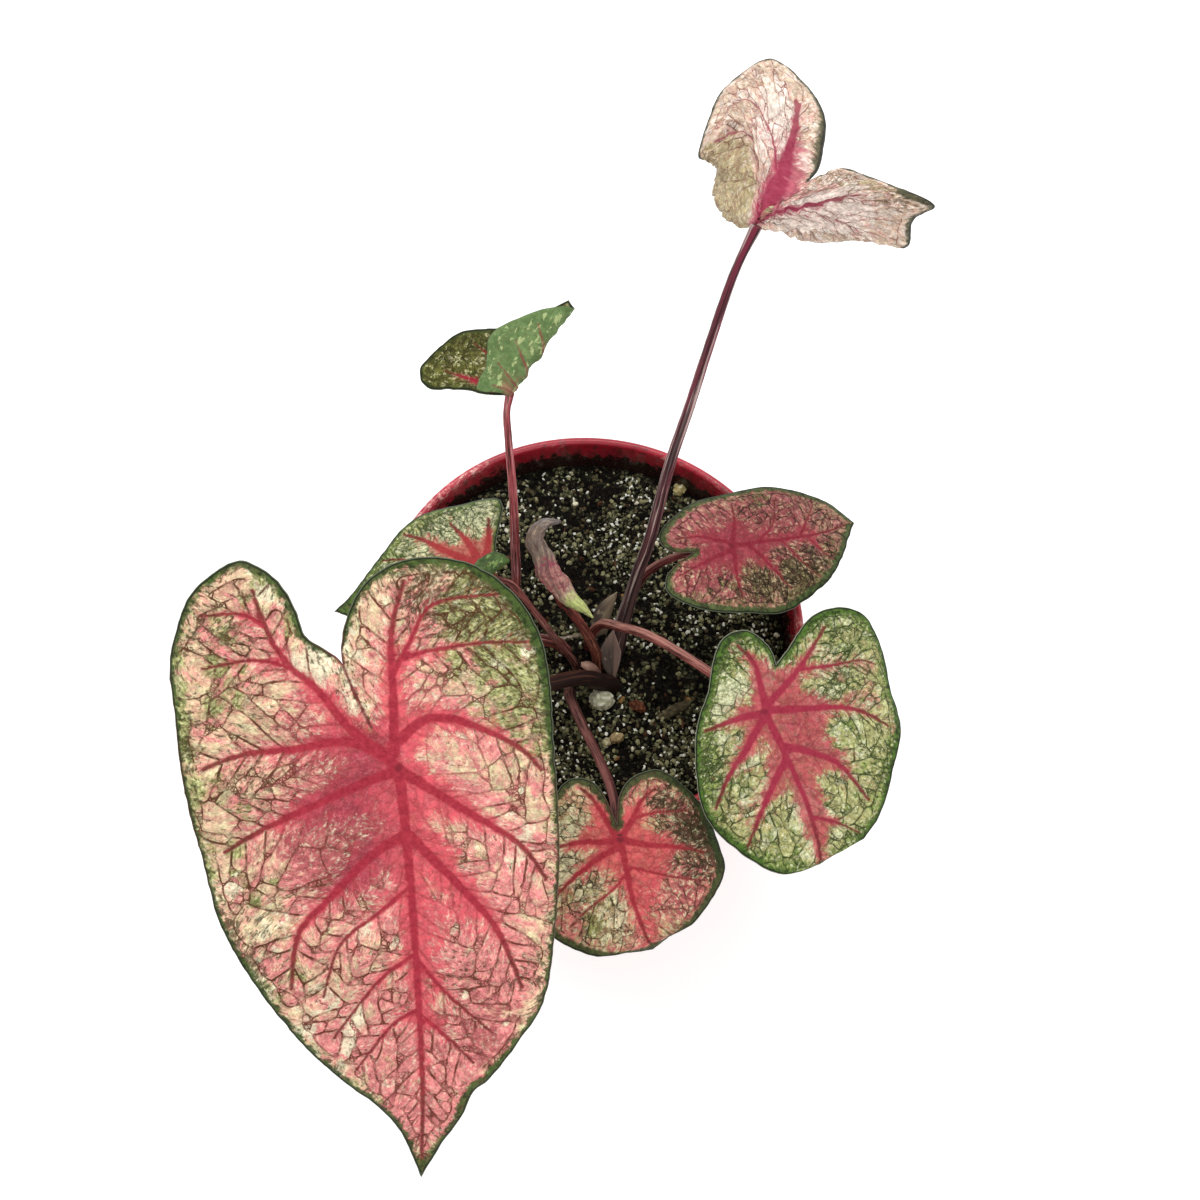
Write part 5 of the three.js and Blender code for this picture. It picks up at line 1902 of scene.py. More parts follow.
@dataclass
class Blade:
    """One leaf blade: its flat drawing, its sheet and its finish."""

    name: str
    node: str
    slot: str
    sheet: Sheet
    left: Line
    right: Line
    mains: tuple[Line, ...]
    branches: tuple[Line, ...]
    finish: BladeFinish
    underside: UndersideFinish
    patches: tuple[Patch, ...] = ()
    lean: tuple[float, float, float, float] = (0.4, 0.3, 0.3, 0.25)
    vein_width: Span = (1.9, 0.5)
    branch_width: Span = (0.7, 0.3)
    rounds: tuple[Sprouting, ...] = (
        Sprouting(6.0, 50, 0.07, (0.3, 0.22), lean=0.02),
        Sprouting(7.5, 62, 0.15, (0.22, 0.15), keep=0.55),
        Sprouting(5.0, 60, 0.3, (0.16, 0.1), keep=0.3, length=2),
    )
    rosy: float = 0.25
    collector: float = 3.4
    fill: float = 1.35
    thickness: float = 0.42
    quilt: float = 0.5
    groove: float = 0.55
    valley: float = 0.12
    rib: float = 0.9
    crinkle: float = 0.12
    crinkle_size: float = 7.0
    flutter: float = 0.25
    closed: float = 0.0
    seed: int = 3
    flutter_length: float = 9.0
    free_run: float = 4.0
    vein_inset: float = 0.6
    vein_anchor: float = 4.0
    taper: float = 0.8
    smoothing: int = 5
    shortest_area: float = 0.12
    glow_fade: float = 5.0
    glow_blush: float = 0.3
    far_fade: float = 0.7
    swell_reach: float = 3.5
    pad_reach: float = 0.9
    groove_reach: float = 0.9
    valley_reach: float = 0.35
    rib_reach: float = 0.4
    swell_share: float = 0.6
    calm_rim: float = 4.0
    groove_rim: float = 3.0
    crinkle_rim: float = 5.0
    rim_crinkle: float = 0.2
    rim_thickness: float = 0.55
    thin_rib: float = 0.35
    rounding: float = 0.12
    seed_shift: float = 17.0

    def outline(self, step: float = 0.8) -> Array:
        """The closed margin of the flat leaf, with a slight natural flutter.

        Args:
            step: The distance between samples.

        Returns:
            Flat points, one a row.
        """
        down, back = catmull_flat(self.left, step), catmull_flat(self.right, step)
        loop = np.vstack([down, back[1:-1][::-1]])
        ahead = np.roll(loop, -1, axis=0) - np.roll(loop, 1, axis=0)
        out = np.column_stack([ahead[:, 1], -ahead[:, 0]]) / np.linalg.norm(ahead, axis=1, keepdims=True)
        free = np.clip((np.hypot(*(loop - loop[0]).T) - self.closed) / self.free_run, 0, 1)
        return loop - out * (
            self.flutter * free * np.abs(ripple(loop, self.flutter_length, self.seed))
        )[:, None]

    def veins(self, outline: Array) -> VeinGraph:
        """The drawn veins, the collecting vein and the net that grows between them.

        Args:
            outline: The closed margin.

        Returns:
            The graph of all veins.
        """
        graph = VeinGraph(self.seed)
        for drawn, (low, high), start in (
            (self.mains, self.vein_width, 0.0), (self.branches, self.branch_width, 0.5)
        ):
            for vein in drawn:
                line = catmull_flat(vein, graph.step)
                line = line[inside(line, outline) & (nearest(outline, line)[0] > self.vein_inset)]
                share = np.linspace(0, 1, len(line))
                width = low + (high - low) * share**self.taper
                graph.add_line(line, width, start + (1 - start) * share, self.vein_anchor)
        graph.thick = len(graph.places)
        chains = list(graph.chains)
        graph.add_collector(outline, self.collector, self.rounds[0].width[1])
        for round_of in self.rounds:
            chains = graph.sprout(outline, chains, round_of)
        graph.relax(self.smoothing)
        return graph

    def flat_mesh(self) -> tuple[Array, Array, Array, Array, dict[str, Array]]:
        """Triangles over the flat leaf, with every vein on their edges.

        Returns:
            The points, the triangles, the cell of each triangle, its corners' stream, and the fields.
        """
        outline = self.outline()
        graph = self.veins(outline)
        box_low, box_high = outline.min(axis=0), outline.max(axis=0)
        rows = np.arange(box_low[1], box_high[1], self.fill * math.sin(math.pi / 3))
        columns = np.arange(box_low[0], box_high[0], self.fill)
        grid = np.array([(u + (j % 2) * self.fill / 2, v) for j, v in enumerate(rows) for u in columns])
        grid = grid[inside(grid, outline)]
        taken = np.vstack([outline, graph.places])
        grid = grid[nearest(taken, grid)[0] > self.fill * 0.5]

        corners = np.vstack([taken, grid])
        count = len(outline)
        edges = [(i, (i + 1) % count) for i in range(count)]
        edges += [(count + a, count + b) for a, b in graph.edges]
        made = delaunay_2d_cdt([Vector(c) for c in corners], edges, [], 1, SAME_POINT)
        points = np.array([(p.x, p.y) for p in made[0]])
        triangles = np.array(made[2])
        walls = {tuple(sorted(edge)) for edge, origin in zip(made[1], made[4]) if origin}
        a, b, c = (points[triangles[:, i]] for i in range(3))
        area = (b[:, 0] - a[:, 0]) * (c[:, 1] - a[:, 1]) - (b[:, 1] - a[:, 1]) * (c[:, 0] - a[:, 0])
        triangles[area < 0] = triangles[area < 0][:, ::-1]

        on_vein = nearest(taken, points)[0] < SAME_PLACE
        filled = on_vein[triangles].all(axis=1) & (np.abs(area) > self.shortest_area)
        hubs = points[triangles[filled]].mean(axis=1)
        ids = len(points) + np.arange(len(hubs))
        whole = triangles[filled]
        split = [np.column_stack([whole[:, i], whole[:, (i + 1) % 3], ids]) for i in range(3)]
        points, triangles = np.vstack([points, hubs]), np.vstack([triangles[~filled], *split])

        thick, thin = slice(0, graph.thick), slice(graph.thick, None)
        main_gap, main_at = nearest(graph.places[thick], points)
        side_gap, side_at = nearest(graph.places[thin], points)
        bulk = np.array(graph.width[thin])[side_at]
        rim_line = np.vstack([outline, (outline + np.roll(outline, -1, axis=0)) / 2])
        fields = {
            "main": main_gap - np.array(graph.width[thick])[main_at],
            "side": side_gap - bulk,
            "rim": nearest(rim_line, points)[0],
            "far": np.array(graph.far[thick])[main_at],
            "bulk": bulk,
        }
        return points, triangles, areoles(triangles, walls), self.stream(graph, points, triangles), fields

    def tints(self, points: Array, fields: dict[str, Array]) -> dict[str, Array]:
        """How far each point leans to each tint, from 0 to 1.

        Args:
            points: Flat points, one a row.
            fields: The distances to veins and margin, by name.

        Returns:
            The leanings, by the tints' names.
        """
        result = {}
        for tint, base in zip(Tint, (*self.lean, 1.0, 0.0, self.rosy)):
            total = np.full(len(points), base)
            for patch in self.patches:
                if patch.tint is tint:
                    away = np.hypot(points[:, 0] - patch.u, points[:, 1] - patch.v) / patch.radius
                    total += patch.strength * np.exp(-(away**2))
            result[tint.value] = total if tint in (Tint.BORDER, Tint.HEAT) else np.clip(total, 0, 1)
        near = np.exp(-np.maximum(fields["main"], 0) / self.glow_fade) * (1 - self.far_fade * fields["far"])
        result["blush"] = np.clip(result["blush"] + self.glow_blush * near, 0, 1)
        return result

    def stream(self, graph: VeinGraph, points: Array, triangles: Array) -> Array:
        """Places measured along and across the side veins, for every corner of the triangles.

        Args:
            graph: The leaf's veins.
            points: The flat points.
            triangles: The triangles between them.

        Returns:
            For every corner the place across the side veins, the way out along them, and its panel.
        """
        result = np.zeros((len(triangles), 3, 3))
        centre = points[triangles].mean(axis=1)
        drawn = [chain for chain in graph.chains if chain[-1] < graph.thick and len(chain) > 2]
        owner = np.array([nearest(graph.places[chain], centre)[0] for chain in drawn]).argmin(axis=0)
        slant = math.tan(math.radians(self.rounds[0].angle))
        for k, chain in enumerate(drawn):
            line, mine = graph.places[chain], np.flatnonzero(owner == k)
            if not len(mine):
                continue
            way = np.gradient(line, axis=0)
            way /= np.linalg.norm(way, axis=1, keepdims=True)
            at = nearest(line, centre[mine])[1]
            off = centre[mine] - line[at]
            side = np.sign(way[at][:, 0] * off[:, 1] - way[at][:, 1] * off[:, 0])
            corners = points[triangles[mine]].reshape(-1, 2)
            gap, near = nearest(line, corners)
            along = near * graph.step + ((corners - line[near]) * way[near]).sum(axis=1)
            result[mine, :, 0] = (along - gap / slant + PANEL_SHIFT * k).reshape(-1, 3)
            result[mine, :, 1] = gap.reshape(-1, 3)
            result[mine, :, 2] = (SIDE_SHIFT * side + self.seed)[:, None]
        return result

    def build(self) -> bpy.types.Object:
        """Build and dress the blade.

        Returns:
            The blade's object.
        """
        points, triangles, cells, stream, fields = self.flat_mesh()
        middle, out = self.sheet.place(points), self.sheet.normal(points)
        main, side, rim = (fields[name] for name in ("main", "side", "rim"))
        calm, deep, free = (
            np.clip(rim / reach, 0, 1) for reach in (self.calm_rim, self.groove_rim, self.crinkle_rim)
        )
        swell, pad = 1 - bell(main, self.swell_reach), 1 - bell(side, self.pad_reach)
        at_vein = bell(main, self.groove_reach)
        height = self.quilt * calm * (self.swell_share * swell + (1 - self.swell_share) * pad)
        height -= (self.groove * at_vein + self.valley * bell(side, self.valley_reach)) * deep
        waves = ripple(points, self.crinkle_size, self.seed, 3)
        height += self.crinkle * waves * (self.rim_crinkle + (1 - self.rim_crinkle) * free)
        half = self.thickness / 2 * (self.rim_thickness + (1 - self.rim_thickness) * calm)
        rib = self.rib * at_vein * (1 - self.far_fade * fields["far"])
        rib += self.thin_rib * bell(side, self.rib_reach) * fields["bulk"]
        upper = middle + out * (height + half)[:, None]
        lower = middle + out * (height - half - rib)[:, None]

        n = len(points)
        border = {}
        for a, b, c in triangles.tolist():
            for p, q in ((a, b), (b, c), (c, a)):
                if border.pop((q, p), None) is None:
                    border[(p, q)] = True
        loop = dict(border)
        ring = [next(iter(loop))[0]]
        following = {p: q for p, q in loop}
        while following[ring[-1]] != ring[0]:
            ring.append(following[ring[-1]])
        edge = np.array(ring)
        ahead = np.roll(points[edge], -1, axis=0) - np.roll(points[edge], 1, axis=0)
        outward = np.column_stack([ahead[:, 1], -ahead[:, 0]]) / np.linalg.norm(
            ahead, axis=1, keepdims=True
        )
        rounded = (upper[edge] + lower[edge]) / 2 + self.sheet.place(
            points[edge] + outward * self.rounding
        ) - middle[edge]

        places = np.vstack([upper, lower, rounded])
        faces = triangles.tolist() + (triangles[:, ::-1] + n).tolist()
        m = len(edge)
        for i in range(m):
            a, b, c, d = edge[i], edge[(i + 1) % m], 2 * n + i, 2 * n + (i + 1) % m
            faces += [(a, c, d, b), (c, a + n, b + n, d)]
        piece = new_mesh(self.name, places, faces)
        slots = np.zeros(len(faces), np.int32)
        slots[len(triangles) : 2 * len(triangles)] = 1
        for finish in (self.finish, self.underside):
            piece.data.materials.append(finish.build())
        piece.data.polygons.foreach_set("material_index", slots)

        every = np.concatenate([np.arange(n), np.arange(n), edge])
        for name, values in {**fields, **self.tints(points, fields)}.items():
            if name != "bulk":
                mark(piece, name, values[every])
        mark(piece, "flat", np.column_stack([points, np.full(n, self.seed * self.seed_shift)])[every])
        own = np.random.default_rng(self.seed).uniform(size=(cells.max() + 1, 3))[cells]
        corners = np.vstack(
            [np.repeat(own, 3, axis=0), np.repeat(own, 3, axis=0), np.full((8 * m, 3), 0.5)]
        )
        flow = np.vstack([stream.reshape(-1, 3), stream[:, ::-1].reshape(-1, 3), np.zeros((8 * m, 3))])
        for name, values in (("cell", corners), ("stream", flow)):
            layer = piece.data.attributes.new(name, "FLOAT_VECTOR", "CORNER")
            layer.data.foreach_set("vector", values.astype(np.float32).ravel())
        return finish_piece(piece, self.slot, self.node)


# ---------------------------------------------------------------- stalks


class Inputs:
    """The named inputs of a Geometry Nodes tree, set on a modifier by their identifiers."""

    def __init__(self, name: str) -> None:
        """Start a tree with a geometry socket each way.

        Args:
            name: The tree's name.
        """
        self.tree = bpy.data.node_groups.new(name, "GeometryNodeTree")
        self.tree.interface.new_socket("Geometry", in_out="INPUT", socket_type="NodeSocketGeometry")
        self.tree.interface.new_socket("Geometry", in_out="OUTPUT", socket_type="NodeSocketGeometry")
        self.board = Board(self.tree)
        self.keys: dict[str, str] = {}

    def ask(self, name: str, kind: str) -> None:
        """Add an input of a kind: Float, Int, Vector or Material."""
        socket = self.tree.interface.new_socket(name, in_out="INPUT", socket_type="NodeSocket" + kind)
        self.keys[name] = socket.identifier

    def source(self) -> bpy.types.Node:
        """The node that gives the inputs."""
        return self.board.add("NodeGroupInput")

    def close(self, geometry: bpy.types.NodeSocket, finish: bpy.types.NodeSocket) -> None:
        """End the tree: instances made real, then the material set.

        Args:
            geometry: What the tree has made.
            finish: The material.
        """
        real = self.board.add("GeometryNodeRealizeInstances", {0: geometry}).outputs[0]
        done = self.board.add("GeometryNodeSetMaterial", {"Geometry": real, "Material": finish}).outputs[0]
        self.board.add("NodeGroupOutput", {0: done})

    def run(self, piece: bpy.types.Object, values: dict[str, object]) -> bpy.types.Object:
        """Apply the tree to a piece.

        Args:
            piece: The object that carries the tree's geometry.
            values: A value for each named input.

        Returns:
            The same object, with the result as its plain mesh.
        """
        modifier = piece.modifiers.new(self.tree.name, "NODES")
        modifier.node_group = self.tree
        for name, value in values.items():
            modifier[self.keys[name]] = value
        graph = bpy.context.evaluated_depsgraph_get()
        graph.update()
        made = bpy.data.meshes.new_from_object(piece.evaluated_get(graph))
        piece.modifiers.remove(modifier)
        old = piece.data
        piece.data = made
        made.name = piece.name
        bpy.data.meshes.remove(old)
        return piece


CHANNEL_AT = 0.25
CHANNEL_WIDTH = 0.09
STALK_BUMPS = 260.0


def stalk_tree() -> Inputs:
    """The tree that draws a channelled round stalk along a line of points.

    Returns:
        The tree and its inputs.
    """
    kit = Inputs("stalk")
    for name, kind in (
        ("Sides", "Int"), ("Channel", "Float"), ("Unevenness", "Float"), ("Finish", "Material")
    ):
        kit.ask(name, kind)
    board, source = kit.board, kit.source()
    line = board.add("GeometryNodeMeshToCurve", {"Mesh": source.outputs["Geometry"]}).outputs[0]
    share = board.add("GeometryNodeSplineParameter").outputs["Factor"]
    line = board.add(
        "GeometryNodeStoreNamedAttribute", {"Geometry": line, "Name": "along", "Value": share},
        data_type="FLOAT"
    ).outputs[0]
    girth = board.add("GeometryNodeInputNamedAttribute", {"Name": "girth"}, data_type="FLOAT").outputs[0]
    circle = board.add(
        "GeometryNodeCurvePrimitiveCircle", {"Resolution": source.outputs["Sides"], "Radius": 1.0}
    ).outputs[0]
    turn = board.add("GeometryNodeSplineParameter").outputs["Factor"]
    circle = board.add(
        "GeometryNodeStoreNamedAttribute", {"Geometry": circle, "Name": "round", "Value": turn},
        data_type="FLOAT"
    ).outputs[0]
    away = board.over(board.minus(turn, CHANNEL_AT), CHANNEL_WIDTH)
    dip = board.math("POWER", 2.0, board.times(away, away, -1.0))
    size = board.minus(1.0, board.times(dip, source.outputs["Channel"]))
    spot = board.add("GeometryNodeInputPosition").outputs[0]
    circle = board.add(
        "GeometryNodeSetPosition", {"Geometry": circle, "Position": board.scaled(spot, size)}
    ).outputs[0]
    inputs = {"Curve": line, "Profile Curve": circle, "Scale": girth, "Fill Caps": True}
    skin = board.add("GeometryNodeCurveToMesh", inputs).outputs[0]
    way = board.add("GeometryNodeInputNormal").outputs[0]
    bumps = board.minus(board.noise(board.add("GeometryNodeInputPosition").outputs[0], STALK_BUMPS), 0.5)
    offset = board.scaled(way, board.times(bumps, source.outputs["Unevenness"]))
    skin = board.add("GeometryNodeSetPosition", {"Geometry": skin, "Offset": offset}).outputs[0]
    skin = board.add("GeometryNodeSetShadeSmooth", {"Geometry": skin}).outputs[0]
    kit.close(skin, source.outputs["Finish"])
    return kit


@dataclass
class Stalk:
    """A leaf stalk from its hole in the peat to its blade."""

    name: str
    node: str
    path: Line
    radii: Span
    finish: StalkFinish
    blade: Sheet | None = None
    straight: bool = False
    end: Place | None = None
    # The way towards the light; the side of the stalk that faces it gets a painted highlight.
    lit_way: Place = (-0.7, 0.5, 0.5)
    sheath: float = 0.25
    flare: float = 0.35
    start: float = 4.0
    depth: float = 6.0
    approach: float = 4.5
    bend: float = 3.0
    sunk: float = 1.1
    step: float = 1.1
    sides: int = 28
    channel: float = 0.22
    unevenness: float = 0.22
    sheath_at: Span = (0.05, 0.12)
    flare_run: float = 0.03

    def line(self) -> Array:
        """The stalk's middle line, evenly sampled.

        Returns:
            Places along the line, one a row.
        """
        entry, following = np.array(self.path[0], float), np.array(self.path[1], float)
        lean = (following - entry) / np.linalg.norm(following - entry)
        places = [
            entry - lean * self.depth, entry - lean * self.depth / 2, entry, entry + lean * self.start
        ]
        places += [np.array(p, float) for p in self.path[1:]]
        origin = np.zeros((1, 2))
        if self.end is not None:
            stop, out = np.array(self.end, float), np.array([0, 0, 1.0])
        else:
            stop, out = self.blade.place(origin)[0], self.blade.normal(origin)[0]
        if not self.straight:
            back = places[-1] - stop
            places.append(stop + back / np.linalg.norm(back) * self.approach - out * self.bend)
        return catmull_space([*places, stop - out * self.sunk], self.step)

    def build(self, tree: Inputs) -> bpy.types.Object:
        """Build and dress the stalk.

        Args:
            tree: The stalk tree.

        Returns:
            The stalk's object.
        """
        path = self.line()
        t = np.linspace(0, 1, len(path))
        girth = self.radii[0] + (self.radii[1] - self.radii[0]) * t
        at, run = self.sheath_at
        girth *= 1 + self.sheath * bell(np.abs(t - at), run) + self.flare * bell(1 - t, self.flare_run)
        mesh = bpy.data.meshes.new(self.name)
        mesh.from_pydata((path * MM).tolist(), [(i, i + 1) for i in range(len(path) - 1)], [])
        piece = bpy.data.objects.new(self.name, mesh)
        bpy.context.scene.collection.objects.link(piece)
        mark(piece, "girth", girth * MM)
        values = {"Sides": self.sides, "Channel": self.channel, "Unevenness": self.unevenness * MM}
        tree.run(piece, {**values, "Finish": self.finish.build()})
        normals = np.zeros(len(piece.data.vertices) * 3)
        piece.data.vertices.foreach_get("normal", normals)
        # lit: how far each point faces the light, for the painted highlight of the stalk finish.
        lit = np.array(self.lit_way) / np.linalg.norm(self.lit_way)
        mark(piece, "lit", np.clip(normals.reshape(-1, 3) @ lit, 0, 1))
        return finish_piece(piece, "stem", self.node)


# ---------------------------------------------------------------- rolled leaf and husks


@dataclass
class Scroll:
    """The youngest leaf, rolled in a scroll, with its withered tip bent over."""

    name: str = "scroll"
    node: str = "blade_rolled"
    path: Line = (
        (0, -10.5, 136.5), (-4, -8, 137.5), (-9, -5.3, 138.5), (-14, -1.5, 140), (-18.5, 3.4, 142),
        (-22, 8.3, 143), (-23.6, 12.8, 143), (-23, 16.8, 142), (-20.5, 20, 140), (-17, 23, 137),
    )
    radii: tuple[float, ...] = (0.3, 2.0, 3.3, 4.3, 4.5, 4.0, 3.7, 3.1, 1.8, 0.7)
    seam: float = 0.9
    turns: float = 1.2
    sides: int = 72
    step: float = 0.3
    sway: Span = (0.45, 26)
    closing: float = 0.985
    ribs: tuple[float, int, int] = (0.035, 9, 8)
    fold_height: float = 0.085
    fold_run: float = 34
    fold_length: float = 3.0
    fold_seed: int = 5
    smooth_foot: float = 6
    thick: float = 4
    finish: ScrollFinish = ScrollFinish()

    def build(self) -> bpy.types.Object:
        """Build and dress the scroll.

        Returns:
            The scroll's object.
        """
        path = catmull_space(self.path, self.step)
        _, side, over = path_frames(path, (0, 0, 1))
        t = np.linspace(0, 1, len(path))
        height, turns = self.sway
        path = path + over * (height * np.sin(t * turns) * np.sin(math.pi * t))[:, None]
        radius = np.interp(t, np.linspace(0, 1, len(self.radii)), self.radii)
        wind = np.linspace(0, 1, self.sides)
        angle = (self.turns * math.pi * (t - 0.5))[:, None] + wind * TAU * self.closing
        height, count, twist = self.ribs
        ribs = 1 + height * np.sin(angle * count + t[:, None] * twist) * np.sin(math.pi * t)[:, None]
        spots = np.stack(
            np.broadcast_arrays(t[:, None] * self.fold_run, np.cos(angle), np.sin(angle)), axis=-1
        )
        folds = ripple(spots.reshape(-1, 3), self.fold_length, self.fold_seed).reshape(angle.shape)
        rings = 1 + self.fold_height * folds * np.clip(t * self.smooth_foot, 0, 1)[:, None]
        r = (radius[:, None] - self.seam * (radius[:, None] / self.thick) * (1 - wind)) * ribs * rings
        across, rise = (r * np.cos(angle))[..., None], (r * np.sin(angle))[..., None]
        piece = loft(self.name, path[:, None] + side[:, None] * across + over[:, None] * rise)
        piece.data.materials.append(self.finish.build())
        mark(piece, "along", np.append(np.repeat(t, self.sides), (0, 1)))
        mark(piece, "seam", np.append(np.tile(wind, len(t)), (0.5, 0.5)))
        return finish_piece(piece, "blade_green", self.node)


@dataclass
class Husk:
    """A papery sheath at the crown: a curled, narrowing strip."""

    name: str
    node: str
    path: Line
    half_width: float
    facing: float
    profile: tuple[float, ...] = (0.5, 0.9, 1.0, 0.95, 0.8, 0.55, 0.06)
    cup: float = 0.9
    fold: float = 0.0
    thickness: float = 0.5
    sunk: float = 2.5
    step: float = 0.4
    columns: int = 13
    wander: tuple[float, float, int] = (0.25, 6, 5)
    wander_run: Span = (10, 3)
    hollow: float = 0.8
    tip_thinning: float = 0.6
    side_thinning: float = 0.7
    finish: HuskFinish = HuskFinish("husk")

    def build(self) -> bpy.types.Object:
        """Build and dress the husk.

        Returns:
            The husk's object.
        """
        path = catmull_space([np.array(self.path[0]) - (0, 0, self.sunk), *self.path], self.step)
        hint = (math.cos(math.radians(self.facing)), math.sin(math.radians(self.facing)), 0)
        _, side, over = path_frames(path, hint)
        t = np.linspace(0, 1, len(path))
        width = self.half_width * np.interp(t, np.linspace(0, 1, len(self.profile)), self.profile)
        s = np.linspace(-1, 1, self.columns)
        height, length, seed = self.wander
        along, aside = self.wander_run
        wander = height * ripple(np.column_stack([t * along, t * aside]), length, seed)
        bow = s**2 * (1 - self.fold) + np.abs(s) * self.fold
        cup = self.cup * bow[None] * width[:, None] * self.hollow + wander[:, None]
        across, rise = (s * width[:, None])[..., None], cup[..., None]
        front = path[:, None] + side[:, None] * across + over[:, None] * rise
        thick = self.thickness * (1 - self.tip_thinning * t)[:, None, None] * (
            1 - self.side_thinning * s**2
        )[None, :, None]
        back = front - over[:, None] * thick
        rings = np.concatenate([front, back[:, ::-1][:, 1:-1]], axis=1)
        piece = loft(self.name, rings)
        around = rings.shape[1]
        across = np.concatenate([s, s[::-1][1:-1]]) / 2 + 0.5
        piece.data.materials.append(self.finish.build())
        mark(piece, "along", np.append(np.repeat(t, around), (0, 1)))
        mark(piece, "across", np.append(np.tile(across, len(t)), (0.5, 0.5)))
        straighten(piece)
        return finish_piece(piece, "husk", self.node)


def straighten(piece: bpy.types.Object) -> None:
    """Turn every face of a closed piece outwards.

    Args:
        piece: The piece.
    """
    work = bmesh.new()
    work.from_mesh(piece.data)
    bmesh.ops.recalc_face_normals(work, faces=work.faces)
    work.to_mesh(piece.data)
    work.free()


# ---------------------------------------------------------------- pot and peat


@dataclass
class Pot:
    """The tapered round pot: wall, band, rounded lip and drainage holes."""

    rim_radius: float = 75
    height: float = 115
    base_radius: float = 51
    base_thickness: float = 3
    wall: float = 2.2
    band_height: float = 18
    band_step: float = 2.4
    lip_width: float = 3.2
    lip_setback: float = 1.6
    edge: float = 1.5
    sides: int = 192
    drain_holes: int = 5
    drain_radius: float = 4
    drain_circle: float = 33
    drain_sides: int = 32
    lip_round: float = 1.6
    lip_points: int = 13
    edge_points: int = 6
    edge_turn: float = 78
    crease_angle: float = 40
    shoulder: tuple[Span, ...] = ((0.0, -1.6), (0.5, -0.7))
    band_foot: tuple[Span, ...] = ((-0.4, 0.3), (0.0, 1.0))
    under_lip: Span = (-0.6, -4.2)
    lip_inside: float = -3.4
    inner_slope: tuple[Span, ...] = ((1.3, 0.0), (0.0, -4.0))
    floor_edge: tuple[Span, ...] = ((0.0, 1.2), (-1.8, 0.0))
    inner_levels: tuple[float, ...] = (3, 93, 115)
    inner_radii: tuple[float, ...] = (49, 68.6, 71.9)
    inner_margin: Span = (1.7, 0.5)
    inner_floor: float = 2.9
    finish: PlasticFinish = PlasticFinish()

    def section(self) -> list[Span]:
        """The wall's section, from the outside of the base round the lip to the inside of the base.

        Returns:
            Radius and height of each corner.
        """
        foot, top = self.height - self.band_height, self.rim_radius - self.lip_setback - self.band_step
        rim, inner = self.rim_radius, self.rim_radius - self.lip_width
        lip = [
            (
                rim - self.lip_width / 2 + self.lip_width / 2 * math.cos(a),
                self.height - self.lip_round * (1 - math.sin(a))
            ) for a in np.radians(np.linspace(0, 180, self.lip_points))
        ]
        corner = [
            (self.base_radius - self.edge + self.edge * math.sin(a), self.edge - self.edge * math.cos(a))
            for a in np.radians(np.linspace(0, self.edge_turn, self.edge_points))
        ]
        band, face, inside_foot = rim - self.lip_setback, top - self.wall, self.base_radius - self.wall
        shoulder = [(top + r, foot + z) for r, z in self.shoulder]
        shoulder += [(band + r, foot + z) for r, z in self.band_foot]
        shoulder.append((rim + self.under_lip[0], self.height + self.under_lip[1]))
        wall = [
            (inner, self.height + self.lip_inside), *((face + r, foot + z) for r, z in self.inner_slope)
        ]
        floor = [(inside_foot + r, self.base_thickness + z) for r, z in self.floor_edge]
        return [(0, 0), *corner, *shoulder, *lip, *wall, *floor, (0, self.base_thickness)]

    def build(self) -> bpy.types.Object:
        """Build and dress the pot.

        Returns:
            The pot's object.
        """
        section = self.section()
        turns = np.linspace(0, TAU, self.sides, endpoint=False)
        rings = np.array([[(r * math.cos(a), r * math.sin(a), z) for a in turns] for r, z in section[1:-1]])
        places = np.vstack([rings.reshape(-1, 3), [(0, 0, section[0][1]), (0, 0, section[-1][1])]])
        count, n = len(rings), self.sides
        faces = ring_faces(count, n)
        hub, top = count * n, (count - 1) * n
        for i in range(n):
            faces.append((hub, (i + 1) % n, i))
            faces.append((hub + 1, top + i, top + (i + 1) % n))
        piece = new_mesh("red_pot", places, faces)
        drill = self.drill()
        cut = piece.modifiers.new("drainage", "BOOLEAN")
        cut.object, cut.operation, cut.solver = drill, "DIFFERENCE", "EXACT"
        graph = bpy.context.evaluated_depsgraph_get()
        made = bpy.data.meshes.new_from_object(piece.evaluated_get(graph))
        piece.modifiers.remove(cut)
        piece.data = made
        bpy.data.objects.remove(drill)
        piece.data.polygons.foreach_set("use_smooth", np.full(len(piece.data.polygons), True))
        piece.data.set_sharp_from_angle(angle=math.radians(self.crease_angle))
        piece.data.materials.append(self.finish.build())
        spots = np.zeros(len(piece.data.vertices) * 3)
        piece.data.vertices.foreach_get("co", spots)
        x, y, z = spots.reshape(-1, 3).T / MM
        slope, (margin, fade) = np.interp(z, self.inner_levels, self.inner_radii), self.inner_margin
        mark(
            piece, "inner", np.clip((slope + margin - np.hypot(x, y)) / fade, 0, 1) * (z > self.inner_floor)
        )
        return finish_piece(piece, "pot", "pot")

    def drill(self) -> bpy.types.Object:
        """The cylinders that cut the drainage holes.

        Returns:
            The cutter, as one piece.
        """
        rings, faces, n = [], [], self.drain_sides
        for k in range(self.drain_holes):
            a = k / self.drain_holes * TAU
            turn = np.linspace(0, TAU, n, endpoint=False)
            x = self.drain_circle * math.cos(a) + self.drain_radius * np.cos(turn)
            y = self.drain_circle * math.sin(a) + self.drain_radius * np.sin(turn)
            base = len(rings) * n
            rings += [np.column_stack([x, y, np.full(n, z)]) for z in (-2, self.base_thickness + 2)]
            faces += ring_faces(2, n, base)
            faces += [tuple(range(base + n - 1, base - 1, -1)), tuple(range(base + n, base + 2 * n))]
        return new_mesh("drill", np.vstack(rings), faces)


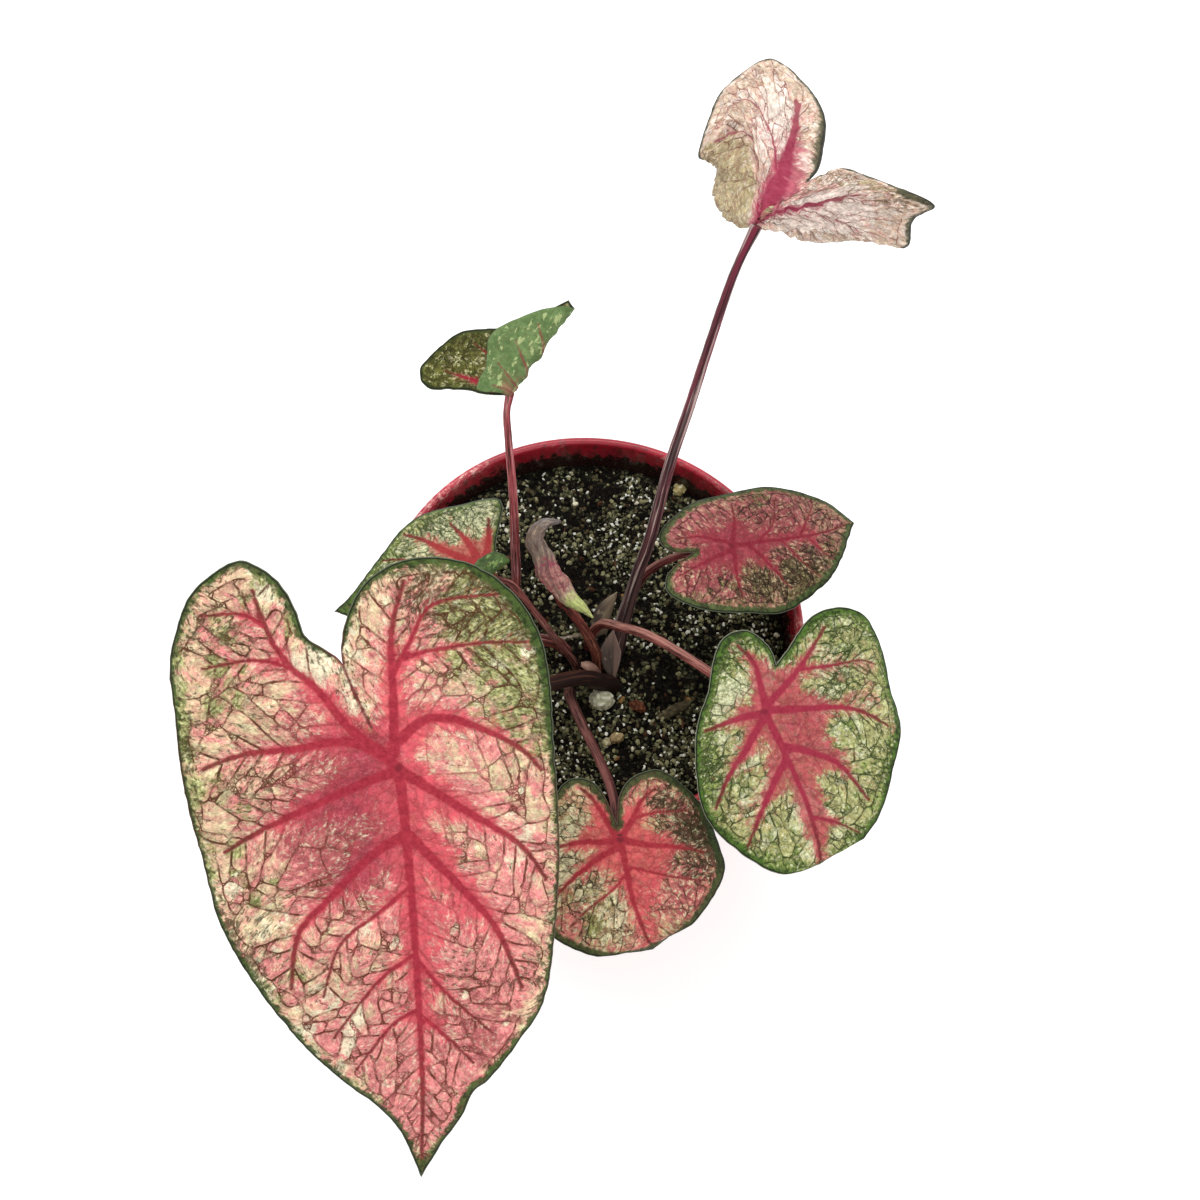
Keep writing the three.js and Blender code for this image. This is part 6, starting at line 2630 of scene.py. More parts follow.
@dataclass
class Peat:
    """The peat that fills the pot: a crumbled top with loose grains of several kinds."""

    edge: float = 101.5
    radius: float = 70.3
    foot_radius: float = 48.0
    foot: float = 4.3
    mound: float = 1.5
    mound_centre: Span = (3, -10)
    mound_radius: float = 30
    lump: float = 0.9
    step: float = 0.95
    swells: tuple[Place, Place] = ((0.31, 1.3, 0.17), (0.27, 0.9, 0.23))
    hollows: tuple[Place, Span] = ((0.83, 0.41, 2.0), (0.71, 0.37))
    hollow_share: float = 0.6
    octaves: int = 5
    crumb_scale: float = 0.28
    crumb_level: float = 3.1
    calm_rim: float = 3.0
    around: tuple[int, int, int] = (96, 240, 400)
    under_rim: Span = (-1.2, -6.0)
    foot_edge: tuple[Span, ...] = ((0.4, 1.5), (-1.0, 0.0))
    finer_from: Span = (0.3, 0.7)
    finish: PeatFinish = PeatFinish()

    def height(self, flat: Array) -> Array:
        """The height of the surface at flat places, crumbs and hollows included.

        Args:
            flat: Flat points, one a row.

        Returns:
            One height for each point.
        """
        x, y = flat.T
        cx, cy = self.mound_centre
        swell = self.mound * np.exp(-(((x - cx) ** 2 + (y - cy) ** 2) / self.mound_radius**2))
        (a, b, c), (d, e, f) = self.swells
        waves = np.sin(a * x + b * np.sin(c * y)) * np.cos(d * y + e * np.sin(f * x))
        (a, b, c), (d, e) = self.hollows
        waves += self.hollow_share * np.sin(a * x + b * y + c) * np.sin(d * y - e * x)
        spots = np.column_stack([flat * self.crumb_scale, np.full(len(flat), self.crumb_level)])
        crumbs = np.array([noise.fractal(Vector(s), ROUGHNESS, LACUNARITY, self.octaves) for s in spots])
        fade = np.clip((self.radius - np.hypot(x, y)) / self.calm_rim, 0, 1)
        return self.edge + swell + (self.lump * waves + crumbs) * fade

    def build(self) -> bpy.types.Object:
        """Build and dress the peat.

        Returns:
            The peat's object.
        """
        rings = round(self.radius / self.step)
        flats, starts = [np.zeros((1, 2))], [0]
        for j in range(1, rings + 1):
            r = self.radius * j / rings
            band = sum(j > rings * start for start in self.finer_from)
            turn = np.linspace(0, TAU, self.around[band], endpoint=False)
            starts.append(sum(map(len, flats)))
            flats.append(np.column_stack([r * np.cos(turn), r * np.sin(turn)]))
        flat = np.vstack(flats)
        made = delaunay_2d_cdt([Vector(p) for p in flat], [], [], 0, TINY)
        points = np.array([(p.x, p.y) for p in made[0]])
        top = [face if self.upward(points, face) else face[::-1] for face in made[2]]
        places = np.column_stack([points, self.height(points)])
        order = np.argsort(np.arctan2(points[:, 1], points[:, 0]))
        rim = [k for k in order if np.hypot(*points[k]) > self.radius - SAME_PLACE]
        bearing = np.arctan2(points[rim, 1], points[rim, 0])
        below = [(self.radius + self.under_rim[0], self.edge + self.under_rim[1])]
        below += [(self.foot_radius + r, self.foot + z) for r, z in self.foot_edge]
        ways = np.cos(bearing), np.sin(bearing)
        lower = [np.column_stack([r * ways[0], r * ways[1], np.full(len(rim), z)]) for r, z in below]
        n, m = len(places), len(rim)
        faces = [tuple(f) for f in top]
        for i in range(m):
            j = (i + 1) % m
            faces.append((rim[i], n + i, n + j, rim[j]))
            faces += [
                (n + k * m + i, n + (k + 1) * m + i, n + (k + 1) * m + j, n + k * m + j) for k in range(2)
            ]
            faces.append((n + 3 * m, n + 2 * m + j, n + 2 * m + i))
        everything = np.vstack([places, *lower, [(0, 0, self.foot)]])
        piece = new_mesh("peat", everything, faces, smooth=False)
        piece.data.materials.append(self.finish.build())
        straighten(piece)
        return finish_piece(piece, "soil", "soil")

    @staticmethod
    def upward(points: Array, face: Sequence[int]) -> bool:
        """Whether a flat triangle runs anticlockwise."""
        a, b, c = points[list(face)[:3]]
        return (b[0] - a[0]) * (c[1] - a[1]) > (b[1] - a[1]) * (c[0] - a[0])


CROWN = (0.007, -0.014, 0.103)
# The ring round the crown inside which patchy grains are left out, so the peat there shows dark as painted
# shade.
CROWN_SHADE_RING = (0.007, 0.018)
PATCH_SHIFT = (0.4, 0.1, 0.0)
PATCH_NOISE = (62.0, 4.0, 0.65)
PATCH_SPAN = (0.42, 0.58)
LUMP_NOISE = (900.0, 2.0)
ANY_TURN = (TAU, TAU, TAU)
TURN_SEED = 3


def scatter_tree() -> Inputs:
    """The tree that strews uneven grains over a surface.

    Returns:
        The tree and its inputs.
    """
    kit = Inputs("strewn grains")
    kinds = {"Density": "Float", "Seed": "Int", "Smallest": "Float", "Largest": "Float", "Shape": "Vector"}
    kinds |= {"Facets": "Int", "Lumps": "Float", "Patches": "Float", "Sink": "Float", "Finish": "Material"}
    for name, kind in kinds.items():
        kit.ask(name, kind)
    board, source = kit.board, kit.source()
    ask = source.outputs
    spot = board.add("GeometryNodeInputPosition").outputs[0]
    thick = board.smooth(board.noise(board.vector("ADD", spot, PATCH_SHIFT), *PATCH_NOISE), *PATCH_SPAN)
    dense = board.times(ask["Density"], board.minus(1.0, board.times(thick, ask["Patches"])))
    crown = board.add(
        "ShaderNodeVectorMath", {0: board.vector("SUBTRACT", spot, CROWN)}, operation="LENGTH"
    )
    # Painted shade: the patchy pale grains thin out towards the crown, leaving the peat dark there.
    bare = board.smooth(crown.outputs["Value"], *CROWN_SHADE_RING)
    dense = board.times(dense, board.plus(bare, board.minus(1.0, ask["Patches"]), clamp=True))
    spread = board.add(
        "GeometryNodeDistributePointsOnFaces",
        {"Mesh": ask["Geometry"], "Density": dense, "Seed": ask["Seed"]}
    )
    sunk = board.scaled(spread.outputs["Normal"], board.times(ask["Sink"], -1.0))
    points = board.add(
        "GeometryNodeSetPosition", {"Geometry": spread.outputs["Points"], "Offset": sunk}
    ).outputs[0]
    grain = board.add(
        "GeometryNodeMeshIcoSphere", {"Radius": 1.0, "Subdivisions": ask["Facets"]}
    ).outputs["Mesh"]
    turns = {"Min": (0, 0, 0), "Max": ANY_TURN, "Seed": TURN_SEED}
    turn = board.add("FunctionNodeRandomValue", turns, data_type="FLOAT_VECTOR").outputs["Value"]
    size = board.add("FunctionNodeRandomValue", data_type="FLOAT")
    for socket in size.inputs:
        if socket.name in ("Min", "Max") and socket.type == "VALUE":
            board.feed(socket, ask["Smallest" if socket.name == "Min" else "Largest"])
    size_value = next(o for o in size.outputs if o.type == "VALUE" and o.enabled)
    scale = board.scaled(ask["Shape"], size_value)
    grains = board.add(
        "GeometryNodeInstanceOnPoints",
        {"Points": points, "Instance": grain, "Rotation": turn, "Scale": scale}
    ).outputs[0]
    tint = board.add("FunctionNodeRandomValue", data_type="FLOAT")
    tint_value = next(o for o in tint.outputs if o.type == "VALUE" and o.enabled)
    stored = {"Geometry": grains, "Name": "tint", "Value": tint_value}
    grains = board.add(
        "GeometryNodeStoreNamedAttribute", stored, data_type="FLOAT", domain="INSTANCE"
    ).outputs[0]
    real = board.add("GeometryNodeRealizeInstances", {0: grains}).outputs[0]
    rough = board.vector("SUBTRACT", board.noise(spot, *LUMP_NOISE, key="Color"), (0.5, 0.5, 0.5))
    lumped = board.add(
        "GeometryNodeSetPosition", {"Geometry": real, "Offset": board.scaled(rough, ask["Lumps"])}
    ).outputs[0]
    kit.close(lumped, ask["Finish"])
    return kit


@dataclass
class Grains:
    """Loose grains of one kind, strewn over the peat."""

    name: str
    finish: GrainFinish
    density: float
    smallest: float
    largest: float
    shape: Place = (1.0, 0.85, 0.7)
    facets: int = 1
    lumps: float = 0.5
    patches: float = 0.0
    sink: float = 0.0
    seed: int = 1
    margin: float = 68.5
    around: int = 72
    rings: int = 30

    def build(self, tree: Inputs, peat: Peat) -> bpy.types.Object:
        """Strew the grains.

        Args:
            tree: The scatter tree.
            peat: The peat that they lie on.

        Returns:
            The grains' object.
        """
        n = self.around
        turn = np.linspace(0, TAU, n, endpoint=False)
        radii = np.linspace(0, self.margin, self.rings)[1:]
        flat = np.vstack(
            [[(0, 0)], *[np.column_stack([r * np.cos(turn), r * np.sin(turn)]) for r in radii]]
        )
        places = np.column_stack([flat, peat.height(flat)])
        faces = [(0, 1 + i, 1 + (i + 1) % n) for i in range(n)] + ring_faces(len(radii), n, 1)
        piece = new_mesh(self.name, places, faces)
        straighten_up(piece)
        values = {
            "Density": self.density, "Seed": self.seed, "Smallest": self.smallest * MM,
            "Largest": self.largest * MM, "Shape": self.shape, "Facets": self.facets,
            "Lumps": self.lumps * MM, "Patches": self.patches, "Sink": self.sink * MM,
            "Finish": self.finish.build(),
        }
        tree.run(piece, values)
        return finish_piece(piece, "soil")


@dataclass
class Chunk:
    """One larger lump on the peat: its place, its three half sizes and its bearing."""

    name: str
    at: Span
    size: Place
    bearing: float
    finish: GrainFinish
    rough: float
    facets: int = 4
    depth: float = 0.3
    lump_scale: float = 0.8
    standing: float = 0.35
    tint_gain: float = 0.9

    def build(self, peat: Peat) -> bpy.types.Object:
        """Build and dress the lump.

        Args:
            peat: The peat that it lies on.

        Returns:
            The lump's object.
        """
        work = bmesh.new()
        bmesh.ops.create_icosphere(work, subdivisions=self.facets, radius=1.0)
        ball = np.array([vertex.co for vertex in work.verts])
        faces = [[vertex.index for vertex in face.verts] for face in work.faces]
        work.free()
        size = np.array(self.size)
        spots = ball * size * self.lump_scale + self.at[0]
        lumps = np.array([noise.fractal(Vector(spot), ROUGHNESS, LACUNARITY, 4) for spot in spots])
        places = ball * size * (1 + self.rough * self.depth * lumps)[:, None]
        c, s = math.cos(math.radians(self.bearing)), math.sin(math.radians(self.bearing))
        flat = places[:, :2] @ np.array([[c, s], [-s, c]]) + self.at
        height = peat.height(np.array([self.at]))[0] + size[2] * self.standing
        piece = new_mesh(self.name, np.column_stack([flat, places[:, 2] + height]), faces)
        piece.data.materials.append(self.finish.build())
        mark(piece, "tint", np.clip(0.5 + self.tint_gain * lumps, 0, 1))
        return finish_piece(piece, "soil")


def straighten_up(piece: bpy.types.Object) -> None:
    """Turn the faces of an open, level piece upwards.

    Args:
        piece: The piece.
    """
    for polygon in piece.data.polygons:
        if polygon.normal.z < 0:
            polygon.flip()


# ---------------------------------------------------------------- studio


@dataclass
class Studio:
    """The pale floor, the soft light and the camera."""

    look: Place = (1.2, 7.0, 115.0)
    distance: float = 454.0
    elevation: float = 63.9
    roll: float = 10.0
    angle: float = 50.0
    floor_size: float = 4000.0
    world: float = 0.8
    key: float = 8.6
    key_place: Place = (-350, 420, 1250)
    key_size: float = 700
    fill_place: Place = (700, -500, 900)
    fill_size: float = 900
    fill_share: float = 0.35
    clip: Span = (0.01, 20)

    def build(self) -> None:
        """Build the stage, the lights and the camera."""
        half = self.floor_size / 2
        corners = [(-half, -half, 0), (half, -half, 0), (half, half, 0), (-half, half, 0)]
        floor = new_mesh("floor", np.array(corners), [(0, 1, 2, 3)])
        floor.data.materials.append(StudioFinish().build())
        world = bpy.data.worlds.new("studio")
        bpy.context.scene.world = world
        world.use_nodes = True
        backdrop = world.node_tree.nodes["Background"]
        backdrop.inputs["Color"].default_value = (1, 1, 1, 1)
        backdrop.inputs["Strength"].default_value = self.world
        self.lamp("key", self.key_place, self.key_size, self.key)
        self.lamp("fill", self.fill_place, self.fill_size, self.key * self.fill_share)
        bpy.context.scene.view_settings.view_transform = "Standard"
        self.camera()

    def lamp(self, name: str, place: Place, size: float, power: float) -> None:
        """Hang a square soft lamp that faces the plant.

        Args:
            name: The lamp's name.
            place: Where it hangs.
            size: The length of its sides.
            power: Its power in watts.
        """
        light = bpy.data.lights.new(name, "AREA")
        light.size, light.energy = size * MM, power
        lamp = bpy.data.objects.new(name, light)
        lamp.location = Vector(place) * MM
        lamp.rotation_euler = (Vector(self.look) * MM - lamp.location).to_track_quat("-Z", "Y").to_euler()
        bpy.context.scene.collection.objects.link(lamp)

    def camera(self) -> None:
        """Set the camera over the front of the pot."""
        rise, roll = math.radians(self.elevation), math.radians(self.roll)
        back = Vector((0, -math.cos(rise), math.sin(rise)))
        right, up = Vector((1, 0, 0)), Vector((0, math.sin(rise), math.cos(rise)))
        across = right * math.cos(roll) + up * math.sin(roll)
        upright = up * math.cos(roll) - right * math.sin(roll)
        lens = bpy.data.cameras.new("camera")
        lens.sensor_fit, lens.angle = "HORIZONTAL", math.radians(self.angle)
        lens.clip_start, lens.clip_end = self.clip
        camera = bpy.data.objects.new("camera", lens)
        turn = Matrix((across, upright, back)).transposed().to_4x4()
        camera.matrix_world = Matrix.Translation((Vector(self.look) + back * self.distance) * MM) @ turn
        bpy.context.scene.collection.objects.link(camera)
        bpy.context.scene.camera = camera


# ---------------------------------------------------------------- the plant


def patches(**groups: Sequence[tuple[float, float, float, float]]) -> tuple[Patch, ...]:
    """Patches in groups that are named for their tints: place on the leaf, radius and strength of each."""
    return tuple(Patch(Tint[name.upper()], *spot) for name, spots in groups.items() for spot in spots)


def large_leaf() -> tuple[Blade, Stalk]:
    """The large pink leaf that hangs in front of the pot.

    Returns:
        The blade and its stalk.
    """
    sheet = RelaxedSheet((-43, -92, 198), -80, 34, -4, 123, 55, 11, 7, 3, (1.6, 7, 0.6))
    blade = Blade(
        "leaf_large", "blade_large", "blade_pink", sheet,
        left=[
            (-7, 11), (-10.95, 19), (-14.75, 28), (-20, 32), (-24, 35), (-26, 41), (-30, 48), (-36, 52.5),
            (-41, 53.5), (-47, 50), (-53, 44), (-57, 34), (-59, 24), (-57.5, 12), (-56, 0), (-54, -13),
            (-51, -27), (-47, -43), (-38, -60), (-26, -78), (-14, -91), (-5, -99), (1.5, -108), (7, -123)
        ],
        right=[
            (-7, 11), (-10.75, 19.1), (-14.35, 28.3), (-14, 37), (-10, 47), (-3, 53), (6, 55.5), (16, 54.5),
            (25, 50), (32, 43), (37, 34), (39.5, 23), (41, 8), (42.5, -11), (43.5, -29), (43, -50),
            (40.5, -69), (34, -80), (26, -91), (21, -95.5), (18, -103), (12.5, -112), (7, -123)
        ],
        mains=(
            [(0, 0), (2, -17), (5, -54), (7, -91), (7, -119)],
            [(-2, 3), (-12, 10), (-21, 21), (-28, 27), (-33, 35), (-37, 46)],
            [(-2, 2), (-13, 7), (-26, 5), (-40, 3), (-50, -1)],
            [(-1, -1), (-11, -5), (-33, -16), (-45, -24)],
            [(2, -18), (-7, -24), (-17, -35), (-26, -46), (-28, -62)],
            [(-1, 4), (-1.5, 20), (-2, 36), (1, 49)], [(1, 8), (7, 13), (17, 12), (31, 5), (38, -2)],
            [(1, -1), (16, -11), (32, -22), (40, -33)], [(2.5, -18), (18, -35), (27, -47), (34, -64)],
        ),
        branches=(
            [(-28, 26.5), (-37, 28), (-50, 25)], [(-34, 37), (-40, 40), (-50, 39)],
            [(3, -33), (-5, -40), (-15, -49), (-19.5, -64)], [(5, -52), (-5, -60), (-17, -77)],
            [(6, -69), (-1, -73), (-11, -87)], [(-1, 26), (3, 34), (9, 43.5), (28, 46)],
            [(0, 28.5), (7, 31), (21, 33), (33, 33)], [(6, -55), (14, -65), (26, -77)],
            [(8, -72), (14, -78), (21, -86)],
        ),
        finish=BladeFinish(
            "large leaf", pink=tone(240, 144, 143), salmon=tone(238, 180, 156), cream=tone(238, 224, 176),
            pale=tone(250, 244, 208), leafy=tone(196, 200, 136), glow=tone(216, 80, 94),
            vein=tone(158, 40, 56), margin=tone(70, 92, 40), dark_margin=tone(36, 50, 20), margin_width=1.5,
            margin_wander=1.2, side_vein=tone(84, 50, 30), lightness=0.95, calm_reach=34.0,
            net_strength=0.32, net_size=2.4, fringe=0.34, speckle=0.5, patch=7.0
        ),
        underside=UndersideFinish(
            "large leaf underside", base=tone(140, 132, 104), blush=tone(190, 116, 116)
        ),
        patches=patches(
            heat=(
                (6, -8, 8, 0.4), (8, -24, 8, 0.4), (10, -40, 9, 0.42), (9, -54, 8, 0.32), (9, -70, 6, 0.24),
                (8, -86, 5, 0.14), (22, -42, 7, 0.18), (2, 10, 6, 0.32), (-8, 2, 8, 0.4),
                (-10, -10, 10, 0.4), (-4, -30, 7, 0.24), (-20, 14, 6, 0.24), (-24, -14, 9, 0.2),
                (-2, 24, 6, 0.24),
            ),
            rose=(
                (-16, -14, 15, 0.55), (-14, -28, 12, 0.4), (-8, 4, 9, 0.45), (22, -70, 14, 0.25),
                (24, -82, 10, 0.25), (-6, -100, 14, 0.2), (-26, 10, 9, 0.3),
            ),
            blush=(
                (12, -50, 16, 0.28), (12, -88, 16, 0.32), (-8, -76, 12, 0.25), (30, -60, 10, 0.3),
                (5, -105, 14, 0.3), (-14, -22, 16, 0.3), (-20, 22, 10, 0.2), (34, -30, 14, 0.2),
            ),
            cream=(
                (26, 26, 9, 0.25), (12, 16, 8, 0.25), (-22, 28, 6, 0.4), (-13, 16, 5, 0.4),
                (-30, -42, 7, 0.12), (-18, -64, 6, 0.25), (-9, -70, 6, 0.25), (-34, -56, 10, 0.2),
                (-24, -74, 8, 0.2), (34, -20, 8, 0.2), (14, 2, 6, 0.2), (-34, 46, 4, 0.3),
                (-14, -84, 8, 0.2), (2, -48, 7, 0.2), (-10, 34, 8, 0.2), (-46, -34, 7, 0.2),
            ),
            green=(
                (24, 38, 14, 0.55), (28, 22, 12, 0.45), (34, 6, 9, 0.3), (-48, -4, 10, 0.35),
                (-34, -38, 8, 0.22), (-46, 28, 9, 0.35), (-28, -58, 10, 0.3), (-44, -24, 9, 0.3),
                (-52, 14, 9, 0.3), (18, 44, 9, 0.4), (-38, 42, 9, 0.3), (-40, 14, 8, 0.2),
                (-6, -88, 9, 0.2),
            ),
            dark=(
                (24, 48, 9, 0.35), (34, 34, 8, 0.3), (-38, -6, 9, 0.25), (-50, 10, 9, 0.15),
                (20, 32, 9, 0.2), (-38, 16, 9, 0.12), (8, 40, 8, 0.25), (34, 14, 9, 0.2),
                (-34, -36, 9, 0.12), (-26, -60, 9, 0.12), (14, -60, 9, 0.2), (-46, 36, 9, 0.25),
                (-42, -50, 10, 0.25), (6, 48, 8, 0.35), (-4, -56, 8, 0.15), (16, -26, 7, 0.15),
                (36, -60, 8, 0.2),
            ),
            border=(
                (32, 44, 14, 0.9), (38, 24, 12, 0.7), (10, 55, 12, 0.3), (-13, 26, 8, -1.0),
                (-9, 14, 7, -1.0), (-54, -10, 30, -0.35), (42, -30, 26, -0.4), (22, -96, 12, 0.9),
                (-30, 50, 10, 0.3),
            ),
        ), lean=(0.42, 0.18, 0.13, 0.12), rosy=0.24, vein_width=(1.55, 0.6), branch_width=(0.75, 0.42),
        quilt=0.9, closed=19.0,
        rounds=(
            Sprouting(5.6, 50, 0.06, (0.36, 0.24), lean=0.02),
            Sprouting(10.0, 62, 0.16, (0.22, 0.15), keep=0.45),
            Sprouting(6.0, 60, 0.3, (0.16, 0.1), keep=0.2, length=2)
        ), valley=0.2,
    )
    path = [(9, -19, 103), (-1, -24, 116), (-10, -32, 126), (-24, -49, 146), (-35, -70, 172)]
    finish = StalkFinish(
        "large stalk", low=tone(32, 19, 15), high=tone(64, 30, 26), pale=tone(110, 68, 54), pale_share=0.4
    )
    return blade, Stalk("stalk_large", "stem_large", path, (2.7, 1.9), finish, sheet)


def right_leaf() -> tuple[Blade, Stalk]:
    """The rose leaf over the pot's right rim.

    Returns:
        The blade and its stalk.
    """
    sheet = RelaxedSheet((41, 17, 152), 34, 12, -4, 53, 25, 5, 3.5, 1.5, (0.8, 5, 1.4))
    blade = Blade(
        "leaf_right", "blade_right", "blade_pink", sheet,
        left=[
            (1.5, 14), (-0.5, 21.5), (-3.5, 27), (-8, 30), (-12, 28.5), (-17, 22.5), (-21.5, 14), (-25, 3),
            (-26.5, -7), (-25, -17), (-21, -28.5), (-14, -39), (-7, -47), (-1.5, -53.5)
        ],
        right=[
            (1.5, 14), (3.5, 20.5), (8, 23), (13, 20.5), (18, 11.5), (21.5, 1), (22, -10), (21.3, -20),
            (20, -28.5), (15.5, -38.5), (9, -47.5), (4, -50.5), (-1.5, -53.5)
        ],
        mains=(
            [(0, 0), (-1, -8.5), (-3, -26), (-3, -39), (-1.5, -50)], [(2, 1), (7, 9), (8.5, 17)],
            [(-1.5, 2), (-3, 13), (-5, 23)], [(-1.5, 0), (-11, 4), (-19, 6)],
            [(2, -1.5), (8, -6), (16, -10)], [(-2, -6.5), (-9, -9), (-20, -13)],
        ),
        branches=(
            [(-3.5, -19.5), (-12, -22), (-19, -26)], [(-4, -30), (-11, -33), (-15, -36)],
            [(0, -12), (4.5, -20), (14, -27)], [(-2, -28), (3, -34), (9, -41)],
        ),
        finish=BladeFinish(
            "right leaf", pink=tone(206, 122, 124), salmon=tone(198, 140, 120), cream=tone(196, 170, 132),
            leafy=tone(158, 148, 98), green=tone(96, 96, 56), dark=tone(44, 38, 22),
            stipple=tone(100, 64, 50), glow=tone(196, 76, 88), vein=tone(140, 36, 54),
            side_vein=tone(40, 26, 18), patch=4.2, pale=tone(238, 210, 170), margin_width=2.2,
            margin_wander=1.1, lightness=0.76, calm_reach=15.0, net_strength=0.75, net_size=2.1,
            margin=tone(84, 104, 58), dark_margin=tone(46, 60, 30)
        ), underside=UndersideFinish("right leaf underside"),
        patches=patches(
            heat=(
                (0, 0, 6, 0.4), (0, -13, 5, 0.25), (-2, -28, 5, 0.15), (5, 8, 5, 0.2), (-4, 11, 6, 0.25),
                (-7, -6, 5, 0.1), (-3, -40, 5, 0.09), (4, -6, 5, 0.15),
            ), rose=((0, -4, 16, 0.5), (6, -24, 10, 0.3), (-4, 16, 9, 0.5),),
            blush=((8, 8, 12, 0.45), (6, -20, 14, 0.3), (-6, 16, 10, 0.4), (-10, -34, 8, 0.2),),
            cream=(
                (-10, -22, 7, 0.15), (12, -26, 5, 0.2), (-18, -28, 6, 0.15), (-14, 4, 8, 0.1),
                (12, 12, 6, 0.1), (-13, -10, 8, 0.2), (-6, 20, 6, 0.2),
            ),
            green=(
                (-18, -4, 8, 0.4), (-20, -18, 8, 0.3), (-16, 12, 7, 0.3), (17, -20, 7, 0.25),
                (-12, 0, 7, 0.3), (16, 2, 6, 0.2), (-16, -22, 9, 0.4), (-12, -36, 8, 0.3),
            ),
            dark=(
                (-16, 2, 9, 0.3), (-15, -14, 10, 0.35), (-13, -30, 9, 0.3), (14, -14, 8, 0.2),
                (0, -40, 8, 0.2),
            ), border=((0, 20, 6, -0.5),),
        ), lean=(0.36, 0.16, 0.2, 0.12), rosy=0.35, vein_width=(1.0, 0.35), branch_width=(0.5, 0.25),
        fill=1.1, quilt=0.45,
        rounds=(
            Sprouting(3.8, 50, 0.08, (0.28, 0.2), lean=0.03),
            Sprouting(5.5, 62, 0.18, (0.2, 0.14), keep=0.5),
            Sprouting(4.0, 60, 0.3, (0.12, 0.08), keep=0.3, length=2)
        ), collector=3.2, seed=11,
    )
    path = [(10, 3, 103), (12, 11, 113), (15, 15.5, 123), (22, 16.5, 136), (32, 16.5, 146)]
    return blade, Stalk(
        "stalk_right", "stem_right", path, (1.8, 1.2),
        StalkFinish("right stalk", low=tone(70, 34, 32), high=tone(124, 54, 56)), sheet
    )


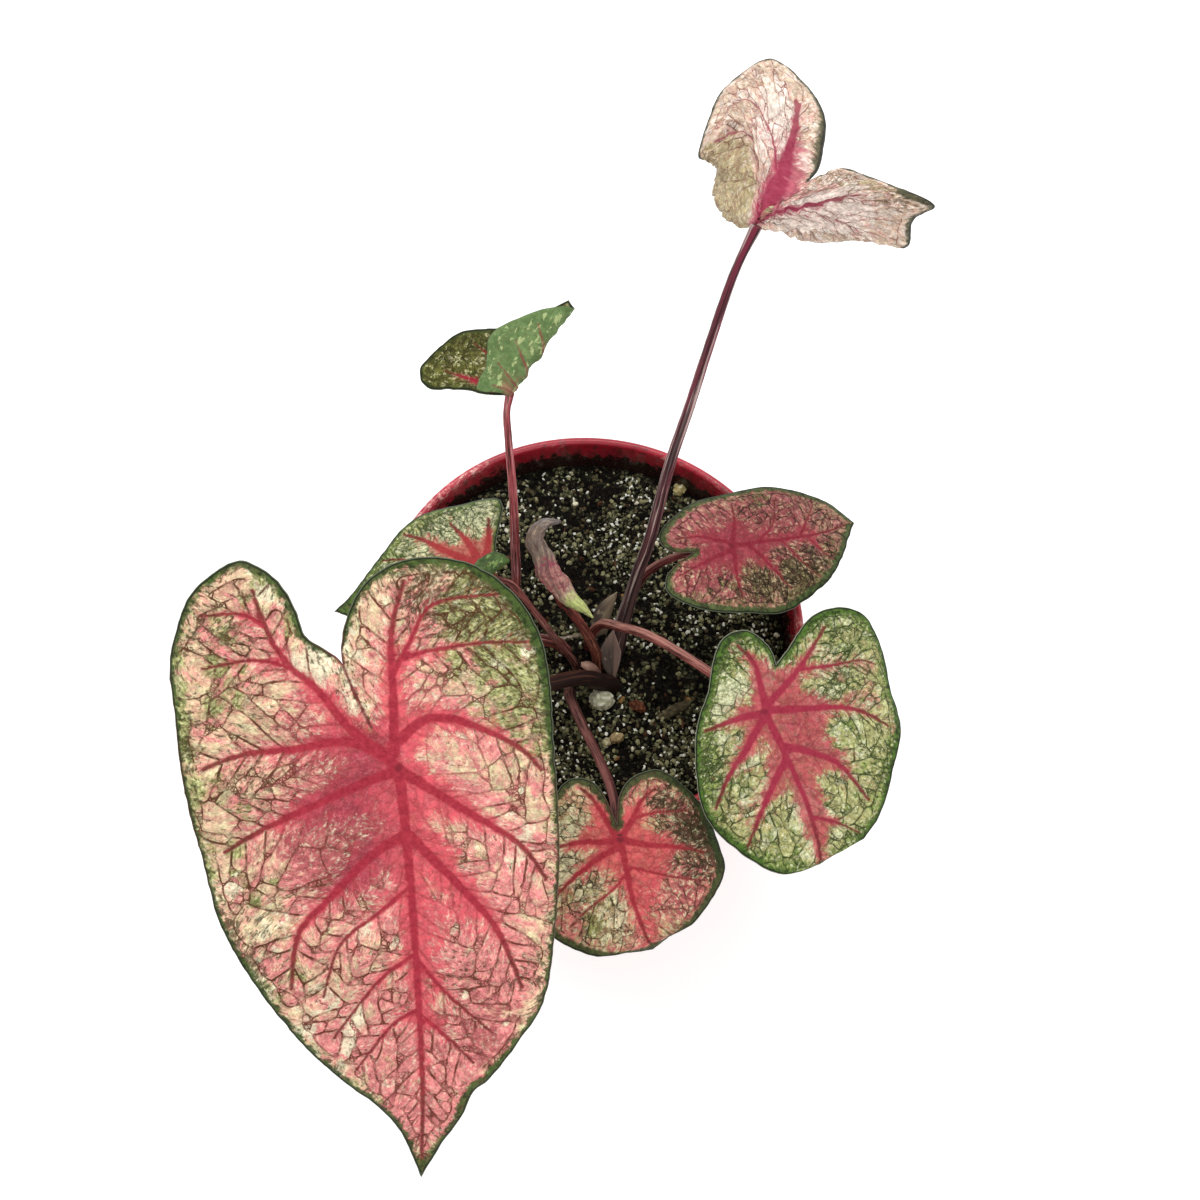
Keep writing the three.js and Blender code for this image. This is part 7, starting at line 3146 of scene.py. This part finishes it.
def lower_right_leaf() -> tuple[Blade, Stalk]:
    """The green and cream leaf with the star of crimson veins.

    Returns:
        The blade and its stalk.
    """
    sheet = RelaxedSheet(
        (57, -42, 158), -55, 18, 4, 52, 38, 5, 8, 0.5, (1.4, 6, 0.3), (Curl((0, -48), -92, 6, 45),)
    )
    blade = Blade(
        "leaf_lower_right", "blade_lower_right", "blade_green", sheet,
        left=[
            (9.3, 12), (9.8, 17), (7.5, 22.5), (4.5, 25.5), (0, 26.5), (-4.5, 25), (-9.5, 19.5),
            (-14, 12.5), (-18.5, 7.5), (-23, 0.5), (-26.5, -8), (-28.5, -16), (-28.5, -23.5), (-26, -31),
            (-22, -38.5), (-17, -45), (-10, -50), (-2, -53.5)
        ],
        right=[
            (9.3, 12), (14, 14.5), (20, 18), (26.5, 21), (33, 21.5), (40.5, 19.5), (45.5, 14.5), (47, 8),
            (47.5, -0.5), (45.5, -9), (43.5, -19), (39.5, -25.5), (33, -32), (28, -38.5), (21.5, -45),
            (13.5, -49), (5, -52), (-2, -53.5)
        ],
        mains=(
            [(0, 0), (1, -20), (1, -34), (-0.5, -45), (-2, -51)], [(1, 2), (2.5, 10), (3, 15.5), (0.5, 22)],
            [(2, 2), (14, 7), (22, 11.5), (30, 16.5)],
            [(2, 0), (11, -3.5), (23.5, -8), (31.5, -13), (37.5, -20)],
            [(1.5, -12), (9.5, -17.5), (16, -24.5), (21, -38)], [(-2, 0), (-8, 1.5), (-19, 2)],
            [(-1.5, -1.5), (-10, -8), (-18.5, -14), (-25, -21)],
            [(0, -16), (-7, -21.5), (-15, -29.5), (-21, -36)],
        ), branches=([(16.5, 7.5), (28, 4.5), (37.5, 2.5), (43, -1)], [(2, -35.5), (8, -40), (14, -46)]),
        finish=BladeFinish(
            "lower right leaf", pink=tone(212, 146, 128), salmon=tone(192, 184, 122),
            cream=tone(206, 208, 142), pale=tone(240, 240, 198), leafy=tone(170, 188, 104),
            green=tone(90, 118, 46), dark=tone(54, 70, 32), glow=tone(192, 68, 88),
            spark=tone(224, 134, 138), stipple=tone(104, 116, 64), vein=tone(160, 42, 66),
            side_vein=tone(52, 66, 28), warm_vein=tone(150, 54, 66), patch=3.6, glow_reach=2.6,
            margin_width=1.5, margin_wander=0.8, fringe=0.25, margin=tone(82, 116, 44),
            joint=tone(130, 36, 56), dark_margin=tone(44, 60, 26), pale_rim=tone(170, 178, 150),
            lightness=0.8, net_strength=0.5, net_size=2.0
        ), underside=UndersideFinish("lower right leaf underside"),
        patches=patches(
            heat=(
                (8, -4, 7, 0.6), (11, -9, 6, 0.4), (3, 3, 5, 0.4), (6, -14, 7, 0.5), (16, 1, 4, 0.2),
                (3, -26, 6, 0.5), (1, -40, 4.5, 0.55), (1, -33, 4.5, 0.5), (-3, -14, 5, 0.2),
                (6, 12, 4, 0.3), (1, 17, 3.5, 0.25), (13, -19, 5, 0.3), (10, 7, 4, 0.2), (-1, -49, 4, 0.5),
            ), rose=((8, -6, 9, 0.45),),
            blush=(
                (28, 3, 4, 0.5), (30, -8, 4, 0.45), (36, -10, 5, 0.5), (40, -22, 5, 0.4),
                (-18, -24, 5, 0.35), (18, -22, 5, 0.3), (-2, -44, 5, 0.3), (40, 0, 6, 0.3),
            ),
            cream=(
                (-10, 6, 8, 0.2), (18, -6, 6, 0.25), (22, 4, 6, 0.2), (-8, -12, 6, 0.2), (-2, -30, 7, 0.2),
                (16, -28, 6, 0.2), (8, 12, 5, 0.5), (-4, 10, 5, 0.3),
            ),
            green=(
                (-22, -12, 8, 0.25), (-20, 0, 7, 0.2), (32, 16, 9, 0.3), (22, -12, 8, 0.15),
                (-12, -44, 8, 0.2), (8, -42, 7, 0.15), (-6, 20, 8, 0.3),
            ),
            dark=(
                (20, -8, 8, 0.15), (28, 2, 8, 0.2), (-20, -10, 8, 0.2), (-2, 22, 8, 0.25), (34, 14, 8, 0.2),
                (30, -30, 8, 0.2),
            ), border=((30, 20, 10, 0.7), (-2, 24, 9, 0.9), (-24, -30, 10, 0.4), (40, -22, 8, 0.5),),
        ), lean=(0.14, 0.34, 0.32, 0.16), rosy=0.05, vein_width=(1.4, 0.55), branch_width=(0.7, 0.32),
        fill=1.1, quilt=0.55,
        rounds=(
            Sprouting(4.6, 50, 0.1, (0.3, 0.22), lean=0.03),
            Sprouting(5.6, 62, 0.18, (0.23, 0.17), keep=0.55),
            Sprouting(3.6, 60, 0.3, (0.17, 0.1), keep=0.4, length=2)
        ), collector=3.0, seed=23,
    )
    path = [
        (0.5, -6, 103), (0, -5.5, 110), (3, -4, 119), (10, -8, 128), (19, -14, 138), (31, -23, 147),
        (45, -33, 153)
    ]
    finish = StalkFinish(
        "lower right stalk", low=tone(92, 44, 38), high=tone(132, 58, 56), pale=tone(196, 142, 128),
        pale_share=0.55
    )
    return blade, Stalk("stalk_lower_right", "stem_lower_right", path, (1.9, 1.4), finish, sheet)


def front_leaf() -> tuple[Blade, Stalk]:
    """The small pink leaf in front of the pot.

    Returns:
        The blade and its stalk.
    """
    sheet = RelaxedSheet(
        (20, -84, 140), -64, 14, 0, 37, 30, 3.4, 7, 0.5, (0.8, 5, 2.2), (Curl((0, -31), -88, 6, 40),)
    )
    blade = Blade(
        "leaf_front", "blade_front", "blade_pink", sheet,
        left=[
            (0.3, 4.5), (-0.4, 9.5), (-1.5, 15), (-4, 19.5), (-8, 21.5), (-12, 21), (-16, 18), (-21, 13),
            (-25.5, 6), (-28.5, -2.5), (-29.5, -11.5), (-28, -20), (-24, -25.5), (-17.5, -30.5), (-8, -35),
            (2, -38.5)
        ],
        right=[
            (0.3, 4.5), (1.6, 9.5), (4.5, 14.5), (9, 17.3), (15, 18), (19.5, 16.5), (24, 11), (28.5, 4.5),
            (30.5, -3), (31.3, -11), (31, -17), (26.5, -22.5), (18.5, -28.5), (10, -33.5), (2, -38.5)
        ],
        mains=(
            [(0, 0), (-0.5, -9), (-1, -18), (0, -28), (1.5, -36)],
            [(-1, 1.5), (-3, 8), (-5, 14), (-7.5, 18)], [(1, 1), (5.5, 5), (9.5, 9.5), (15, 12)],
            [(1, -0.5), (8.5, -4), (17.5, -7), (25, -10.5)], [(-1.5, 0), (-6.5, 1), (-12, 2.5), (-23, 3)],
            [(-1.5, -2), (-7.5, -3.5), (-16, -7), (-25, -12.5)],
        ),
        branches=(
            [(0.5, -8.5), (6, -11.5), (15, -16), (23, -19)],
            [(-2, -11), (-6.5, -14), (-14, -17), (-21, -21)], [(6, 5), (13, 5), (23, 3)],
        ),
        finish=BladeFinish(
            "front leaf", pink=tone(224, 128, 122), salmon=tone(212, 150, 124), cream=tone(222, 206, 150),
            pale=tone(242, 234, 190), leafy=tone(182, 184, 112), green=tone(104, 114, 62),
            dark=tone(48, 44, 26), glow=tone(214, 82, 90), vein=tone(160, 40, 54),
            side_vein=tone(54, 46, 26), warm_vein=tone(160, 54, 58), patch=3.6, margin_width=2.2,
            margin=tone(66, 84, 44), stipple=tone(106, 84, 58), dark_margin=tone(44, 54, 30),
            glow_reach=2.4, net_strength=0.5, net_size=1.9, mauve=tone(190, 70, 78)
        ), underside=UndersideFinish("front leaf underside"),
        patches=patches(
            heat=(
                (2, -4, 6, 0.45), (8, -6, 6, 0.4), (5, -14, 6, 0.45), (4, -23, 5, 0.4), (-3, -7, 5, 0.2),
                (-5, 7, 5, 0.25), (6, 7, 5, 0.25), (15, -6, 6, 0.2), (2, -33, 5, 0.35), (-9, 1, 5, 0.1),
            ), rose=((20, -12, 10, 0.5), (14, -26, 7, 0.35), (22, 2, 8, 0.4),),
            blush=(
                (8, -20, 8, 0.4), (-2, -30, 7, 0.35), (12, 13, 6, 0.3), (-20, -20, 6, 0.3),
                (18, -20, 8, 0.4),
            ), cream=((-16, 8, 7, 0.35), (-18, -4, 7, 0.3), (-12, -14, 7, 0.3), (-8, -24, 7, 0.3),),
            green=((-16, 10, 8, 0.3), (-18, -2, 7, 0.2), (-14, -18, 8, 0.25), (24, -8, 7, 0.3),),
            dark=(
                (22, -6, 8, 0.25), (25, -14, 7, 0.3), (18, 8, 7, 0.15), (-14, 6, 8, 0.1),
                (-12, -16, 8, 0.1), (25, -4, 8, 0.45), (16, 7, 6, 0.25),
            ), border=((28, -10, 10, 0.5), (0, 10, 5, -0.5), (18, 18, 8, 0.3),),
        ), lean=(0.26, 0.24, 0.2, 0.16), rosy=0.2, vein_width=(1.25, 0.5), branch_width=(0.6, 0.3),
        fill=1.1, quilt=0.5,
        rounds=(
            Sprouting(4.0, 50, 0.09, (0.26, 0.18), lean=0.03),
            Sprouting(5.0, 62, 0.18, (0.18, 0.13), keep=0.5),
            Sprouting(3.6, 60, 0.3, (0.14, 0.1), keep=0.35, length=2)
        ), collector=3.0, seed=31,
    )
    path = [(-3.5, -25, 103), (-3, -30, 111), (2.5, -42, 120), (10, -56, 128), (16, -69, 134)]
    return blade, Stalk(
        "stalk_front", "stem_front", path, (1.9, 1.4),
        StalkFinish(
            "front stalk", low=tone(60, 38, 33), high=tone(98, 44, 44), pale=tone(150, 100, 92),
            pale_share=0.4
        ), sheet
    )


def left_leaf() -> tuple[Blade, Stalk]:
    """The green and cream leaf behind the large one, with one lobe rolled up.

    Returns:
        The blade and its stalk.
    """
    sheet = RelaxedSheet(
        (-38, -6, 150), 200, 12, 6, 51, 28, 4.5, 4.5, 0.5, (0.8, 5, 0), (Curl((3, 1.8), 30, 2, -165),)
    )
    blade = Blade(
        "leaf_left", "blade_left", "blade_green", sheet,
        left=[
            (-3, 5), (-9, 5.6), (-17.5, 8), (-24.5, 9.5), (-29.5, 7.5), (-31.5, 1.5), (-31, -5),
            (-30.5, -12), (-29, -19), (-25.5, -25.5), (-21, -30), (-13, -37), (-4, -45), (0.5, -51.5)
        ],
        right=[
            (-3, 5), (1, 9), (5, 11), (9, 10), (12.5, 5), (14.5, -2), (15.5, -10), (15, -19), (13.5, -28),
            (10, -37), (6, -44), (0.5, -51.5)
        ],
        mains=(
            [(0, 0), (1, -14.5), (1.5, -28), (1, -40), (0.5, -48)], [(-1.5, 1), (-10, 3), (-20, 4)],
            [(-3, -1), (-12.5, -4), (-22, -9)], [(-2, -2), (-10.5, -11.5), (-17, -18), (-22.5, -25)],
        ),
        branches=([(-1, -11), (-9, -20), (-13.5, -30.5), (-14, -34)], [(2.5, -14.5), (6, -20), (10, -26)]),
        finish=BladeFinish(
            "left leaf", pink=tone(206, 130, 118), salmon=tone(196, 190, 124), cream=tone(222, 224, 150),
            pale=tone(246, 244, 200), leafy=tone(166, 184, 100), green=tone(90, 118, 46),
            dark=tone(50, 66, 28), glow=tone(206, 84, 84), vein=tone(170, 50, 54),
            side_vein=tone(54, 70, 28), warm_vein=tone(150, 56, 50), patch=2.6, glow_reach=2.4,
            margin_width=1.4, stipple=tone(96, 108, 54), margin=tone(92, 116, 54),
            dark_margin=tone(52, 68, 32), roughness=0.42, net_size=1.8
        ),
        underside=UndersideFinish(
            "left leaf underside", base=tone(62, 84, 40), fleck=tone(120, 148, 84), shade=tone(30, 44, 22),
            roughness=0.42
        ),
        patches=patches(
            heat=(
                (-3, -1, 4, 0.4), (-8, -4, 4, 0.15), (-8, 2, 4, 0.15), (-10, -12, 4, 0.1), (0, -8, 4, 0.15),
            ), blush=((4, -22, 7, 0.3),),
            cream=(
                (-8, -1, 5, 0.5), (-18, -14, 6, 0.3), (-22, 2, 6, 0.3), (-16, -4, 8, 0.35),
                (-10, -18, 7, 0.3),
            ), green=((-26, -4, 8, 0.35), (-10, -30, 10, 0.3), (0, -44, 9, 0.4),),
            dark=((-24, -14, 8, 0.2), (-4, -34, 8, 0.2),), border=((0, -48, 8, 1.0),),
        ), lean=(0.06, 0.5, 0.36, 0.3), rosy=0.0, vein_width=(1.7, 0.6), branch_width=(0.9, 0.4), fill=1.1,
        quilt=0.6,
        rounds=(
            Sprouting(3.6, 50, 0.1, (0.22, 0.16), lean=0.03),
            Sprouting(5.0, 62, 0.18, (0.16, 0.12), keep=0.45),
            Sprouting(3.6, 60, 0.3, (0.13, 0.1), keep=0.35, length=2)
        ), collector=3.0, seed=41,
    )
    path = [(-2.5, -15, 103), (-5, -14.5, 109), (-12, -12, 119), (-20, -8, 128), (-29, -5, 140)]
    return blade, Stalk(
        "stalk_left", "stem_left", path, (1.35, 1.05),
        StalkFinish("left stalk", low=tone(84, 46, 40), high=tone(140, 76, 72)), sheet
    )


def folded_leaf() -> tuple[Blade, Stalk]:
    """The small leaf above the back rim, folded along its midrib.

    Returns:
        The blade and its stalk.
    """
    sheet = RelaxedSheet(
        (-36, 28, 200), 63, -20, 0, 34, 26, 1, 1, 1, (0.6, 4, 0), (Curl((2, 0), 180, 2.4, -158),)
    )
    blade = Blade(
        "leaf_folded", "blade_folded", "blade_green", sheet,
        left=[
            (1.5, 1.3), (-1.5, 1), (-4.5, 2.2), (-8.5, 4.6), (-11, 5.4), (-12, 3), (-12.6, -1),
            (-14.4, -4.5), (-16.6, -8), (-16.6, -12), (-15, -16), (-12, -21), (-8.6, -26), (-4, -30.5),
            (3, -34)
        ],
        right=[
            (1.5, 1.3), (6, 4), (12, 6.5), (17, 9), (22, 12), (26.5, 11.5), (29.5, 8), (28.7, 3), (27, -3),
            (24.5, -8), (19, -12.6), (13.6, -16.6), (9, -22.5), (6.2, -28.5), (3, -34)
        ], mains=([(4, 0.5), (12, 2.5), (22, 5)], [(4, -3), (11, -6), (19, -7)]),
        branches=(
            [(0.2, -0.4), (-4, 0.4), (-8, 1.8)], [(0.2, -1.5), (-5, -3), (-10.5, -4.5)],
            [(0.8, -5), (-4, -9), (-10, -13)], [(1.2, -12), (-3, -17), (-7.5, -21)], [(4, -12), (9, -15)],
            [(1.5, -1), (1.9, -12), (2.4, -24), (3, -32)],
        ),
        finish=BladeFinish(
            "folded leaf", pink=tone(170, 100, 80), salmon=tone(112, 108, 50), cream=tone(138, 140, 70),
            pale=tone(232, 228, 174), leafy=tone(108, 112, 48), green=tone(76, 82, 32),
            dark=tone(46, 48, 20), glow=tone(176, 52, 66), vein=tone(176, 36, 60),
            side_vein=tone(64, 60, 26), patch=2.6, glow_reach=0.9, margin_width=1.0,
            margin=tone(70, 82, 36), stipple=tone(76, 66, 34), dark_margin=tone(46, 56, 26), lightness=0.8,
            net_strength=0.3, net_size=1.6
        ),
        underside=UndersideFinish(
            "folded leaf underside", base=tone(92, 120, 70), fleck=tone(176, 190, 132),
            shade=tone(68, 92, 48), vein=tone(128, 40, 56), blush=tone(160, 84, 82)
        ),
        patches=patches(
            rose=((8, -10, 5, 0.4),), blush=((-2, 0, 5, 0.6), (1, -14, 5, 0.2),),
            cream=((16, 4, 7, 0.15), (12, -6, 7, 0.15), (22, -2, 6, 0.15),), green=((14, -14, 8, 0.3),),
            dark=((24, 0, 7, 0.2),),
        ), lean=(0.03, 0.2, 0.5, 0.2), rosy=0.0, vein_width=(0.75, 0.28), branch_width=(0.45, 0.22),
        fill=0.95, quilt=0.3,
        rounds=(
            Sprouting(4.4, 50, 0.1, (0.16, 0.12), lean=0.02), Sprouting(5.4, 62, 0.2, (0.12, 0.1), keep=0.4)
        ), collector=2.4, seed=53,
    )
    path = [
        (-8, -9, 103), (-10.5, -9, 107.5), (-15, -9.8, 110), (-21, -9.5, 111), (-26, -6, 112),
        (-28.4, 0, 116), (-28.8, 6, 123.5), (-30.5, 11.8, 134), (-32.4, 17, 157), (-35.6, 23.5, 182),
        (-36.8, 26.4, 193)
    ]
    finish = StalkFinish(
        "folded stalk", low=tone(116, 58, 50), high=tone(180, 84, 90), pale=tone(218, 164, 160)
    )
    return blade, Stalk(
        "stalk_folded", "stem_folded", path, (2.1, 1.05), finish, sheet, straight=True, flare=0.25,
        sunk=0.2, sheath=0.1
    )


def wilted_leaf() -> tuple[Blade, Stalk]:
    """The tall leaf whose blade has collapsed like cloth.

    Returns:
        The blade and its stalk.
    """
    joint = (25, 53, 262)
    sheet = WiltedSheet(joint, (
        (6, 28, (33, 65, 262), (41, 76, 260)), (32, 37, (35, 68, 261), (48, 82, 258)),
        (55, 52, (40, 70, 260), (66, 82, 254)), (68, 62, (41, 69, 259), (76, 84, 248)),
        (84, 60, (42, 69, 255), (72, 85, 240)), (100, 63, (42, 70, 250), (73, 84, 230)),
        (118, 57, (38, 67, 250), (61, 84, 230)), (135, 50, (35, 66, 250), (51, 81, 230)),
        (150, 45, (34, 66, 248), (43, 80, 230)), (168, 47, (29, 67, 248), (37, 87, 232)),
        (182, 54, (25, 68, 248), (33, 97, 231)), (205, 54, (20, 71, 244), (25, 97, 230)),
        (230, 50, (15, 72, 247), (17, 97, 234)), (252, 43, (16, 73, 254), (13, 92, 244)),
        (270, 42, (17, 76, 258), (7, 87, 248)), (285, 48, (19, 82, 262), (8, 96, 254)),
        (300, 54, (20, 84, 264), (11, 105, 258)), (318, 62, (23, 84, 265), (22, 117, 260)),
        (332, 58, (27, 81, 265), (33, 110, 260)), (345, 47, (30, 75, 264), (40, 98, 260)),
        (354, 30, (32, 66, 263), (40, 79, 260)),
    ))
    left, right = sheet.margin((0, 22))
    blade = Blade(
        "leaf_wilted", "blade_wilted", "blade_cream", sheet, left, right,
        mains=(
            [(0, 2), (-2, 9), (-4, 17), (-7.5, 26), (-14, 36), (-22, 43.5)],
            [(1, 1), (10, 1.5), (21.7, 2.5), (34, 9), (39, 17)],
        ),
        branches=(
            [(-4, 17), (-14, 24), (-27, 26), (-38, 20)], [(-2, 2), (-14, 8), (-26, 8), (-37, 4)],
            [(2, -1), (14, -1), (26, -3.5), (38, -5.5), (48, -10)], [(3, -3), (18, -16), (30, -26)],
        ),
        finish=BladeFinish(
            "wilted leaf", pink=tone(230, 168, 160), rose=tone(190, 112, 120), salmon=tone(224, 188, 168),
            cream=tone(230, 210, 182), pale=tone(252, 240, 228), leafy=tone(204, 188, 146),
            green=tone(170, 156, 114), dark=tone(92, 76, 54), glow=tone(184, 86, 106),
            vein=tone(152, 50, 76), far_vein=tone(150, 76, 84), side_vein=tone(118, 84, 70),
            warm_vein=tone(172, 84, 98), patch=5.0, glow_reach=2.2, glow_strength=0.8, margin_width=0.9,
            margin=tone(98, 96, 70), stipple=tone(170, 128, 108), rim=tone(58, 56, 48),
            pale_rim=tone(84, 84, 76), dark_margin=tone(52, 56, 42), roughness=0.52, lightness=0.94,
            calm_reach=10.0, net_strength=0.5, net_size=1.9, mauve=tone(164, 74, 92)
        ),
        underside=UndersideFinish(
            "wilted leaf underside", base=tone(150, 140, 104), blush=tone(196, 140, 126)
        ),
        patches=patches(
            heat=(
                (0, 5, 5, 0.5), (-2, 12, 5, 0.45), (-4, 19, 4, 0.35), (-9, 28, 4, 0.25),
                (-15, 37, 3.5, 0.2), (6, 7, 6, 0.35), (12, 2, 3, 0.35), (20, 2, 2.5, 0.3),
                (28, 6, 2.5, 0.2), (3, 14, 5, 0.2),
            ), rose=((0, 6, 10, 0.5),),
            blush=(
                (-14, -9, 12, -0.6), (4, 14, 12, 0.4), (30, 10, 14, 0.3), (-22, 22, 9, 0.3),
                (40, -6, 14, 0.3),
            ),
            cream=(
                (-12, -9, 12, -0.6), (-24, -8, 10, -0.6), (-22, 28, 9, 0.3), (26, -10, 14, 0.3),
                (36, 4, 12, 0.25), (34, 2, 14, 0.3), (20, -8, 10, 0.3),
            ),
            green=(
                (12, 20, 8, 0.35), (-12, -7, 9, 1.2), (-23, -8, 9, 1.2), (-4, -12, 7, 1.2),
                (-16, -15, 9, 1.2), (30, 24, 7, 0.6), (42, 27, 6, 0.6), (6, 30, 7, 0.5), (50, 14, 9, 0.3),
                (-30, -8, 14, 0.9), (-16, -26, 14, 0.9), (-6, -38, 12, 0.9), (-28, -31, 10, 0.6),
                (-36, -4, 9, 0.4), (3, 36, 8, 0.7), (-9, 45, 7, 0.6),
            ),
            dark=(
                (20, 22, 9, 0.2), (44, -22, 9, 0.25), (48, 22, 9, 0.35), (24, 26, 9, 0.2), (-6, 36, 8, 0.2),
                (-24, -20, 12, 0.1), (5, 38, 6, 0.45), (-2, 42, 6, 0.3),
            ),
            border=(
                (-38, 20, 18, 0.9), (-20, 44, 14, 0.7), (-20, -16, 12, 0.8), (48, 25, 8, 2.5),
                (56, 2, 8, 1.2), (-2, 36, 8, 0.6), (24, 30, 8, 0.5), (46, 27, 6, 2.0),
            ),
        ), lean=(0.3, 0.4, 0.06, 0.08), rosy=0.1, vein_width=(2.1, 0.95), branch_width=(0.6, 0.3),
        quilt=0.7, crinkle=0.75, flutter=0.0,
        rounds=(
            Sprouting(6.0, 40, 0.12, (0.24, 0.15), lean=0.05),
            Sprouting(8.0, 50, 0.2, (0.15, 0.1), keep=0.45)
        ), crinkle_size=6.0, seed=67,
    )
    path = [
        (10, -6, 103), (10.1, -3.6, 109), (10.6, 1, 116), (12.4, 11, 134), (13.9, 15, 148), (15.4, 25, 184),
        (17.5, 32, 204), (19.2, 38.2, 224), (21.9, 46.5, 250)
    ]
    finish = StalkFinish(
        "wilted stalk", low=tone(84, 62, 60), high=tone(116, 40, 58), pale=tone(206, 188, 180),
        dark=tone(34, 20, 22), fine=1.7, pale_share=0.7
    )
    return blade, Stalk("stalk_wilted", "stem_wilted", path, (2.4, 1.2), finish, straight=True, end=joint)


def rolled_leaf() -> tuple[Scroll, Stalk]:
    """The youngest leaf.

    Returns:
        The scroll and its stalk.
    """
    path = [(4.5, -12.5, 103), (3.5, -11.5, 109), (-1, -8, 117), (-6, -6, 125), (-10, -4.5, 130)]
    finish = StalkFinish(
        "rolled stalk", low=tone(98, 56, 42), high=tone(116, 50, 48), pale=tone(184, 122, 100)
    )
    stalk = Stalk("stalk_rolled", "stem_rolled", path, (2.0, 1.5), finish, end=(-13, -3.2, 136))
    return Scroll(), stalk


HUSKS = (
    Husk(
        "sheath_back", "husk_back", ((1.5, -1.5, 103), (2.5, 3.5, 111), (6.6, 8.8, 120)), 3.7, -25,
        profile=(0.6, 0.95, 1.0, 0.9, 0.7, 0.4, 0.04),
        finish=HuskFinish(
            "back husk", tone(98, 84, 72), tone(166, 148, 122), tone(54, 42, 36), lit_half=0.8
        )
    ),
    Husk(
        "sheath_middle", "husk_middle", ((10.2, -16.2, 103), (8.8, -10.6, 108.5), (7.6, -3.8, 115)), 3.9,
        -10, profile=(0.04, 0.36, 0.7, 0.95, 1.0, 0.6, 0.06), cup=-0.7, fold=0.8,
        finish=HuskFinish(
            "middle husk", tone(92, 76, 68), tone(150, 124, 114), tone(48, 36, 32), lit_half=0.7
        )
    ),
    Husk(
        "sheath_stub", "husk_stub", ((6.2, -16.6, 103), (3.2, -15.2, 107.5), (-1.4, -15.6, 109.0)), 2.5, 90,
        profile=(0.9, 1.0, 1.0, 1.0, 0.95, 0.8, 0.35),
        finish=HuskFinish("stub husk", tone(150, 108, 94), tone(188, 150, 132), tone(90, 58, 50))
    ),
)

GRAINS = (
    Grains(
        "peat_crumbs", GrainFinish("dark crumbs", tone(10, 8, 7), tone(40, 31, 23), tone(84, 72, 50)),
        240000, 0.35, 1.1, seed=1
    ),
    Grains(
        "olive_crumbs",
        GrainFinish("olive crumbs", tone(40, 40, 28), tone(112, 110, 78), tone(150, 146, 108)), 430000,
        0.45, 1.4, shape=(1.0, 0.8, 0.6), patches=0.9, seed=6
    ),
    Grains(
        "pale_flecks",
        GrainFinish(
            "pale flecks", tone(104, 104, 74), tone(184, 184, 150), tone(244, 244, 232), odd_share=0.26
        ), 400000, 0.32, 1.2, shape=(1.0, 0.62, 0.45), patches=0.97, seed=2
    ),
    Grains(
        "perlite", GrainFinish("perlite", tone(190, 184, 160), tone(236, 230, 214), tone(240, 232, 200)),
        9000, 0.5, 1.5, facets=2, lumps=0.9, shape=(1.0, 0.8, 0.6), patches=0.6, seed=3
    ),
    Grains(
        "bark", GrainFinish("bark", tone(46, 28, 20), tone(96, 62, 40), tone(150, 116, 70)), 5000, 0.9, 2.4,
        shape=(1.0, 0.5, 0.35), seed=4
    ),
)

CHUNKS = (
    Chunk(
        "moss_ball", (7.7, -25.6), (4.3, 3.8, 3.0), 0,
        GrainFinish("moss ball", tone(150, 150, 122), tone(226, 222, 200), tone(240, 236, 220)), 0.5
    ),
    Chunk(
        "pebble_tan", (15.2, -38.2), (2.6, 2.0, 1.6), 30,
        GrainFinish("tan pebble", tone(120, 100, 72), tone(190, 168, 122), tone(220, 204, 160)), 0.7
    ),
    Chunk(
        "pebble_small", (12.0, -40.0), (1.7, 1.5, 1.2), 10,
        GrainFinish("pale pebble", tone(130, 122, 90), tone(206, 196, 160), tone(226, 216, 180)), 0.5
    ),
    Chunk(
        "pebble_yellow", (23.8, 65.5), (2.7, 2.3, 2.0), 60,
        GrainFinish("yellow pebble", tone(150, 134, 84), tone(214, 200, 146), tone(226, 220, 186)), 0.8
    ),
    Chunk(
        "bark_strip", (34.0, -23.5), (7.5, 1.9, 1.0), 40,
        GrainFinish("bark strip", tone(52, 46, 34), tone(104, 92, 68), tone(130, 116, 84)), 0.7
    ),
    Chunk(
        "bark_chip", (20.5, -25.2), (3.2, 2.0, 1.4), -20,
        GrainFinish("bark chip", tone(60, 30, 20), tone(128, 76, 52), tone(140, 90, 60)), 0.7
    ),
    Chunk(
        "dry_strip", (-6.5, -3.5), (6.5, 0.8, 0.5), 25,
        GrainFinish("dry strip", tone(110, 94, 80), tone(176, 158, 140), tone(200, 186, 170)), 0.3
    ),
)


def main() -> None:
    """Build the plant, the pot and the studio, in order."""
    logging.basicConfig(level=logging.INFO, format="%(name)s: %(message)s")
    stalks, grains = stalk_tree(), scatter_tree()
    leaves = (
        large_leaf, right_leaf, lower_right_leaf, front_leaf, left_leaf, folded_leaf, wilted_leaf,
        rolled_leaf
    )
    for leaf in leaves:
        blade, stalk = leaf()
        blade.build()
        stalk.build(stalks)
    for husk in HUSKS:
        husk.build()
    Pot().build()
    peat = Peat()
    peat.build()
    for kind in GRAINS:
        kind.build(grains, peat)
    for chunk in CHUNKS:
        chunk.build(peat)
    Studio().build()
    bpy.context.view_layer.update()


if __name__ == "__main__":
    main()
